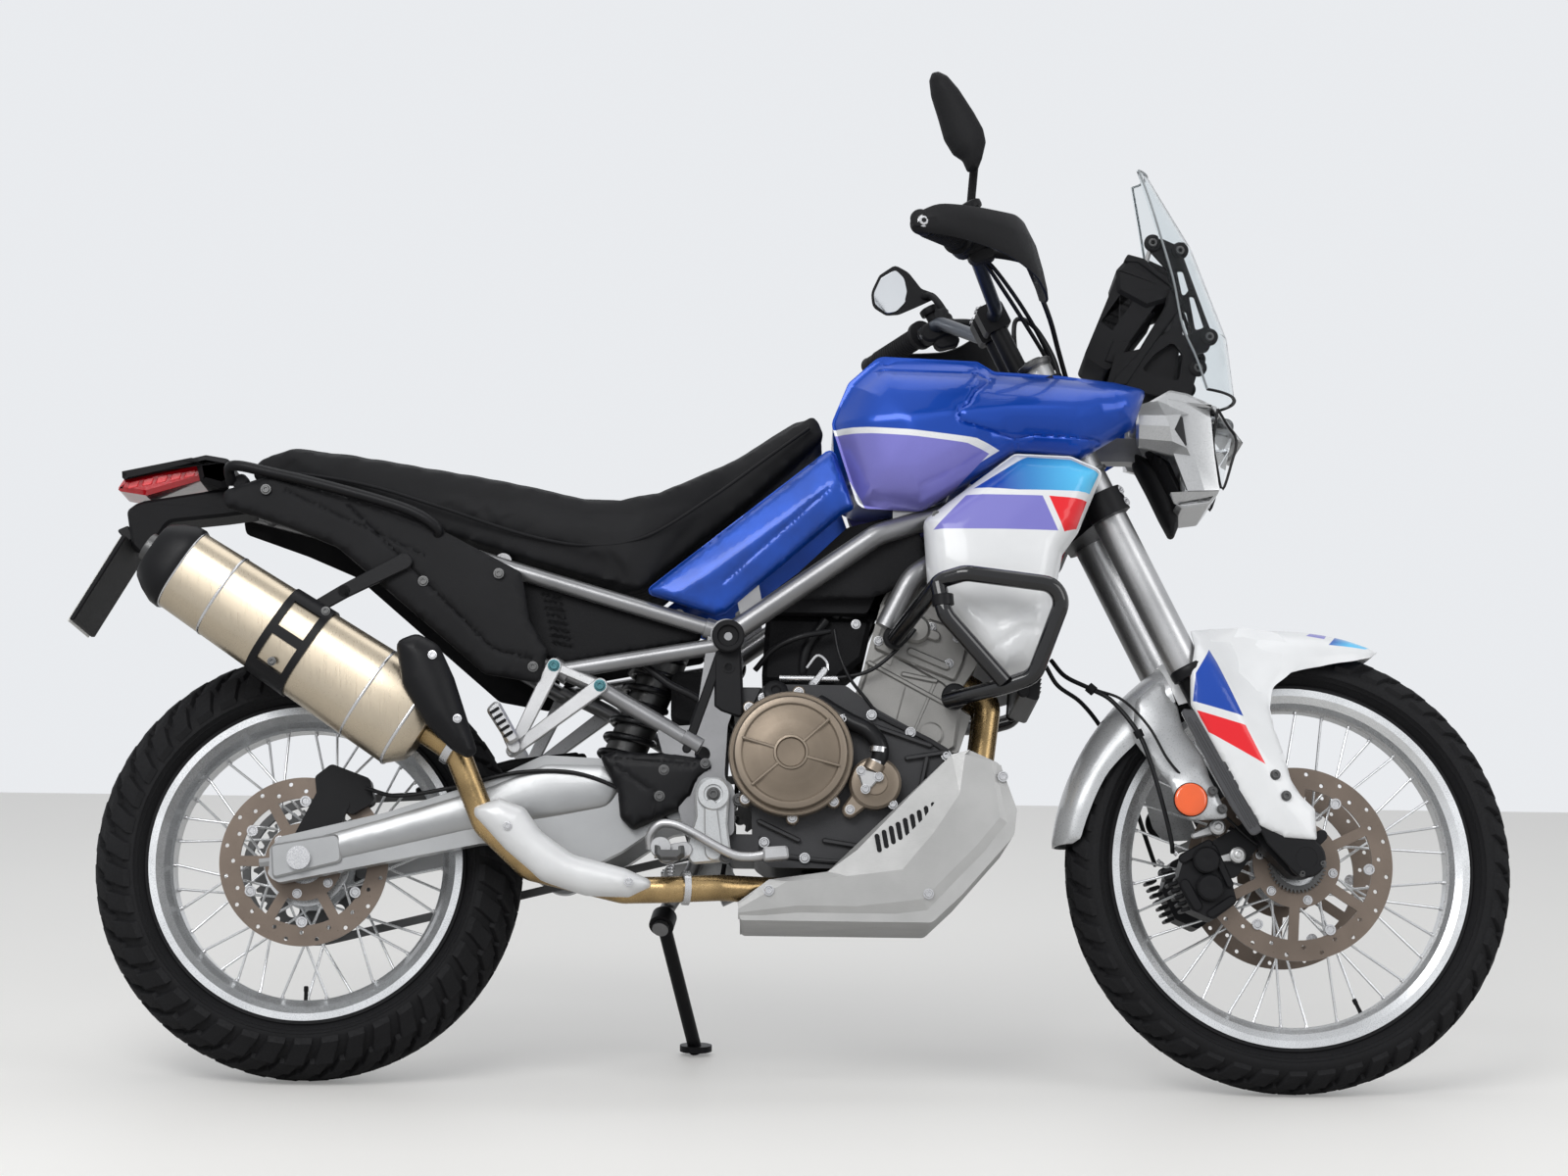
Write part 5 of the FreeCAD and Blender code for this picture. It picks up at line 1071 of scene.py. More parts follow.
def toothedPeg(centre, length, width, side):
    # A peg running outwards with a row of teeth on its front and rear edges
    rings = []
    count, deep = 14, 9
    for index in range(count + 1):
        y = centre[1] + side * length * index / count
        grow = 1 if index % 2 else 0.8
        half, top = width * grow / 2, deep * grow
        section = [(-half, top), (-half, -3), (-half / 1.5, -deep), (half / 1.5, -deep), (half, -3), (half, top),
                   (half - 4, top), (half - 4, 2), (4 - half, 2), (4 - half, top)]
        rings.append([(centre[0] + x, y, centre[2] + z) for x, z in section])
    return skinRings(rings)


for side, name in ((-1, "right"), (1, "left")):
    near, far = side * 158, side * 170
    end, eyes = pegs["pegEnd"], pegs["eyes"]
    bracket = merged(bar(end, eyes[0], 9, 12, near, far), bar(end, eyes[1], 9, 12, near, far),
        bar(eyes[0], eyes[1], 6.5, 6.5, near + side * 2, far - side * 2))
    piece = addMesh(name + " passenger bracket", "bike", *bracket, "silverSatin")
    if side == -1:
        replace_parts(piece, "foot_pegs")
    rubber = merged(plate([(282, 560, 8), (300, 578, 8), (336, 516, 6), (318, 506, 6)], side * 176, side * 194, 4),
        bar((300, 556), (326, 505), 8, 10, side * 170, side * 182))
    addMesh(name + " passenger peg", "bike", *rubber, "silverSatin")
    grooves = [plate([(x + 5.4 * k, z - 9 * k, 2) for x, z in ((288, 556), (302, 565), (304, 561), (290, 552))],
        side * 193, side * 197, 1) for k in range(5)]
    addMesh(name + " peg rubber", "bike", *merged(*grooves), "softRubber")
    boltRow(name + " bracket bolts", "bike", [(x, far, z) for x, z in eyes], "boltBlue", 7, 4, (0, side, 0))
    addMesh(name + " rider peg", "bike", *toothedPeg((566, side * 176, 344), 62, 44, side), "darkSteel",
        smooth=False)
    hinge = merged(bar((560, 345), (588, 352), 14, 12, side * 160, side * 180),
        lathe([(-24, 6), (24, 6), (25, 4)], (566, side * 174, 344), (1, 0, 0), 16))
    addMesh(name + " peg hinge", "bike", *hinge, "silverSatin")
heel = merged(
    plate([(601, 442, 18), (612, 463, 18), (644, 463, 18), (655, 444, 16), (652, 393, 10), (660, 336, 8),
           (598, 330, 8), (588, 350, 10), (604, 403, 16)], -165, -175, 3),
    bar((626, 420), (632, 350), 10, 14, -172, -179, 2),
    lathe([(0, 25), (4, 25), (6, 23), (6, 15), (2, 14), (2, 0.1)], (630, -175, 437), (0, -1, 0), 40))
addMesh("right heel plate", "bike", *heel, "silverPaint")
addMesh("left heel plate", "bike", flipped(heel[0]), heel[1], "silverPaint")
boltRow("heel plate bolts", "bike", [(630, -177, 437), (650, -176, 342)], "darkSteel", 8, 5, mirror=True)
pedalArm = [(536, -184, 352), (536, -190, 372), (550, -194, 388), (572, -196, 388), (600, -197, 376),
    (634, -198, 357), (664, -198, 343), (690, -197, 341), (712, -196, 345)]
pedal = merged(hose(pedalArm, 7, 8, 14),
    plate([(708, 334, 4), (706, 354, 4), (744, 357, 5), (746, 338, 4)], -178, -214, 3),
    lathe([(-10, 15), (-9, 16), (9, 16), (10, 15)], (552, -184, 354), (0, -1, 0), 28))
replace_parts(addMesh("brake pedal", "bike", *pedal, "silverSatin"), "foot_levers")
gearArm = [(640, 186, 300), (680, 190, 320), (724, 192, 346), (742, 194, 352)]
gear = merged(hose(gearArm, 6, 8, 12),
    lathe([(-18, 9), (-17, 10), (17, 10), (18, 9)], (742, 196, 352), (0, 1, 0), 20))
addMesh("gear lever", "bike", *gear, "silverSatin")
spring = []
for k in range(73):
    a = 2 * math.pi * k / 9
    spring.append((566 + 5.5 * math.cos(a), -150 - 5.5 * math.sin(a), 300 + 0.55 * k))
addMesh("pedal spring", "bike", *hose(spring, 1.3, 1, 6), "brightSteel")
pivotCover = {
    "outline": [(455, 497, 6), (481, 505, 10), (525, 501, 10), (552, 503, 8), (624, 493, 6), (628, 478, 6),
        (603, 456, 10), (596, 436, 10), (577, 413, 10), (535, 395, 10), (508, 382, 8), (488, 402, 12),
        (484, 441, 20), (462, 481, 12)],
    "inner": -150, "outer": -166, "edge": 9, "dome": 3, "domeReach": 30, "step": 9,
    "grooves": [([(480, 480), (540, 440), (540, 405)], 2.5, 2), ([(470, 490), (600, 482)], 2.2, 1.6)],
}
bothSides("pivot cover", "bike", *crownedPanel(pivotCover), "blackSatin", sharp=50)
boltRow("pivot cover bolts", "bike", [(554, -168, 474), (548, -168, 434), (617, -166, 485)], "darkSteel", 6, 4,
    mirror=True)
print("foot controls ready")

# Engine: covers with ribs and bolts, ribs and joints on the case, the leaning cylinder, intake and throttle bodies
engine = {"clutch": (747, -187, 501), "pump": (876, -164, 459), "generator": (790, 135, 470), "lugReach": 84}


def around(centre, reach, degrees):
    # Points in side view at some angles round a centre
    return [(centre[0] + reach * math.cos(rad(a)), centre[2] + reach * math.sin(rad(a))) for a in degrees]


clutchDome = lathe([(-52, 95), (-14, 95), (-12, 93), (-12, 88), (-4, 87.5), (0, 85), (1.5, 80), (1.5, 76), (-1, 73),
    (0, 60), (3.4, 48), (4.2, 30), (4.4, 27), (7, 26), (7.4, 23), (3.5, 21), (3, 0.1)], engine["clutch"],
    (0, -1, 0), 72)
ribAngles = (41.8, -14.8, 220.6, 163.6)
ribs = [bar(inner, outer, 2.8, 2.2, -186, -193.5, 1.6) for inner, outer in
        zip(around(engine["clutch"], 25, ribAngles), around(engine["clutch"], 76, ribAngles))]
coverBolts = around(engine["clutch"], 97, (83.6, 35, 132, 225, 272, 313))
lugs = [lathe([(-38, 10), (-2, 10), (0, 8.5), (0, 0.1)], (x, -158, z), (0, -1, 0), 18) for x, z in coverBolts]
flange = plate([(846, 482, 6), (890, 472, 6), (860, 440, 6)], -168, -174, 2)
pumpDome = merged(lathe([(-30, 40), (-4, 40), (0, 36), (2, 28), (2.4, 20), (4, 18), (4, 0.1)], engine["pump"],
    (0, -1, 0), 44), bar((876, 459), (838, 418), 20, 12, -136, -158, 3),
    lathe([(0, 16), (14, 15)], (872, -162, 478), (0.5, -0.1, 1), 24))
cover = addMesh("clutch cover", "bike", *merged(clutchDome, *ribs, *lugs), "taupeCast", sharp=28)
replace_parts(cover, "engine_covers")
addMesh("pump flange", "bike", *flange, "castSilver", sharp=30)
addMesh("pump cover", "bike", *pumpDome, "taupeCast", sharp=30)
boltRow("clutch cover bolts", "bike", [(x, -158, z) for x, z in coverBolts], "brightSteel", 5.5, 4.5)
boltRow("pump bolts", "bike",
    [(854, -174, 476), (881, -174, 467), (861, -174, 448), (903, -158, 427), (838, -158, 418)], "brightSteel", 5.5,
    4)
lugSpots = around(engine["generator"], engine["lugReach"], range(15, 360, 45))
generator = merged(lathe([(0, 82), (30, 82), (36, 78), (40, 66), (46, 60), (47, 30), (44, 26), (44, 0.1)],
    engine["generator"], (0, 1, 0), 60),
    *[lathe([(0, 9), (32, 9), (34, 7), (34, 0.1)], (x, 135, z), (0, 1, 0), 16) for x, z in lugSpots])
addMesh("generator cover", "bike", *generator, "taupeCast", sharp=28)
boltRow("generator bolts", "bike", [(x, 169, z) for x, z in lugSpots], "brightSteel", 5.5, 4, (0, 1, 0))
filler = lathe([(0, 15), (3, 15), (4, 19), (12, 19), (14, 16), (14.5, 8), (12, 6)], (722, -150, 594),
    (0.1, -1, 0.5), 12)
addMesh("oil filler cap", "bike", *filler, "blackSatin")

sideRibs = [bar(start, end, 4, 4, -134, -143, 2) for start, end in (
    ((700, 400), (760, 372)), ((800, 372), (930, 352)), ((905, 372), (985, 420)), ((925, 500), (985, 510)),
    ((840, 560), (960, 520)), ((930, 372), (955, 500)), ((700, 560), (760, 600)))]
caseJoint = hose([(x, -137, z)
    for x, z in ((700, 352), (820, 340), (940, 344), (986, 396), (994, 500), (880, 566))], 4, 8, 8)
bothSides("case ribs", "bike", *merged(*sideRibs, caseJoint), "engineGrey")
boltRow("case bolts", "bike", [(708, -140, 368), (770, -140, 345), (850, -140, 342), (930, -140, 346),
    (978, -140, 402), (988, -140, 470), (985, -140, 505), (930, -140, 540), (870, -140, 566), (704, -140, 590)],
    "brightSteel", 6, 5, mirror=True)
sump = merged(plate([(760, 330, 8), (770, 312, 10), (900, 312, 10), (915, 330, 8)], -96, 96, 6),
    lathe([(0, 34), (40, 34), (44, 30), (45, 0.1)], (960, -40, 372), (0.8, 0, -0.35), 28))
addMesh("sump and filter", "bike", *sump, "engineGrey")

barrel = merged(plate([(850, 600, 6), (866, 650, 8), (896, 668, 10), (980, 622, 8), (1010, 596, 6), (1000, 520, 8),
    (944, 486, 8), (890, 536, 8)], -116, -104, 4), bar((866, 650), (990, 584), 4, 4, -113, -119, 2),
    bar((852, 596), (878, 566), 5, 5, -112, -118, 2),
    lathe([(0, 19), (5, 19), (7, 16), (7, 0.1)], (962, -114, 540), (0, -1, 0), 28))
bothSides("cylinder side", "bike", *barrel, "headCast", sharp=30)
intake = merged(plate([(700, 622, 12), (812, 622, 14), (858, 660, 10), (872, 724, 6), (706, 727, 6)], -84, 84, 8),
    plate([(560, 640, 14), (640, 640, 10), (664, 604, 10), (652, 540, 12), (560, 560, 14)], -70, 70, 8))
addMesh("intake body", "bike", *intake, "blackGrain", sharp=35)
headParts = merged(bar((919, 633), (969, 623), 4, 4, -112, -120, 2),
    bar((969, 623), (925, 517), 4, 3, -109, -117, 2), bar((925, 624), (902, 534), 3.5, 3, -109, -116, 2),
    plate([(872, 672, 6), (898, 742, 10), (1000, 705, 10), (1020, 690, 6), (1012, 652, 8), (998, 622, 6)], -119,
        -108, 3),
    plate([(886, 740, 6), (908, 782, 16), (980, 768, 12), (1000, 748, 10), (1012, 700, 6)], -113, -100, 4),
    lathe([(0, 22), (8, 22), (12, 18), (13, 0.1)], (938, -119, 702), (0, -1, 0), 28),
    bar((905, 716), (968, 692), 8, 8, -119, -126, 2), bar((930, 668), (985, 645), 6, 6, -119, -124, 2))
bothSides("head casting", "bike", *headParts, "headCast", sharp=30)
boltRow("head bolts", "bike", [(845, -122, 709), (898, -124, 728), (962, -122, 706), (1002, -120, 690),
    (880, -120, 684), (989, -120, 650), (905, -114, 772), (985, -114, 756)], "brightSteel", 5.5, 4, mirror=True)
throttles = [lathe([(0, 26), (10, 28), (16, 24), (48, 24), (52, 28), (62, 28), (64, 20)], (870, y, 712),
    (-0.9, 0, 0.42), 30) for y in (-52, 52)]
addMesh("throttle bodies", "bike", *merged(*throttles), "hoseBlack")
linkage = merged(lathe([(0, 5), (92, 5)], (728, -124, 623), (1, 0, 0), 14),
    bar((796, 588), (779, 613), 4, 6, -124, -130), bar((779, 613), (798, 636), 6, 5, -124, -130),
    hose([(770, -122, 640), (786, -124, 659), (800, -124, 650), (802, -124, 636)], 2.4, 5, 8))
addMesh("throttle linkage", "bike", *linkage, "brightSteel")
print("engine ready")

# Hoses and cables, each along its own listed route
hoses = {
    "water hose": (13, [(790, -128, 586), (808, -140, 572), (839, -150, 553), (864, -158, 540), (881, -160, 520),
        (883, -160, 500), (874, -158, 480)]),
    "bypass hose": (10, [(1020, -60, 760), (1046, -70, 772), (1076, -80, 790), (1100, -90, 806)]),
    "breather hose": (8, [(770, -70, 610), (764, -80, 640), (772, -86, 680), (800, -90, 720)]),
    "fuel hose": (4.5, [(690, -90, 640), (720, -104, 672), (760, -112, 690), (806, -106, 700)]),
    "starter cable": (3,
        [(818, -128, 624), (859, -134, 632), (889, -138, 650), (923, -140, 684), (936, -140, 700)]),
    "sensor wire": (2.6,
        [(884, -136, 560), (862, -138, 590), (838, -136, 620), (820, -130, 660), (812, -120, 700)]),
    "loom": (6, [(520, -126, 640), (560, -130, 610), (600, -132, 590), (640, -134, 560), (668, -136, 530)]),
    "rear brake hose": (3.2, [(560, -140, 400), (500, -143, 440), (420, -143, 470), (330, -142, 470),
        (240, -141, 448), (150, -141, 432), (96, -112, 446)]),
    "overflow hose": (4, [(655, 140, 560), (662, 142, 480), (650, 142, 400), (640, 140, 330)]),
}
for name, (radius, points) in hoses.items():
    addMesh(name, "bike", *hose(points, radius, 8, 14), "hoseBlack")
clips = []
for spot, axis, size in (((876, -159, 489), (0.3, 0, 1), 14.5), ((881, -160, 510), (0.1, 0, 1), 14.5),
                         ((1096, -88, 803), (0.8, -0.3, 0.5), 11.5), ((1024, -61, 762), (0.8, -0.3, 0.4), 11.5)):
    clips.append(lathe([(-4, size - 1), (-4, size), (4, size), (4, size - 1)], spot, axis, 24))
addMesh("hose clips", "bike", *merged(*clips), "brightSteel")
print("hoses ready:", len(hoses))

# The fork's legs and axle in its own frame, from the steering axis
legX, legY, axleAt = 32, 124, (56.5, 363.3)


# Front fender: an arch from the tip back to the mudguard's lip, with wings down over the fork feet
def archShell(stations, thick):
    # Stations are (angle and radius of the ridge, angle and radius of the lower edge, half width), from the axle
    centre, across, along = axleAt, 13, 34
    marks = np.linspace(0, 1, len(stations))
    wanted = np.linspace(0, 1, along)
    columns = [np.interp(wanted, marks, [s[k] for s in stations]) for k in range(5)]
    rings = []
    for ridgeAngle, ridgeRadius, edgeAngle, edgeRadius, half in zip(*columns):
        ring = []
        for inset in (0, thick):
            for share in np.linspace(-1, 1, 2 * across + 1)[::-1 if inset else 1]:
                t = abs(share)
                angle = rad(ridgeAngle + (edgeAngle - ridgeAngle) * t ** 2)
                radius = edgeRadius + (ridgeRadius - inset - edgeRadius) * math.cos(t * math.pi / 2) ** 0.75
                y = (half - inset) * math.sin(t * math.pi / 2) * (1 if share > 0 else -1)
                ring.append((centre[0] + radius * math.cos(angle), y, centre[1] + radius * math.sin(angle)))
        rings.append(ring)
    return skinRings(rings)


def drape(verts, table, xs):
    # Moves each point sideways by its place, from rows of (height, y at each of the listed x)
    heights = [row[0] for row in table]
    moved = []
    for x, y, z in verts:
        column = [np.interp(x, xs, row[1:]) for row in table]
        moved.append((x, y + float(np.interp(z, heights, column)), z))
    return moved


def leanTo(verts, profile):
    # Moves each point sideways by its height, from a profile of (height, y)
    heights, shifts = zip(*sorted(profile))
    return [(x, y + float(np.interp(z, heights, shifts)), z) for x, y, z in verts]


fender = {
    "front": [(41, 371, 41, 367, 34), (44, 373, 42.5, 352, 54), (50, 374.5, 47, 334, 66), (58, 375, 56, 312, 74),
        (68, 377, 66, 296, 80), (80, 379, 80, 288, 84), (90, 380, 92, 290, 84), (97, 374, 100, 304, 76)],
    "rear": [(95, 372, 100, 312, 70), (104, 371, 108, 304, 66), (116, 370, 118, 310, 60), (128, 370, 128, 322, 56),
        (138, 371, 139, 328, 54), (147.5, 372, 147, 334, 50), (149, 371, 148.5, 345, 40)],
    "wing": {
        "outline": [(67, 757, 5), (110, 748, 30), (154, 732, 20), (200, 700, 20), (214, 640, 10), (172, 629, 14),
            (146, 624, 24), (122, 594, 24), (109, 562, 30), (103, 525, 30), (91, 480, 30), (94, 452, 20),
            (104, 424, 4), (84, 380, 4), (40, 406, 6), (14, 439, 12), (10, 502, 30), (7, 583, 30), (4, 650, 12),
            (26, 694, 30), (56, 730, 14)],
        "inner": 3, "outer": -3.5, "edge": 7, "dome": 5, "domeReach": 40, "step": 8,
        "folds": [((66, 720), (72, 560), 0.10)],
    },
    "wingAt": (30, 62, 92, 124, 170, 214),
    "wingRun": [(380, -153, -153, -150, -146, -140, -140), (480, -153, -153, -148, -140, -130, -130),
        (560, -154, -153, -138, -122, -100, -100), (610, -154, -153, -128, -102, -86, -84),
        (650, -154, -152, -120, -92, -82, -78), (690, -153, -148, -112, -80, -68, -64),
        (720, -150, -136, -98, -66, -54, -48), (757, -140, -112, -76, -44, -36, -32)],
    "arm": {
        "outline": [(6, 716, 14), (2, 660, 20), (-9, 625, 20), (-7, 573, 20), (-16, 539, 12), (-20, 470, 5),
            (-36, 476, 6), (-74, 492, 10), (-80, 520, 20), (-74, 560, 20), (-82, 613, 20), (-84, 650, 20),
            (-50, 700, 30)],
        "inner": 2, "outer": -4, "edge": 8, "dome": 5, "domeReach": 30, "step": 8,
    },
    "armRun": [(470, -136), (520, -132), (560, -120), (600, -96), (640, -74), (680, -64), (716, -56)],
}
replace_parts(addMesh("front fender", "fork", *archShell(fender["front"], 3.5), "fenderPaint", sharp=50),
    "front_fender")
addMesh("front mudguard", "fork", *archShell(fender["rear"], 3.5), "mudguardGrey", sharp=50)
verts, faces = crownedPanel(fender["wing"])
bothSides("fender wing", "fork", drape(verts, fender["wingRun"], fender["wingAt"]), faces, "wingPaint", sharp=50)
verts, faces = crownedPanel(fender["arm"])
bothSides("mudguard arm", "fork", leanTo(verts, fender["armRun"]), faces, "mudguardGrey", sharp=50)
boltRow("fender bolts", "fork", [(70, -159, 497), (70, -160, 461), (-25, -141, 517), (-25, -143, 486)], "darkSteel",
        6, 4, mirror=True)
for name, profile, skin in (
        ("side reflector", [(0, 25), (4, 25), (6, 23), (6.5, 21), (6.5, 0.1)], "orangeLens"),
        ("reflector back", [(-10, 12), (-3, 26), (1, 26.6), (1, 25)], "blackSatin")):
    bothSides(name, "fork", *lathe(profile, (-61, -139, 520), (0, -1, 0), 36), skin)
print("front fender ready")

# Fork: smoked ribbed guards, wiper rings, feet with axle and pinch bolts, calipers with pistons, fins and lugs
guardOutline = [(-15, 654, 6), (6, 640, 6), (22, 600, 20), (30, 430, 6), (-4, 428, 8), (-12, 480, 20)]
guardParts = [plate(guardOutline, -legY - 20, -legY - 27, 2)]
for k in range(4):
    guardParts.append(bar((-8 + 8 * k, 632 - 8 * k), (0 + 7 * k, 442), 1.8, 1.8, -legY - 26, -legY - 29.5, 1.2))
piece = bothSides("fork guard", "fork", *merged(*guardParts), "smoked", sharp=40)
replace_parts(piece[0], "fork_guards")
for name, low, profile, skin in (("wiper ring", 690, [(0, 27), (1, 29.5), (7, 30.5), (15, 30.5), (18, 28)],
        "blackSatin"), ("tube cap", 1229,
        [(0, 26), (2, 27.5), (8, 27.5), (10, 25), (10, 15), (14, 14), (15, 8), (15, 0.1)], "darkSteel"),
        ("tube band", 1040, [(0, 27.6), (1, 28.6), (5, 28.6), (6, 27.6)], "darkSteel")):
    bothSides(name, "fork", *lathe(profile, (legX, -legY, low), (0, 0, 1), 40), skin)
foot = merged(
    plate([(12, 476, 10), (54, 476, 10), (80, 404, 20), (84, 352, 20), (60, 334, 20), (30, 350, 16), (12, 410, 12)],
          -legY - 23, -legY - 27, 3),
    lathe([(-4, 30), (0, 30), (3, 27), (3.5, 17), (1, 15), (1, 0.1)], (axleAt[0], -legY - 24, axleAt[1]),
          (0, -1, 0), 36),
    bar((84, 380), (96, 384), 9, 9, -legY + 8, -legY - 18, 2))
bothSides("fork foot", "fork", *foot, "hubBlack", sharp=30)
boltRow("axle bolts", "fork", [(axleAt[0], -legY - 22, axleAt[1])], "brightSteel", 5, 4, mirror=True)
boltRow("pinch bolts", "fork", [(75, -legY - 26, 345), (40, -legY - 26, 345), (30, -legY - 26, 455)],
        "darkSteel", 4, 3, mirror=True)
pistons = [lathe([(0, 21), (10, 21), (13, 18), (13.5, 8), (12, 0.1)], spot, (0, -1, 0), 30)
           for spot in ((-74, -97, 428), (-88, -97, 388))]
rims = [bar(start, end, size, size, -97, far, 2) for start, end, size, far in (
    ((-60, 448), (-104, 446), 8, -103), ((-120, 410), (-118, 372), 8, -103),
    ((-66, 357), (-104, 352), 7, -102), ((-56, 440), (-58, 380), 6, -104))]
fins = [bar((-128, 440 - 11 * k), (-140, 442 - 11 * k), 3, 3, -60, -92, 1) for k in range(7)]
bothSides("caliper body", "fork", *merged(*pistons, *rims, *fins), "blackSatin", sharp=30)
lugs = [merged(lathe([(-8, 12), (8, 12), (10, 9), (10, 0.1)], spot, (0, -1, 0), 24),
    lathe([(9, 6), (13, 6), (14, 4), (14, 0.1)], spot, (0, -1, 0), 6))
    for spot in ((-36, -104, 466), (-28, -104, 414))]
arms = [bar((-36, 466), (-72, 470), 8, 5, -92, -100, 2), bar((-28, 414), (-50, 420), 8, 6, -92, -100, 2)]
bothSides("caliper lugs", "fork", *merged(*lugs, *arms), "castSilver", sharp=30)
nipple = lathe([(0, 4), (6, 4), (7, 3), (12, 3), (13, 1.5)], (-104, -70, 456), (-0.3, 0, 1), 16)
bothSides("bleed nipple", "fork", *nipple, "brightSteel")
print("fork and brakes ready")

# Handlebar end: moulded guards, mirrors, levers with reservoirs, switch housings
handGuard = {
    "run": [(-106, -431, 1438, 1452), (-98, -445, 1431, 1463), (-60, -450, 1404, 1462), (-14, -442, 1366, 1438),
            (26, -422, 1326, 1416), (50, -396, 1304, 1408), (66, -352, 1292, 1403), (76, -304, 1287, 1398),
            (81, -256, 1292, 1391), (82, -222, 1304, 1382)],
    "thick": 4, "bulge": 9, "parts": 5,
    "section": [(0, 0), (0.1, 0.45), (0.3, 0.8), (0.62, 1), (0.85, 0.45), (0.96, 0.2), (1, 0)],
}


def ribbonShell(g):
    # A shell along a run of (x, y, lower z, upper z); its section is (share of the height, share of the bulge)
    run, thick = g["run"], g["thick"]
    marks = np.linspace(0, 1, len(run))
    wanted = np.linspace(0, 1, (len(run) - 1) * g["parts"] + 1)
    xs, ys, lows, highs = (np.interp(wanted, marks, [r[k] for r in run]) for k in range(4))
    for _ in range(3):
        for line in (xs, ys, lows, highs):
            line[1:-1] = (line[:-2] + 2 * line[1:-1] + line[2:]) / 4
    rings = []
    last = len(xs) - 1
    for i in range(len(xs)):
        along = Vector((xs[min(i + 1, last)] - xs[max(i - 1, 0)], ys[min(i + 1, last)] - ys[max(i - 1, 0)]))
        along.normalize()
        out = Vector((along.y, -along.x))
        size = g["bulge"] * math.sin(math.pi * min(1, 0.12 + i / last)) ** 0.5
        ring = []
        for share, swell in g["section"]:
            z = lows[i] + (highs[i] - lows[i]) * share
            ring.append((xs[i] + out.x * size * swell, ys[i] + out.y * size * swell, z))
        for share, swell in g["section"][::-1]:
            z = lows[i] + thick / 2 + (highs[i] - lows[i] - thick) * share
            push = size * swell - thick
            ring.append((xs[i] + out.x * push, ys[i] + out.y * push, z))
        rings.append(ring)
    return skinRings(rings)


verts, faces = ribbonShell(handGuard)
verts = [(x - max(0, min(1, x / 60)) * max(0, 1400 - z) * 0.16, y, z) for x, y, z in verts]
piece = bothSides("hand guard", "fork", verts, faces, "blackPlastic", sharp=28)
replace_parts(piece[0], "handguards")
barEnd = [lathe([(0, 15), (4, 17), (20, 17), (26, 13), (27, 8)], (-86, -418, 1446), (-0.444, -0.893, 0.088), 28),
          lathe([(0, 14), (16, 14), (18, 11)], (-92, -433, 1449), (-0.2, -0.9, 0.3), 28)]
bothSides("bar end", "fork", *merged(*barEnd), "blackPlastic")
boltRow("bar end bolt", "fork", [(-92, -450, 1446)], "brightSteel", 7, 4, mirror=True)
brace = hose([(78, -226, 1360), (72, -214, 1378), (46, -208, 1400), (12, -212, 1418)], 7, 5, 12)
bothSides("guard brace", "fork", *brace, "blackPlastic")

mirrors = {
    "right": {
        "outline": [(48, 1675, 4), (57, 1672, 6), (66, 1659, 14), (72, 1632, 30), (76, 1590, 40), (77, 1560, 20),
            (72, 1540, 14), (56, 1520, 6), (42, 1507, 4), (29, 1513, 5), (30, 1532, 10), (22, 1548, 8),
            (20, 1574, 30), (26, 1606, 50), (32, 1644, 30), (40, 1667, 6)],
        "inner": -337, "outer": -352, "edge": 22, "dome": 5, "domeReach": 30, "step": 6,
    },
    "left": {
        "outline": [(-5, 1564, 10), (10, 1543, 30), (17, 1508, 12), (30, 1495, 4), (29, 1483, 4), (-3, 1483, 20),
            (-36, 1484, 20), (-57, 1492, 14), (-71, 1515, 14), (-63, 1538, 30), (-37, 1559, 14)],
        "inner": 306, "outer": 326, "edge": 24, "dome": 6, "domeReach": 30, "step": 6,
    },
    "glass": [(-8, 1556, 6), (-1, 1537, 20), (-7, 1514, 14), (-20, 1497, 10), (-39, 1490, 12), (-56, 1494, 12),
        (-66, 1515, 12), (-60, 1534, 20), (-37, 1553, 10)],
}


def turnedIn(verts):
    return [(x, y - 0.35 * (x - 48), z) for x, y, z in verts]


verts, faces = crownedPanel(mirrors["right"])
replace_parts(addMesh("right mirror shell", "fork", turnedIn(verts), faces, "blackPlastic", sharp=50), "mirrors")
rim = mirrors["right"]["outline"]
verts, faces = plate([(x * 0.86 + 7, (z - 1600) * 0.9 + 1603, 8) for x, z, _ in rim[:8] + rim[11:]], -334.5, -332.5,
    0.6)
addMesh("right mirror glass", "fork", turnedIn(verts), faces, "mirrorGlass")
addMesh("left mirror shell", "fork", *crownedPanel(mirrors["left"]), "blackPlastic", sharp=50)
addMesh("left mirror glass", "fork", *plate(mirrors["glass"], 303, 301, 0.6), "mirrorGlass")
stem = [(16, -268, 1456), (20, -270, 1470), (46, -294, 1517), (55, -326, 1536), (57, -334, 1546)]
post = merged(hose(stem, 6.5, 6, 14),
    lathe([(0, 12), (20, 12), (24, 9), (26, 7)], (14, -268, 1440), (0.1, 0, 1), 20),
    bar((4, 1436), (26, 1450), 12, 10, -258, -279, 3))
addMesh("right mirror stem", "fork", *post, "blackPlastic")
leftStem = merged(hose([(28, 274, 1452), (26, 276, 1470), (24, 292, 1488), (14, 306, 1494)], 6, 5, 14),
    lathe([(0, 12), (34, 12), (38, 9)], (14, 268, 1418), (0.25, 0, 1), 20),
    bar((4, 1420), (24, 1436), 12, 10, 258, 279, 3))
addMesh("left mirror stem", "fork", *leftStem, "blackPlastic")

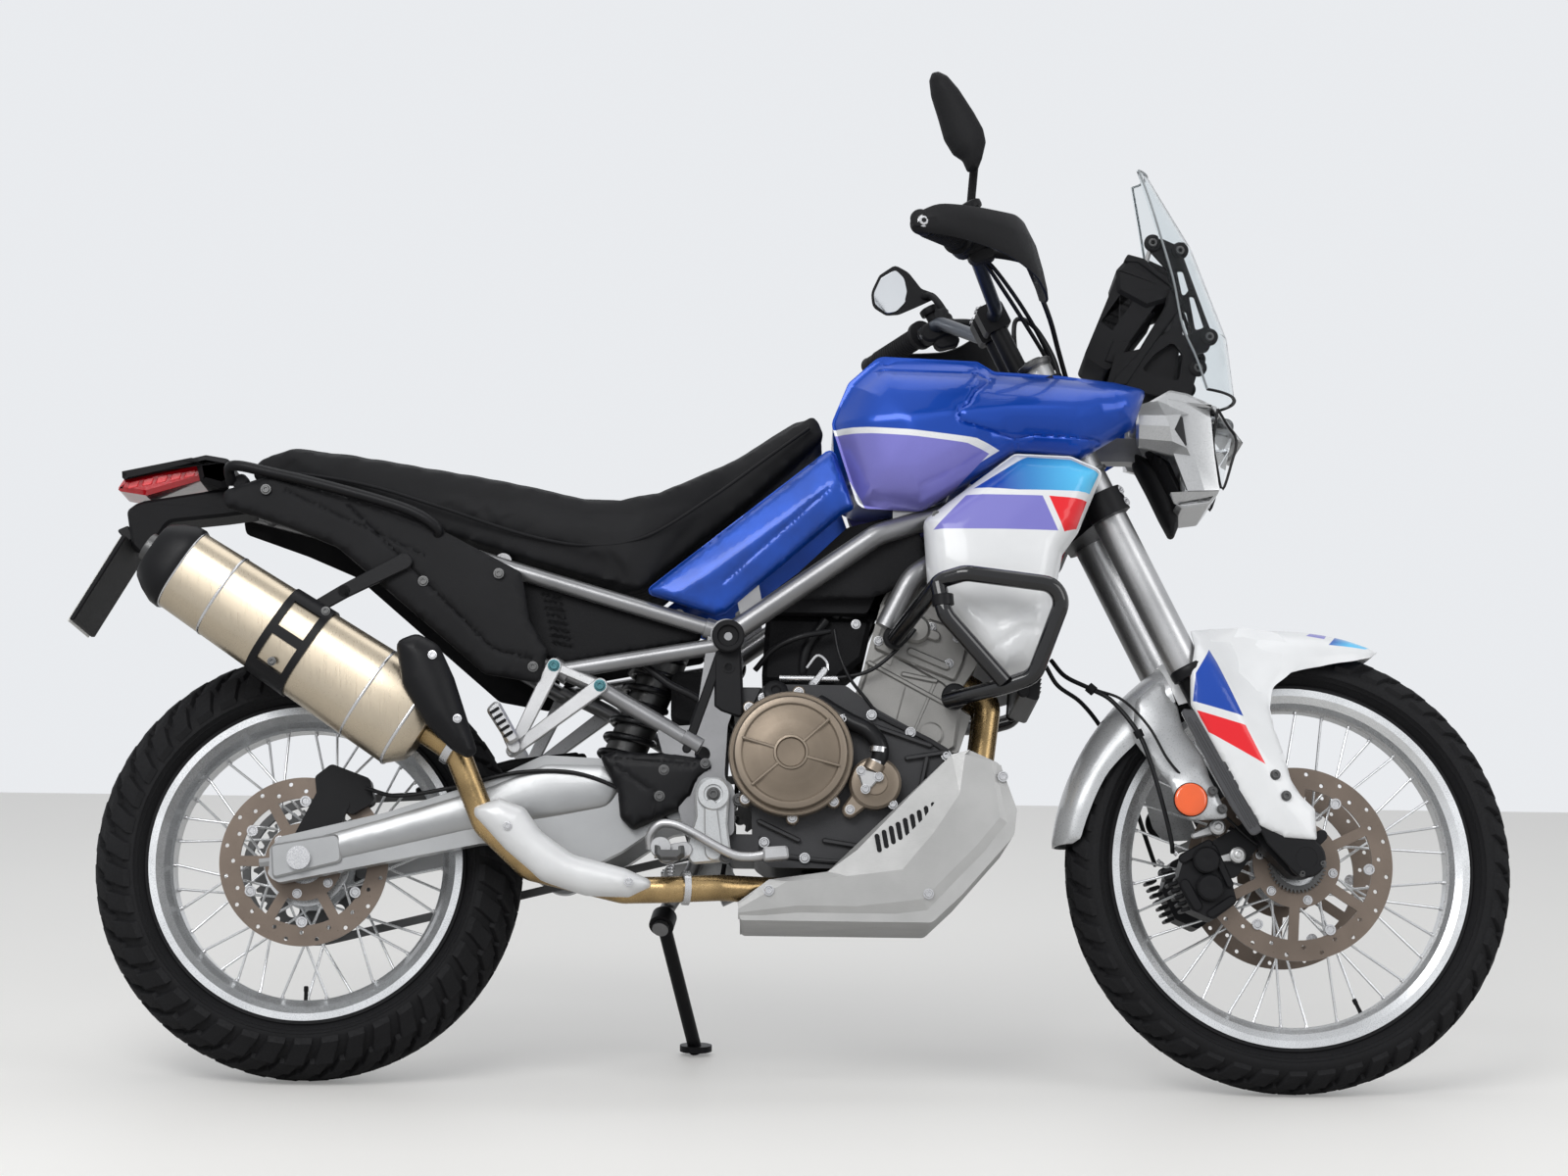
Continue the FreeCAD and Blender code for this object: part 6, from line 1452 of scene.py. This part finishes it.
switches = merged(bar((-14, 1424), (22, 1420), 17, 13, -246, -282, 4),
    bar((-4, 1402), (16, 1396), 12, 10, -250, -276, 3),
    lathe([(0, 7), (5, 7), (6, 5)], (-26, -262, 1430), (-1, 0, 0.2), 16))
bothSides("switch housing", "fork", *switches, "blackPlastic")
boltRow("switch buttons", "fork", [(-29, -254, 1424), (-29, -270, 1428)], "railGrey", 4, 3, (-1, 0, 0), mirror=True)
cap = lathe([(0, 17), (3, 18), (10, 18), (12, 15), (12, 0.1)], (14, -306, 1462), (0, 0, 1), 28)
bothSides("reservoir cap", "fork", *cap, "blackSatin")
leverShape = [[(18 + 4 * w, -298, 1434 + 5 * h), (22 + 4 * w, -322, 1436 + 5 * h), (12 + 4 * w, -350, 1438 + 4 * h),
    (-6 + 4 * w, -384, 1442 + 4 * h), (-26 + 4 * w, -408, 1447 + 4 * h)]
    for w, h in ((1, 1), (1.4, 0), (1, -1), (-1, -1), (-1.4, 0), (-1, 1))]
lever = skinRings([list(ring) for ring in zip(*leverShape)])
bothSides("hand lever", "fork", *lever, "blackSatin", sharp=30)
gripParts = []
barAxis = Vector((-91, -183, 18)).normalized()
for k in range(17):
    spot = Vector((5, -235, 1428)) + barAxis * (76 + 7.2 * k)
    gripParts.append(lathe([(0, 17), (1, 18.2), (3.6, 18.2), (4.6, 17)], tuple(spot), tuple(barAxis), 28))
bothSides("grip ribs", "fork", *merged(*gripParts), "softRubber")
print("handlebar ready")

# Clamp and riser bolts, the stem's nut and lock, clamp collars, cables and brake hoses
boltRow("upper clamp bolts", "fork", [(58, -132, 1193), (58, -112, 1193)], "brightSteel", 5, 4, (1, 0, 0),
    mirror=True)
boltRow("lower clamp bolts", "fork", [(60, -138, 998), (60, -138, 978)], "brightSteel", 6, 4, (0.5, -0.86, 0),
    mirror=True)
boltRow("riser bolts", "fork", [(13, -42, 1369), (41, -42, 1369), (13, -22, 1369), (41, -22, 1369)], "brightSteel",
        5, 4, (0, 0, 1), mirror=True)
stemNut = merged(lathe([(0, 20), (6, 20), (8, 17), (8, 9), (4, 8), (4, 0.1)], (0, 0, 1204), (0, 0, 1), 6),
    lathe([(0, 17), (14, 17), (16, 15), (16, 0.1)], (44, 0, 1192), (0, 0, 1), 28))
addMesh("stem nut and lock", "fork", *stemNut, "darkSteel")
collars = merged(lathe([(0, 27.8), (1, 33), (40, 33), (41, 27.8)], (legX, -legY, 967), (0, 0, 1), 36),
    lathe([(0, 27.8), (1, 32), (24, 32), (25, 27.8)], (legX, -legY, 1180.5), (0, 0, 1), 36))
bothSides("clamp collars", "fork", *collars, "blackSatin")
cables = {
    "throttle cable": (3.4,
        [(-6, -262, 1404), (10, -238, 1390), (30, -184, 1346), (48, -132, 1296), (60, -98, 1248), (62, -84, 1218)]),
    "second cable": (3.4,
        [(2, -258, 1400), (20, -230, 1384), (42, -178, 1340), (60, -124, 1294), (68, -90, 1252), (68, -72, 1224)]),
    "brake line": (4, [(20, -300, 1430), (52, -286, 1410), (66, -250, 1370), (76, -180, 1290), (80, -110, 1240),
        (78, -60, 1180)]),
    "clutch line": (4,
        [(20, 300, 1430), (54, 280, 1400), (72, 220, 1340), (84, 140, 1280), (80, 70, 1230), (70, 40, 1180)]),
    "loop line": (4,
        [(40, 60, 1225), (60, 78, 1300), (86, 84, 1350), (108, 84, 1330), (112, 76, 1270), (100, 66, 1215)]),
    "front brake hose": (3.6, [(-136, -30, 816), (-130, -44, 782), (-106, -62, 745), (-88, -78, 712),
        (-78, -96, 650), (-84, -104, 595), (-98, -106, 525), (-108, -96, 478), (-112, -84, 462)]),
    "second brake hose": (3.6, [(-136, 30, 816), (-130, 44, 782), (-106, 62, 745), (-92, 78, 700), (-84, 96, 640),
        (-90, 104, 585), (-100, 106, 520), (-108, 96, 478), (-112, 84, 462)]),
    "wheel sensor wire": (2.2, [(-100, -66, 740), (-74, -86, 706), (-62, -112, 650), (-60, -120, 590),
        (-46, -122, 540), (-20, -112, 480), (0, -106, 430), (20, -100, 400)]),
}
for name, (radius, points) in cables.items():
    addMesh(name, "fork", *hose(points, radius, 8, 10), "hoseBlack")
grommets = [lathe([(-6, 8), (6, 8)], (-106, -62, 745), (0.4, -0.2, -1), 16),
            lathe([(-6, 7), (6, 7)], (-78, -97, 648), (0, 0, 1), 16)]
addMesh("hose grommets", "fork", *merged(*grommets), "softRubber")
print("cables ready:", len(cables))

# Frame joints: the round cap, its black bracket, welded sleeves and the tank bay's black side panels
frameParts = {
    "cap": (649, -172, 680),
    "capProfile": [(-14, 24), (2, 25), (8, 25), (10, 23), (10, 17), (5, 15), (4, 7), (1, 6), (1, 0.1)],
    "bracket": [(628, 652, 10), (646, 664, 10), (668, 676, 10), (674, 555, 6), (640, 566, 4), (629, 574, 4)],
    "bayPanel": {
        "outline": [(746, 745, 5), (868, 749, 5), (920, 768, 10), (952, 784, 5), (948, 840, 12), (930, 872, 8),
            (876, 851, 20)],
        "inner": -132, "outer": -137, "edge": 6, "dome": 2, "domeReach": 20, "step": 9,
    },
}
capMesh = lathe(frameParts["capProfile"], frameParts["cap"], (0, -1, 0), 40)
bothSides("frame joint cap", "bike", *capMesh, "blackPlastic")
bracketMesh = merged(plate(frameParts["bracket"], -150, -161, 3), bar((640, 662), (588, 508), 10, 9, -148, -160, 4),
    lathe([(0, 9), (1.5, 9), (1.5, 6), (-1, 6), (-1, 0.1)], (650, -161, 634), (0, -1, 0), 24))
bothSides("frame bracket", "bike", *bracketMesh, "blackSatin", sharp=30)
bothSides("bay panel", "bike", *crownedPanel(frameParts["bayPanel"]), "blackGrain", sharp=50)
sleeves = []
for spot, axis, radius in (((628, -148, 692), (-0.93, 0, 0.28), 16), ((392, -145, 628), (-0.8, 0, 0.5), 15),
                           ((330, -145, 668), (-0.8, 0, 0.55), 14), ((596, -149, 520), (-0.86, 0, 0.5), 15)):
    sleeves.append(lathe([(-16, radius - 2), (-15, radius), (15, radius), (16, radius - 2)], spot, axis, 24))
bothSides("frame sleeves", "bike", *merged(*sleeves), "frameGrey")
boltRow("frame bolts", "bike", [(649, -168, 680), (668, -152, 432), (608, -152, 388)], "darkSteel", 7, 4,
    mirror=True)
print("frame details ready")

# Skid plate: the creased facets on each side, their bolts and the beads of the slots
skid = {
    "rows": [[(669, -166, 274), (716, -169, 309), (805, -170, 322), (850, -171, 356), (930, -171, 440),
        (992, -171, 503), (1020, -169, 511)], [(670, -172, 264), (744, -176, 306), (836, -177, 315),
        (918, -178, 326), (966, -178, 384), (1004, -178, 442), (1012, -176, 503)],
        [(670, -171, 258), (760, -173, 270), (850, -173, 270), (950, -173, 282), (1030, -173, 364),
            (1066, -173, 408), (1052, -172, 494)], [(670, -163, 249), (760, -163, 249), (860, -163, 249),
        (963, -163, 249), (1056, -163, 348), (1088, -163, 392), (1068, -163, 488)]],
    "bolts": [(1070, -172, 470), (716, -176, 292), (958, -174, 290)],
}


def facetSolid(rows, back):
    # A closed faceted shell: rows of points on its outer face, flat behind
    rings = [row + [(x, back, z) for x, _, z in row[::-1]] for row in rows]
    return skinRings(rings)


bothSides("skid facets", "bike", *facetSolid(skid["rows"], -161), "skidSilver", sharp=8)
boltRow("skid bolts", "bike", skid["bolts"], "brightSteel", 6, 4, mirror=True)
slots = [(881 + 10.6 * k, 366 + 6.2 * k) for k in range(10)]
beads = [bar((x - 2, z + 10.5), (x + 2, z - 10.5), 3.6, 3.6, -166, -175.2, 0.6) for x, z in slots]
bothSides("skid slot beads", "bike", *merged(*beads), "blackSatin")
print("skid plate ready")

# Crash bars: clamp plates and rubber caps where they meet the engine
barClamps = merged(lathe([(-30, 15), (0, 20), (16, 20), (19, 17), (19, 0.1)], (996, -152, 593), (0, -1, 0), 32),
    lathe([(-24, 14), (0, 18), (10, 18), (12, 15), (12, 0.1)], (904, -150, 684), (0, -1, 0), 32),
    lathe([(-9, 14.2), (-8, 16.5), (8, 16.5), (9, 14.2)], (972, -287, 722), (0.1, 0, -1), 24))
bothSides("crash bar clamps", "bike", *barClamps, "blackSatin", sharp=30)
boltRow("crash bar bolts", "bike", [(996, -171, 593), (904, -162, 684)], "darkSteel", 7, 4, mirror=True)

# Nose: stepped silver wings round the lamp, the chin, the lamp's rim, visor and reflectors
nose = {
    "wing": [[(1281, -100, 1064), (1312, -104, 1073), (1364, -108, 1050)],
        [(1281, -138, 1041), (1322, -140, 1041), (1348, -130, 1045)],
        [(1281, -147, 1024), (1328, -148, 1022), (1336, -143, 1018)],
        [(1281, -138, 1004), (1333, -139, 1000), (1356, -133, 991)],
        [(1284, -106, 998), (1336, -106, 984), (1365, -108, 981)]],
    "side": [[(1334, -90, 1090), (1360, -90, 1085), (1396, -88, 1068)],
        [(1330, -110, 1072), (1358, -110, 1066), (1397, -104, 1045)],
        [(1336, -112, 990), (1368, -113, 988), (1402, -106, 985)],
        [(1360, -108, 928), (1386, -108, 929), (1410, -101, 931)]],
    "chin": [[(1334, -104, 926), (1361, -108, 927), (1410, -101, 930)],
        [(1340, -90, 912), (1352, -88, 904), (1394, -86, 910)]],
    "roof": [(1284, 1060, 6), (1333, 1089, 8), (1360, 1084, 10), (1398, 1067, 6), (1402, 1061, 3), (1352, 1066, 6),
        (1290, 1050, 5)],
    "floor": [(1340, 912, 4), (1352, 903, 6), (1395, 909, 6), (1411, 930, 3), (1405, 932, 3), (1392, 916, 5),
        (1354, 911, 5)],
    "window": [(1339, 1041, 3), (1351, 1045, 3), (1358, 996, 2), (1339, 1004, 3)],
}
roof = addMesh("nose roof", "bike", *plate(nose["roof"], -106, 106, 4), "noseSilver", sharp=30)
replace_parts(roof, "headlight_surround")
addMesh("nose floor", "bike", *plate(nose["floor"], -96, 96, 3), "noseSilver", sharp=30)
for name in ("wing", "side", "chin"):
    back = -86 if name == "chin" else -94
    bothSides("nose " + name, "bike", *facetSolid(nose[name], back), "noseSilver", sharp=12)
bothSides("nose window", "bike", *plate(nose["window"], -110, -120, 1), "blackGloss")
visor = plate([(1394, 1068, 3), (1406, 1067, 4), (1424, 1042, 6), (1446, 1012, 2), (1450, 1006, 1), (1436, 1014, 4),
    (1418, 1040, 6), (1402, 1060, 4)], -93, 93, 1.5)
addMesh("lamp visor", "bike", *visor, "noseSilver", sharp=30)
rim = [(1409, -93, 1062), (1424, -93, 1036), (1438, -92, 1012), (1430, -92, 975), (1416, -92, 934),
    (1408, -93, 965), (1402, -93, 1010), (1409, -93, 1062)]
bothSides("lamp rim", "bike", *hose(rim, 2.2, 4, 8), "blackSatin")
bowls, eyes = [], []
for y, z, radius in ((-46, 1022, 24), (-46, 968, 22), (46, 1022, 24), (46, 968, 22)):
    bowls.append(lathe([(-30, 8), (-24, 14), (-12, 20), (0, radius), (2, radius + 1.5), (0, radius + 3)],
        (1404, y, z), (1, 0, -0.1), 36))
    eyes.append(lathe([(0, 13), (4, 12.6), (8, 10), (11, 6), (12, 0.1)], (1388, y, z), (1, 0, -0.1), 30))
addMesh("lamp reflectors", "bike", *merged(*bowls), "mirrorGlass")
addMesh("lamp projectors", "bike", *merged(*eyes), "lampGlow")
lampBars = [bar((1392, 994), (1424, 998), 2.5, 2.5, -84, 84, 1),
    bar((1398, 1048), (1408, 1052), 2.5, 2.5, -80, 80, 1)]
addMesh("lamp light bars", "bike", *merged(*lampBars), "lampGlow")
lampBack = plate([(1349, 1054, 6), (1372, 1052, 6), (1366, 930, 8), (1354, 918, 6)], -88, 88, 3)
addMesh("lamp back", "bike", *lampBack, "castSilver")
lower = {
    "outline": [(1293, 1010, 4), (1338, 984, 6), (1362, 930, 3), (1352, 908, 4), (1347, 906, 4), (1334, 934, 8),
        (1309, 984, 8)],
    "inner": -38, "outer": -84, "edge": 16, "dome": 3, "domeReach": 30, "step": 7,
}
bothSides("nose lower housing", "bike", *crownedPanel(lower), "blackPlastic", sharp=45)
bulb = {
    "outline": [(1281, 1010, 6), (1336, 984, 8), (1356, 930, 10), (1356, 890, 10), (1348, 870, 6), (1340, 872, 6),
        (1325, 900, 12), (1306, 940, 14), (1284, 982, 10)],
    "inner": 0, "outer": -38, "edge": 18, "dome": 4, "domeReach": 30, "step": 8,
}
bothSides("nose lower middle", "bike", *crownedPanel(bulb), "blackPlastic", sharp=45)
print("nose ready")

# Cockpit: stacked black housings on a mast sheet, the display, and the screen's bolts and rim
cockpitParts = {
    "top": ([(1252, 1288, 4), (1269, 1307, 5), (1287, 1305, 5), (1347, 1259, 5), (1332, 1238, 5), (1299, 1227, 5),
        (1281, 1237, 5), (1253, 1252, 5)], 78, 6),
    "middle": ([(1251, 1252, 5), (1299, 1228, 4), (1281, 1206, 4), (1263, 1211, 4), (1250, 1227, 5)], 70, 5),
    "lower": ([(1298, 1231, 4), (1316, 1222, 4), (1288, 1184, 5), (1253, 1133, 4), (1230, 1140, 4), (1243, 1148, 4),
        (1254, 1180, 5), (1268, 1186, 5)], 66, 5),
    "foot": ([(1246, 1178, 4), (1278, 1174, 4), (1256, 1132, 4), (1230, 1139, 4)], 74, 4),
    "mast": ([(1334, 1262, 5), (1361, 1236, 5), (1300, 1150, 6), (1268, 1100, 5), (1240, 1098, 5), (1250, 1116, 5),
        (1282, 1150, 6), (1328, 1228, 6)], 82, 3),
    "block": ([(1345, 1196, 6), (1352, 1160, 6), (1346, 1098, 5), (1262, 1094, 5), (1254, 1108, 5), (1300, 1146, 8),
        (1328, 1190, 6)], 68, 5),
}
for name, (outline, half, bevel) in cockpitParts.items():
    addMesh("cockpit " + name, "bike", *plate(outline, -half, half, bevel), "blackPlastic", sharp=35)
screenTurn = Vector((-0.82, 0, 0.57))
screenUp = Vector((0.57, 0, 0.82))


def facing(centre, halfWide, halfHigh, lift, depth, bevel):
    # A slim box lying on the display's slanted face
    rings = []
    for out, inset in ((-depth, 0), (lift - bevel, 0), (lift, bevel)):
        ring = []
        for y, z in ((-1, -1), (1, -1), (1, 1), (-1, 1)):
            spot = (Vector(centre) + screenTurn * out + screenUp * z * (halfHigh - inset)
                    + Vector((0, y * (halfWide - inset), 0)))
            ring.append(tuple(spot))
        rings.append(ring)
    return skinRings(rings)


addMesh("display bezel", "bike", *facing((1256, 0, 1240), 72, 46, 6, 20, 3), "blackSatin", sharp=30)
addMesh("display glass", "bike", *facing((1256, 0, 1240), 62, 37, 7.5, 2, 0.6), "screenBlack", sharp=30)
tiles = [facing((1256 + 0.57 * dz, y, 1240 + 0.82 * dz), w, h, 8, 1, 0.3) for y, dz, w, h in
         ((-34, 16, 20, 9), (20, 16, 26, 3), (20, 4, 26, 3), (-34, -14, 20, 4), (20, -16, 26, 8))]
addMesh("display fields", "bike", *merged(*tiles), "displayBlue", sharp=30)
visorTop = plate([(1262, 1300, 3), (1270, 1313, 3), (1296, 1306, 4), (1349, 1262, 3), (1340, 1258, 3),
    (1286, 1299, 4)], -80, 80, 2)
addMesh("display hood", "bike", *visorTop, "blackPlastic", sharp=30)
screenSpots = [(1309, 1331), (1352, 1319), (1398, 1180), (1380, 1130)]
boltRow("screen bolts", "bike", [(x, -82, z) for x, z in screenSpots], "darkSteel", 7, 4, mirror=True)
knobs = [lathe([(-4, 12), (-3, 13.5), (3, 13.5), (4, 12)], (x, -80, z), (0, -1, 0), 24) for x, z in screenSpots]
bothSides("screen knobs", "bike", *merged(*knobs), "blackPlastic")
rods = hose([(1296, -60, 1284), (1302, -66, 1310), (1309, -74, 1331)], 4, 4, 10)
bothSides("screen rods", "bike", *rods, "castSilver")

# The screen's rims: (height, x in the middle, x at the side, half width)
levels = [(1092, 1446, 1392, 100), (1140, 1441, 1374, 110), (1189, 1434, 1352, 118), (1262, 1408, 1338, 117),
          (1336, 1378, 1318, 112), (1400, 1344, 1304, 84), (1457, 1308, 1290, 52)]


def screenArc(level):
    height, front, side, half = level
    sag = front - side
    radius = (half * half + sag * sag) / (2 * sag)
    reach = math.asin(min(1, half / radius))
    if sag >= half:
        reach = math.pi - reach
    count = 24
    return [(front - radius + radius * math.cos(a), radius * math.sin(a), height)
            for a in (reach * (2 * k / count - 1) for k in range(count + 1))]


arcs = [screenArc(level) for level in levels]
bothSides("screen edge", "bike", *hose([(arc[0][0], arc[0][1] - 0.5, arc[0][2]) for arc in arcs], 1.8, 5, 8),
          "screenTrim")
addMesh("screen top edge", "bike", *hose(arcs[-1], 1.8, 2, 8), "screenTrim")
addMesh("screen bottom edge", "bike", *hose(arcs[0], 2.4, 2, 8), "blackSatin")
print("cockpit ready")

# Radiator tanks and fins, shock spring, swing arm faces with their adjusters, chain guard
rails = merged(*[bar((1102, 604), (1114, 826), 9, 9, near, near + 12, 3) for near in (-150, 138)],
    lathe([(0, 13), (6, 13), (8, 11), (10, 15), (18, 15), (20, 12)], (1116, -118, 794), (0, 0, 1), 28))
addMesh("radiator tanks", "bike", *rails, "blackSatin", sharp=30)
finPlates = []
for k in range(34):
    z = 606 + 6.4 * k
    x = 1124 + 0.058 * (z - 600)
    finPlates.append(plate([(x, z, 0), (x + 6, z, 0), (x + 6, z + 1.2, 0), (x, z + 1.2, 0)], -134, 134, 0.3, 40))
addMesh("radiator fins", "bike", *merged(*finPlates), "darkSteel", smooth=False)
shock = {
    "start": (478, 0, 494), "run": (105, 0, 290), "share": 0.62, "turns": 7, "parts": 20, "radius": 36, "wire": 6,
}
coil = []
for k in range(shock["turns"] * shock["parts"] + 1):
    a = 2 * math.pi * k / shock["parts"]
    along = shock["share"] * k / (shock["turns"] * shock["parts"])
    across = Vector((0.94 * math.cos(a), math.sin(a), -0.34 * math.cos(a)))
    coil.append(tuple(Vector(shock["start"]) + Vector(shock["run"]) * along + across * shock["radius"]))
addMesh("shock spring", "bike", *hose(coil, shock["wire"], 1, 10), "springBlack")
ridge = crownedPanel({
    "outline": [(-30, 352, 8), (130, 400, 30), (290, 452, 30), (372, 488, 30), (460, 486, 20), (500, 470, 20),
        (470, 420, 30), (390, 404, 40), (250, 380, 40), (60, 334, 30), (-28, 322, 8)],
    "inner": -134.5, "outer": -141, "edge": 22, "dome": 4, "domeReach": 40, "step": 11,
    "folds": [((-30, 340), (460, 452), 0.05)],
})
bothSides("swing arm face", "bike", *ridge, "armSilver", sharp=45)
adjusters = merged(plate([(-44, 355, 6), (60, 374, 10), (66, 330, 10), (-40, 303, 6)], -135, -143, 3),
    lathe([(0, 15), (6, 15), (8, 12), (8, 0.1)], (0, -143, 334.8), (0, -1, 0), 6),
    lathe([(0, 7), (26, 7)], (-62, -126, 328), (1, 0, 0.12), 6))
bothSides("axle adjusters", "bike", *adjusters, "armSilver", sharp=30)
guardTop = merged(plate([(150, 470, 8), (300, 512, 20), (420, 530, 10), (424, 520, 6), (300, 500, 20),
    (154, 460, 6)], 96, 122, 3), plate([(180, 486, 8), (300, 520, 20), (410, 534, 6), (410, 505, 6), (300, 488, 20),
    (180, 462, 6)], 118, 122, 1))
addMesh("chain guard", "bike", *guardTop, "blackPlastic", sharp=30)
print("chassis details ready")

# Which finish each carried-over CAD node wears
nodeSkins = {
    "frameGrey": ["main_frame"], "engineGrey": ["engine_case"], "taupeCast": ["engine_covers"],
    "headCast": ["cylinder_head"], "goldPipe": ["exhaust_pipes"], "brushedCan": ["muffler"],
    "blackGrain": ["air_box"], "whiteMatt": ["pipe_shield"], "skidSilver": ["skid_plate"],
    "armSilver": ["swingarm"],
    "noseSilver": ["headlight_surround"],
    "blackSatin": ["radiator", "rear_caliper", "front_calipers", "muffler_cap", "triple_clamps", "side_stand",
        "fork_legs"],
    "blackPlastic": ["bar_controls", "muffler_shield", "muffler_strap", "cockpit", "side_covers", "grab_rails",
        "plate_holder", "handguards", "mirrors"],
    "silverSatin": ["foot_pegs", "foot_levers", "fork_tubes"],
    "blackGloss": ["crash_bars"],
    "bluePaint": ["fuel_tank", "tank_panels", "lower_panels"],
    "whitePaint": ["shrouds", "front_fender"],
    "clearLens": ["headlight"], "clearScreen": ["windscreen"], "seatVinyl": ["seat"], "redLens": ["tail_light"],
    "darkSteel": ["rear_shock", "chain", "front_sprocket", "rear_sprocket"],
    "brightSteel": ["rear_axle"], "smoked": ["fork_guards"], "barGrey": ["handlebar"], "softRubber": ["bar_grips"],
    "tyreRubber": ["front_tyre", "rear_tyre"],
    "rimSilver": ["front_rim", "rear_rim"],
    "discSteel": ["front_discs", "rear_disc"],
}
for skin, members in nodeSkins.items():
    for name in members:
        nodes[name].data.materials.clear()
        nodes[name].data.materials.append(skins[skin])
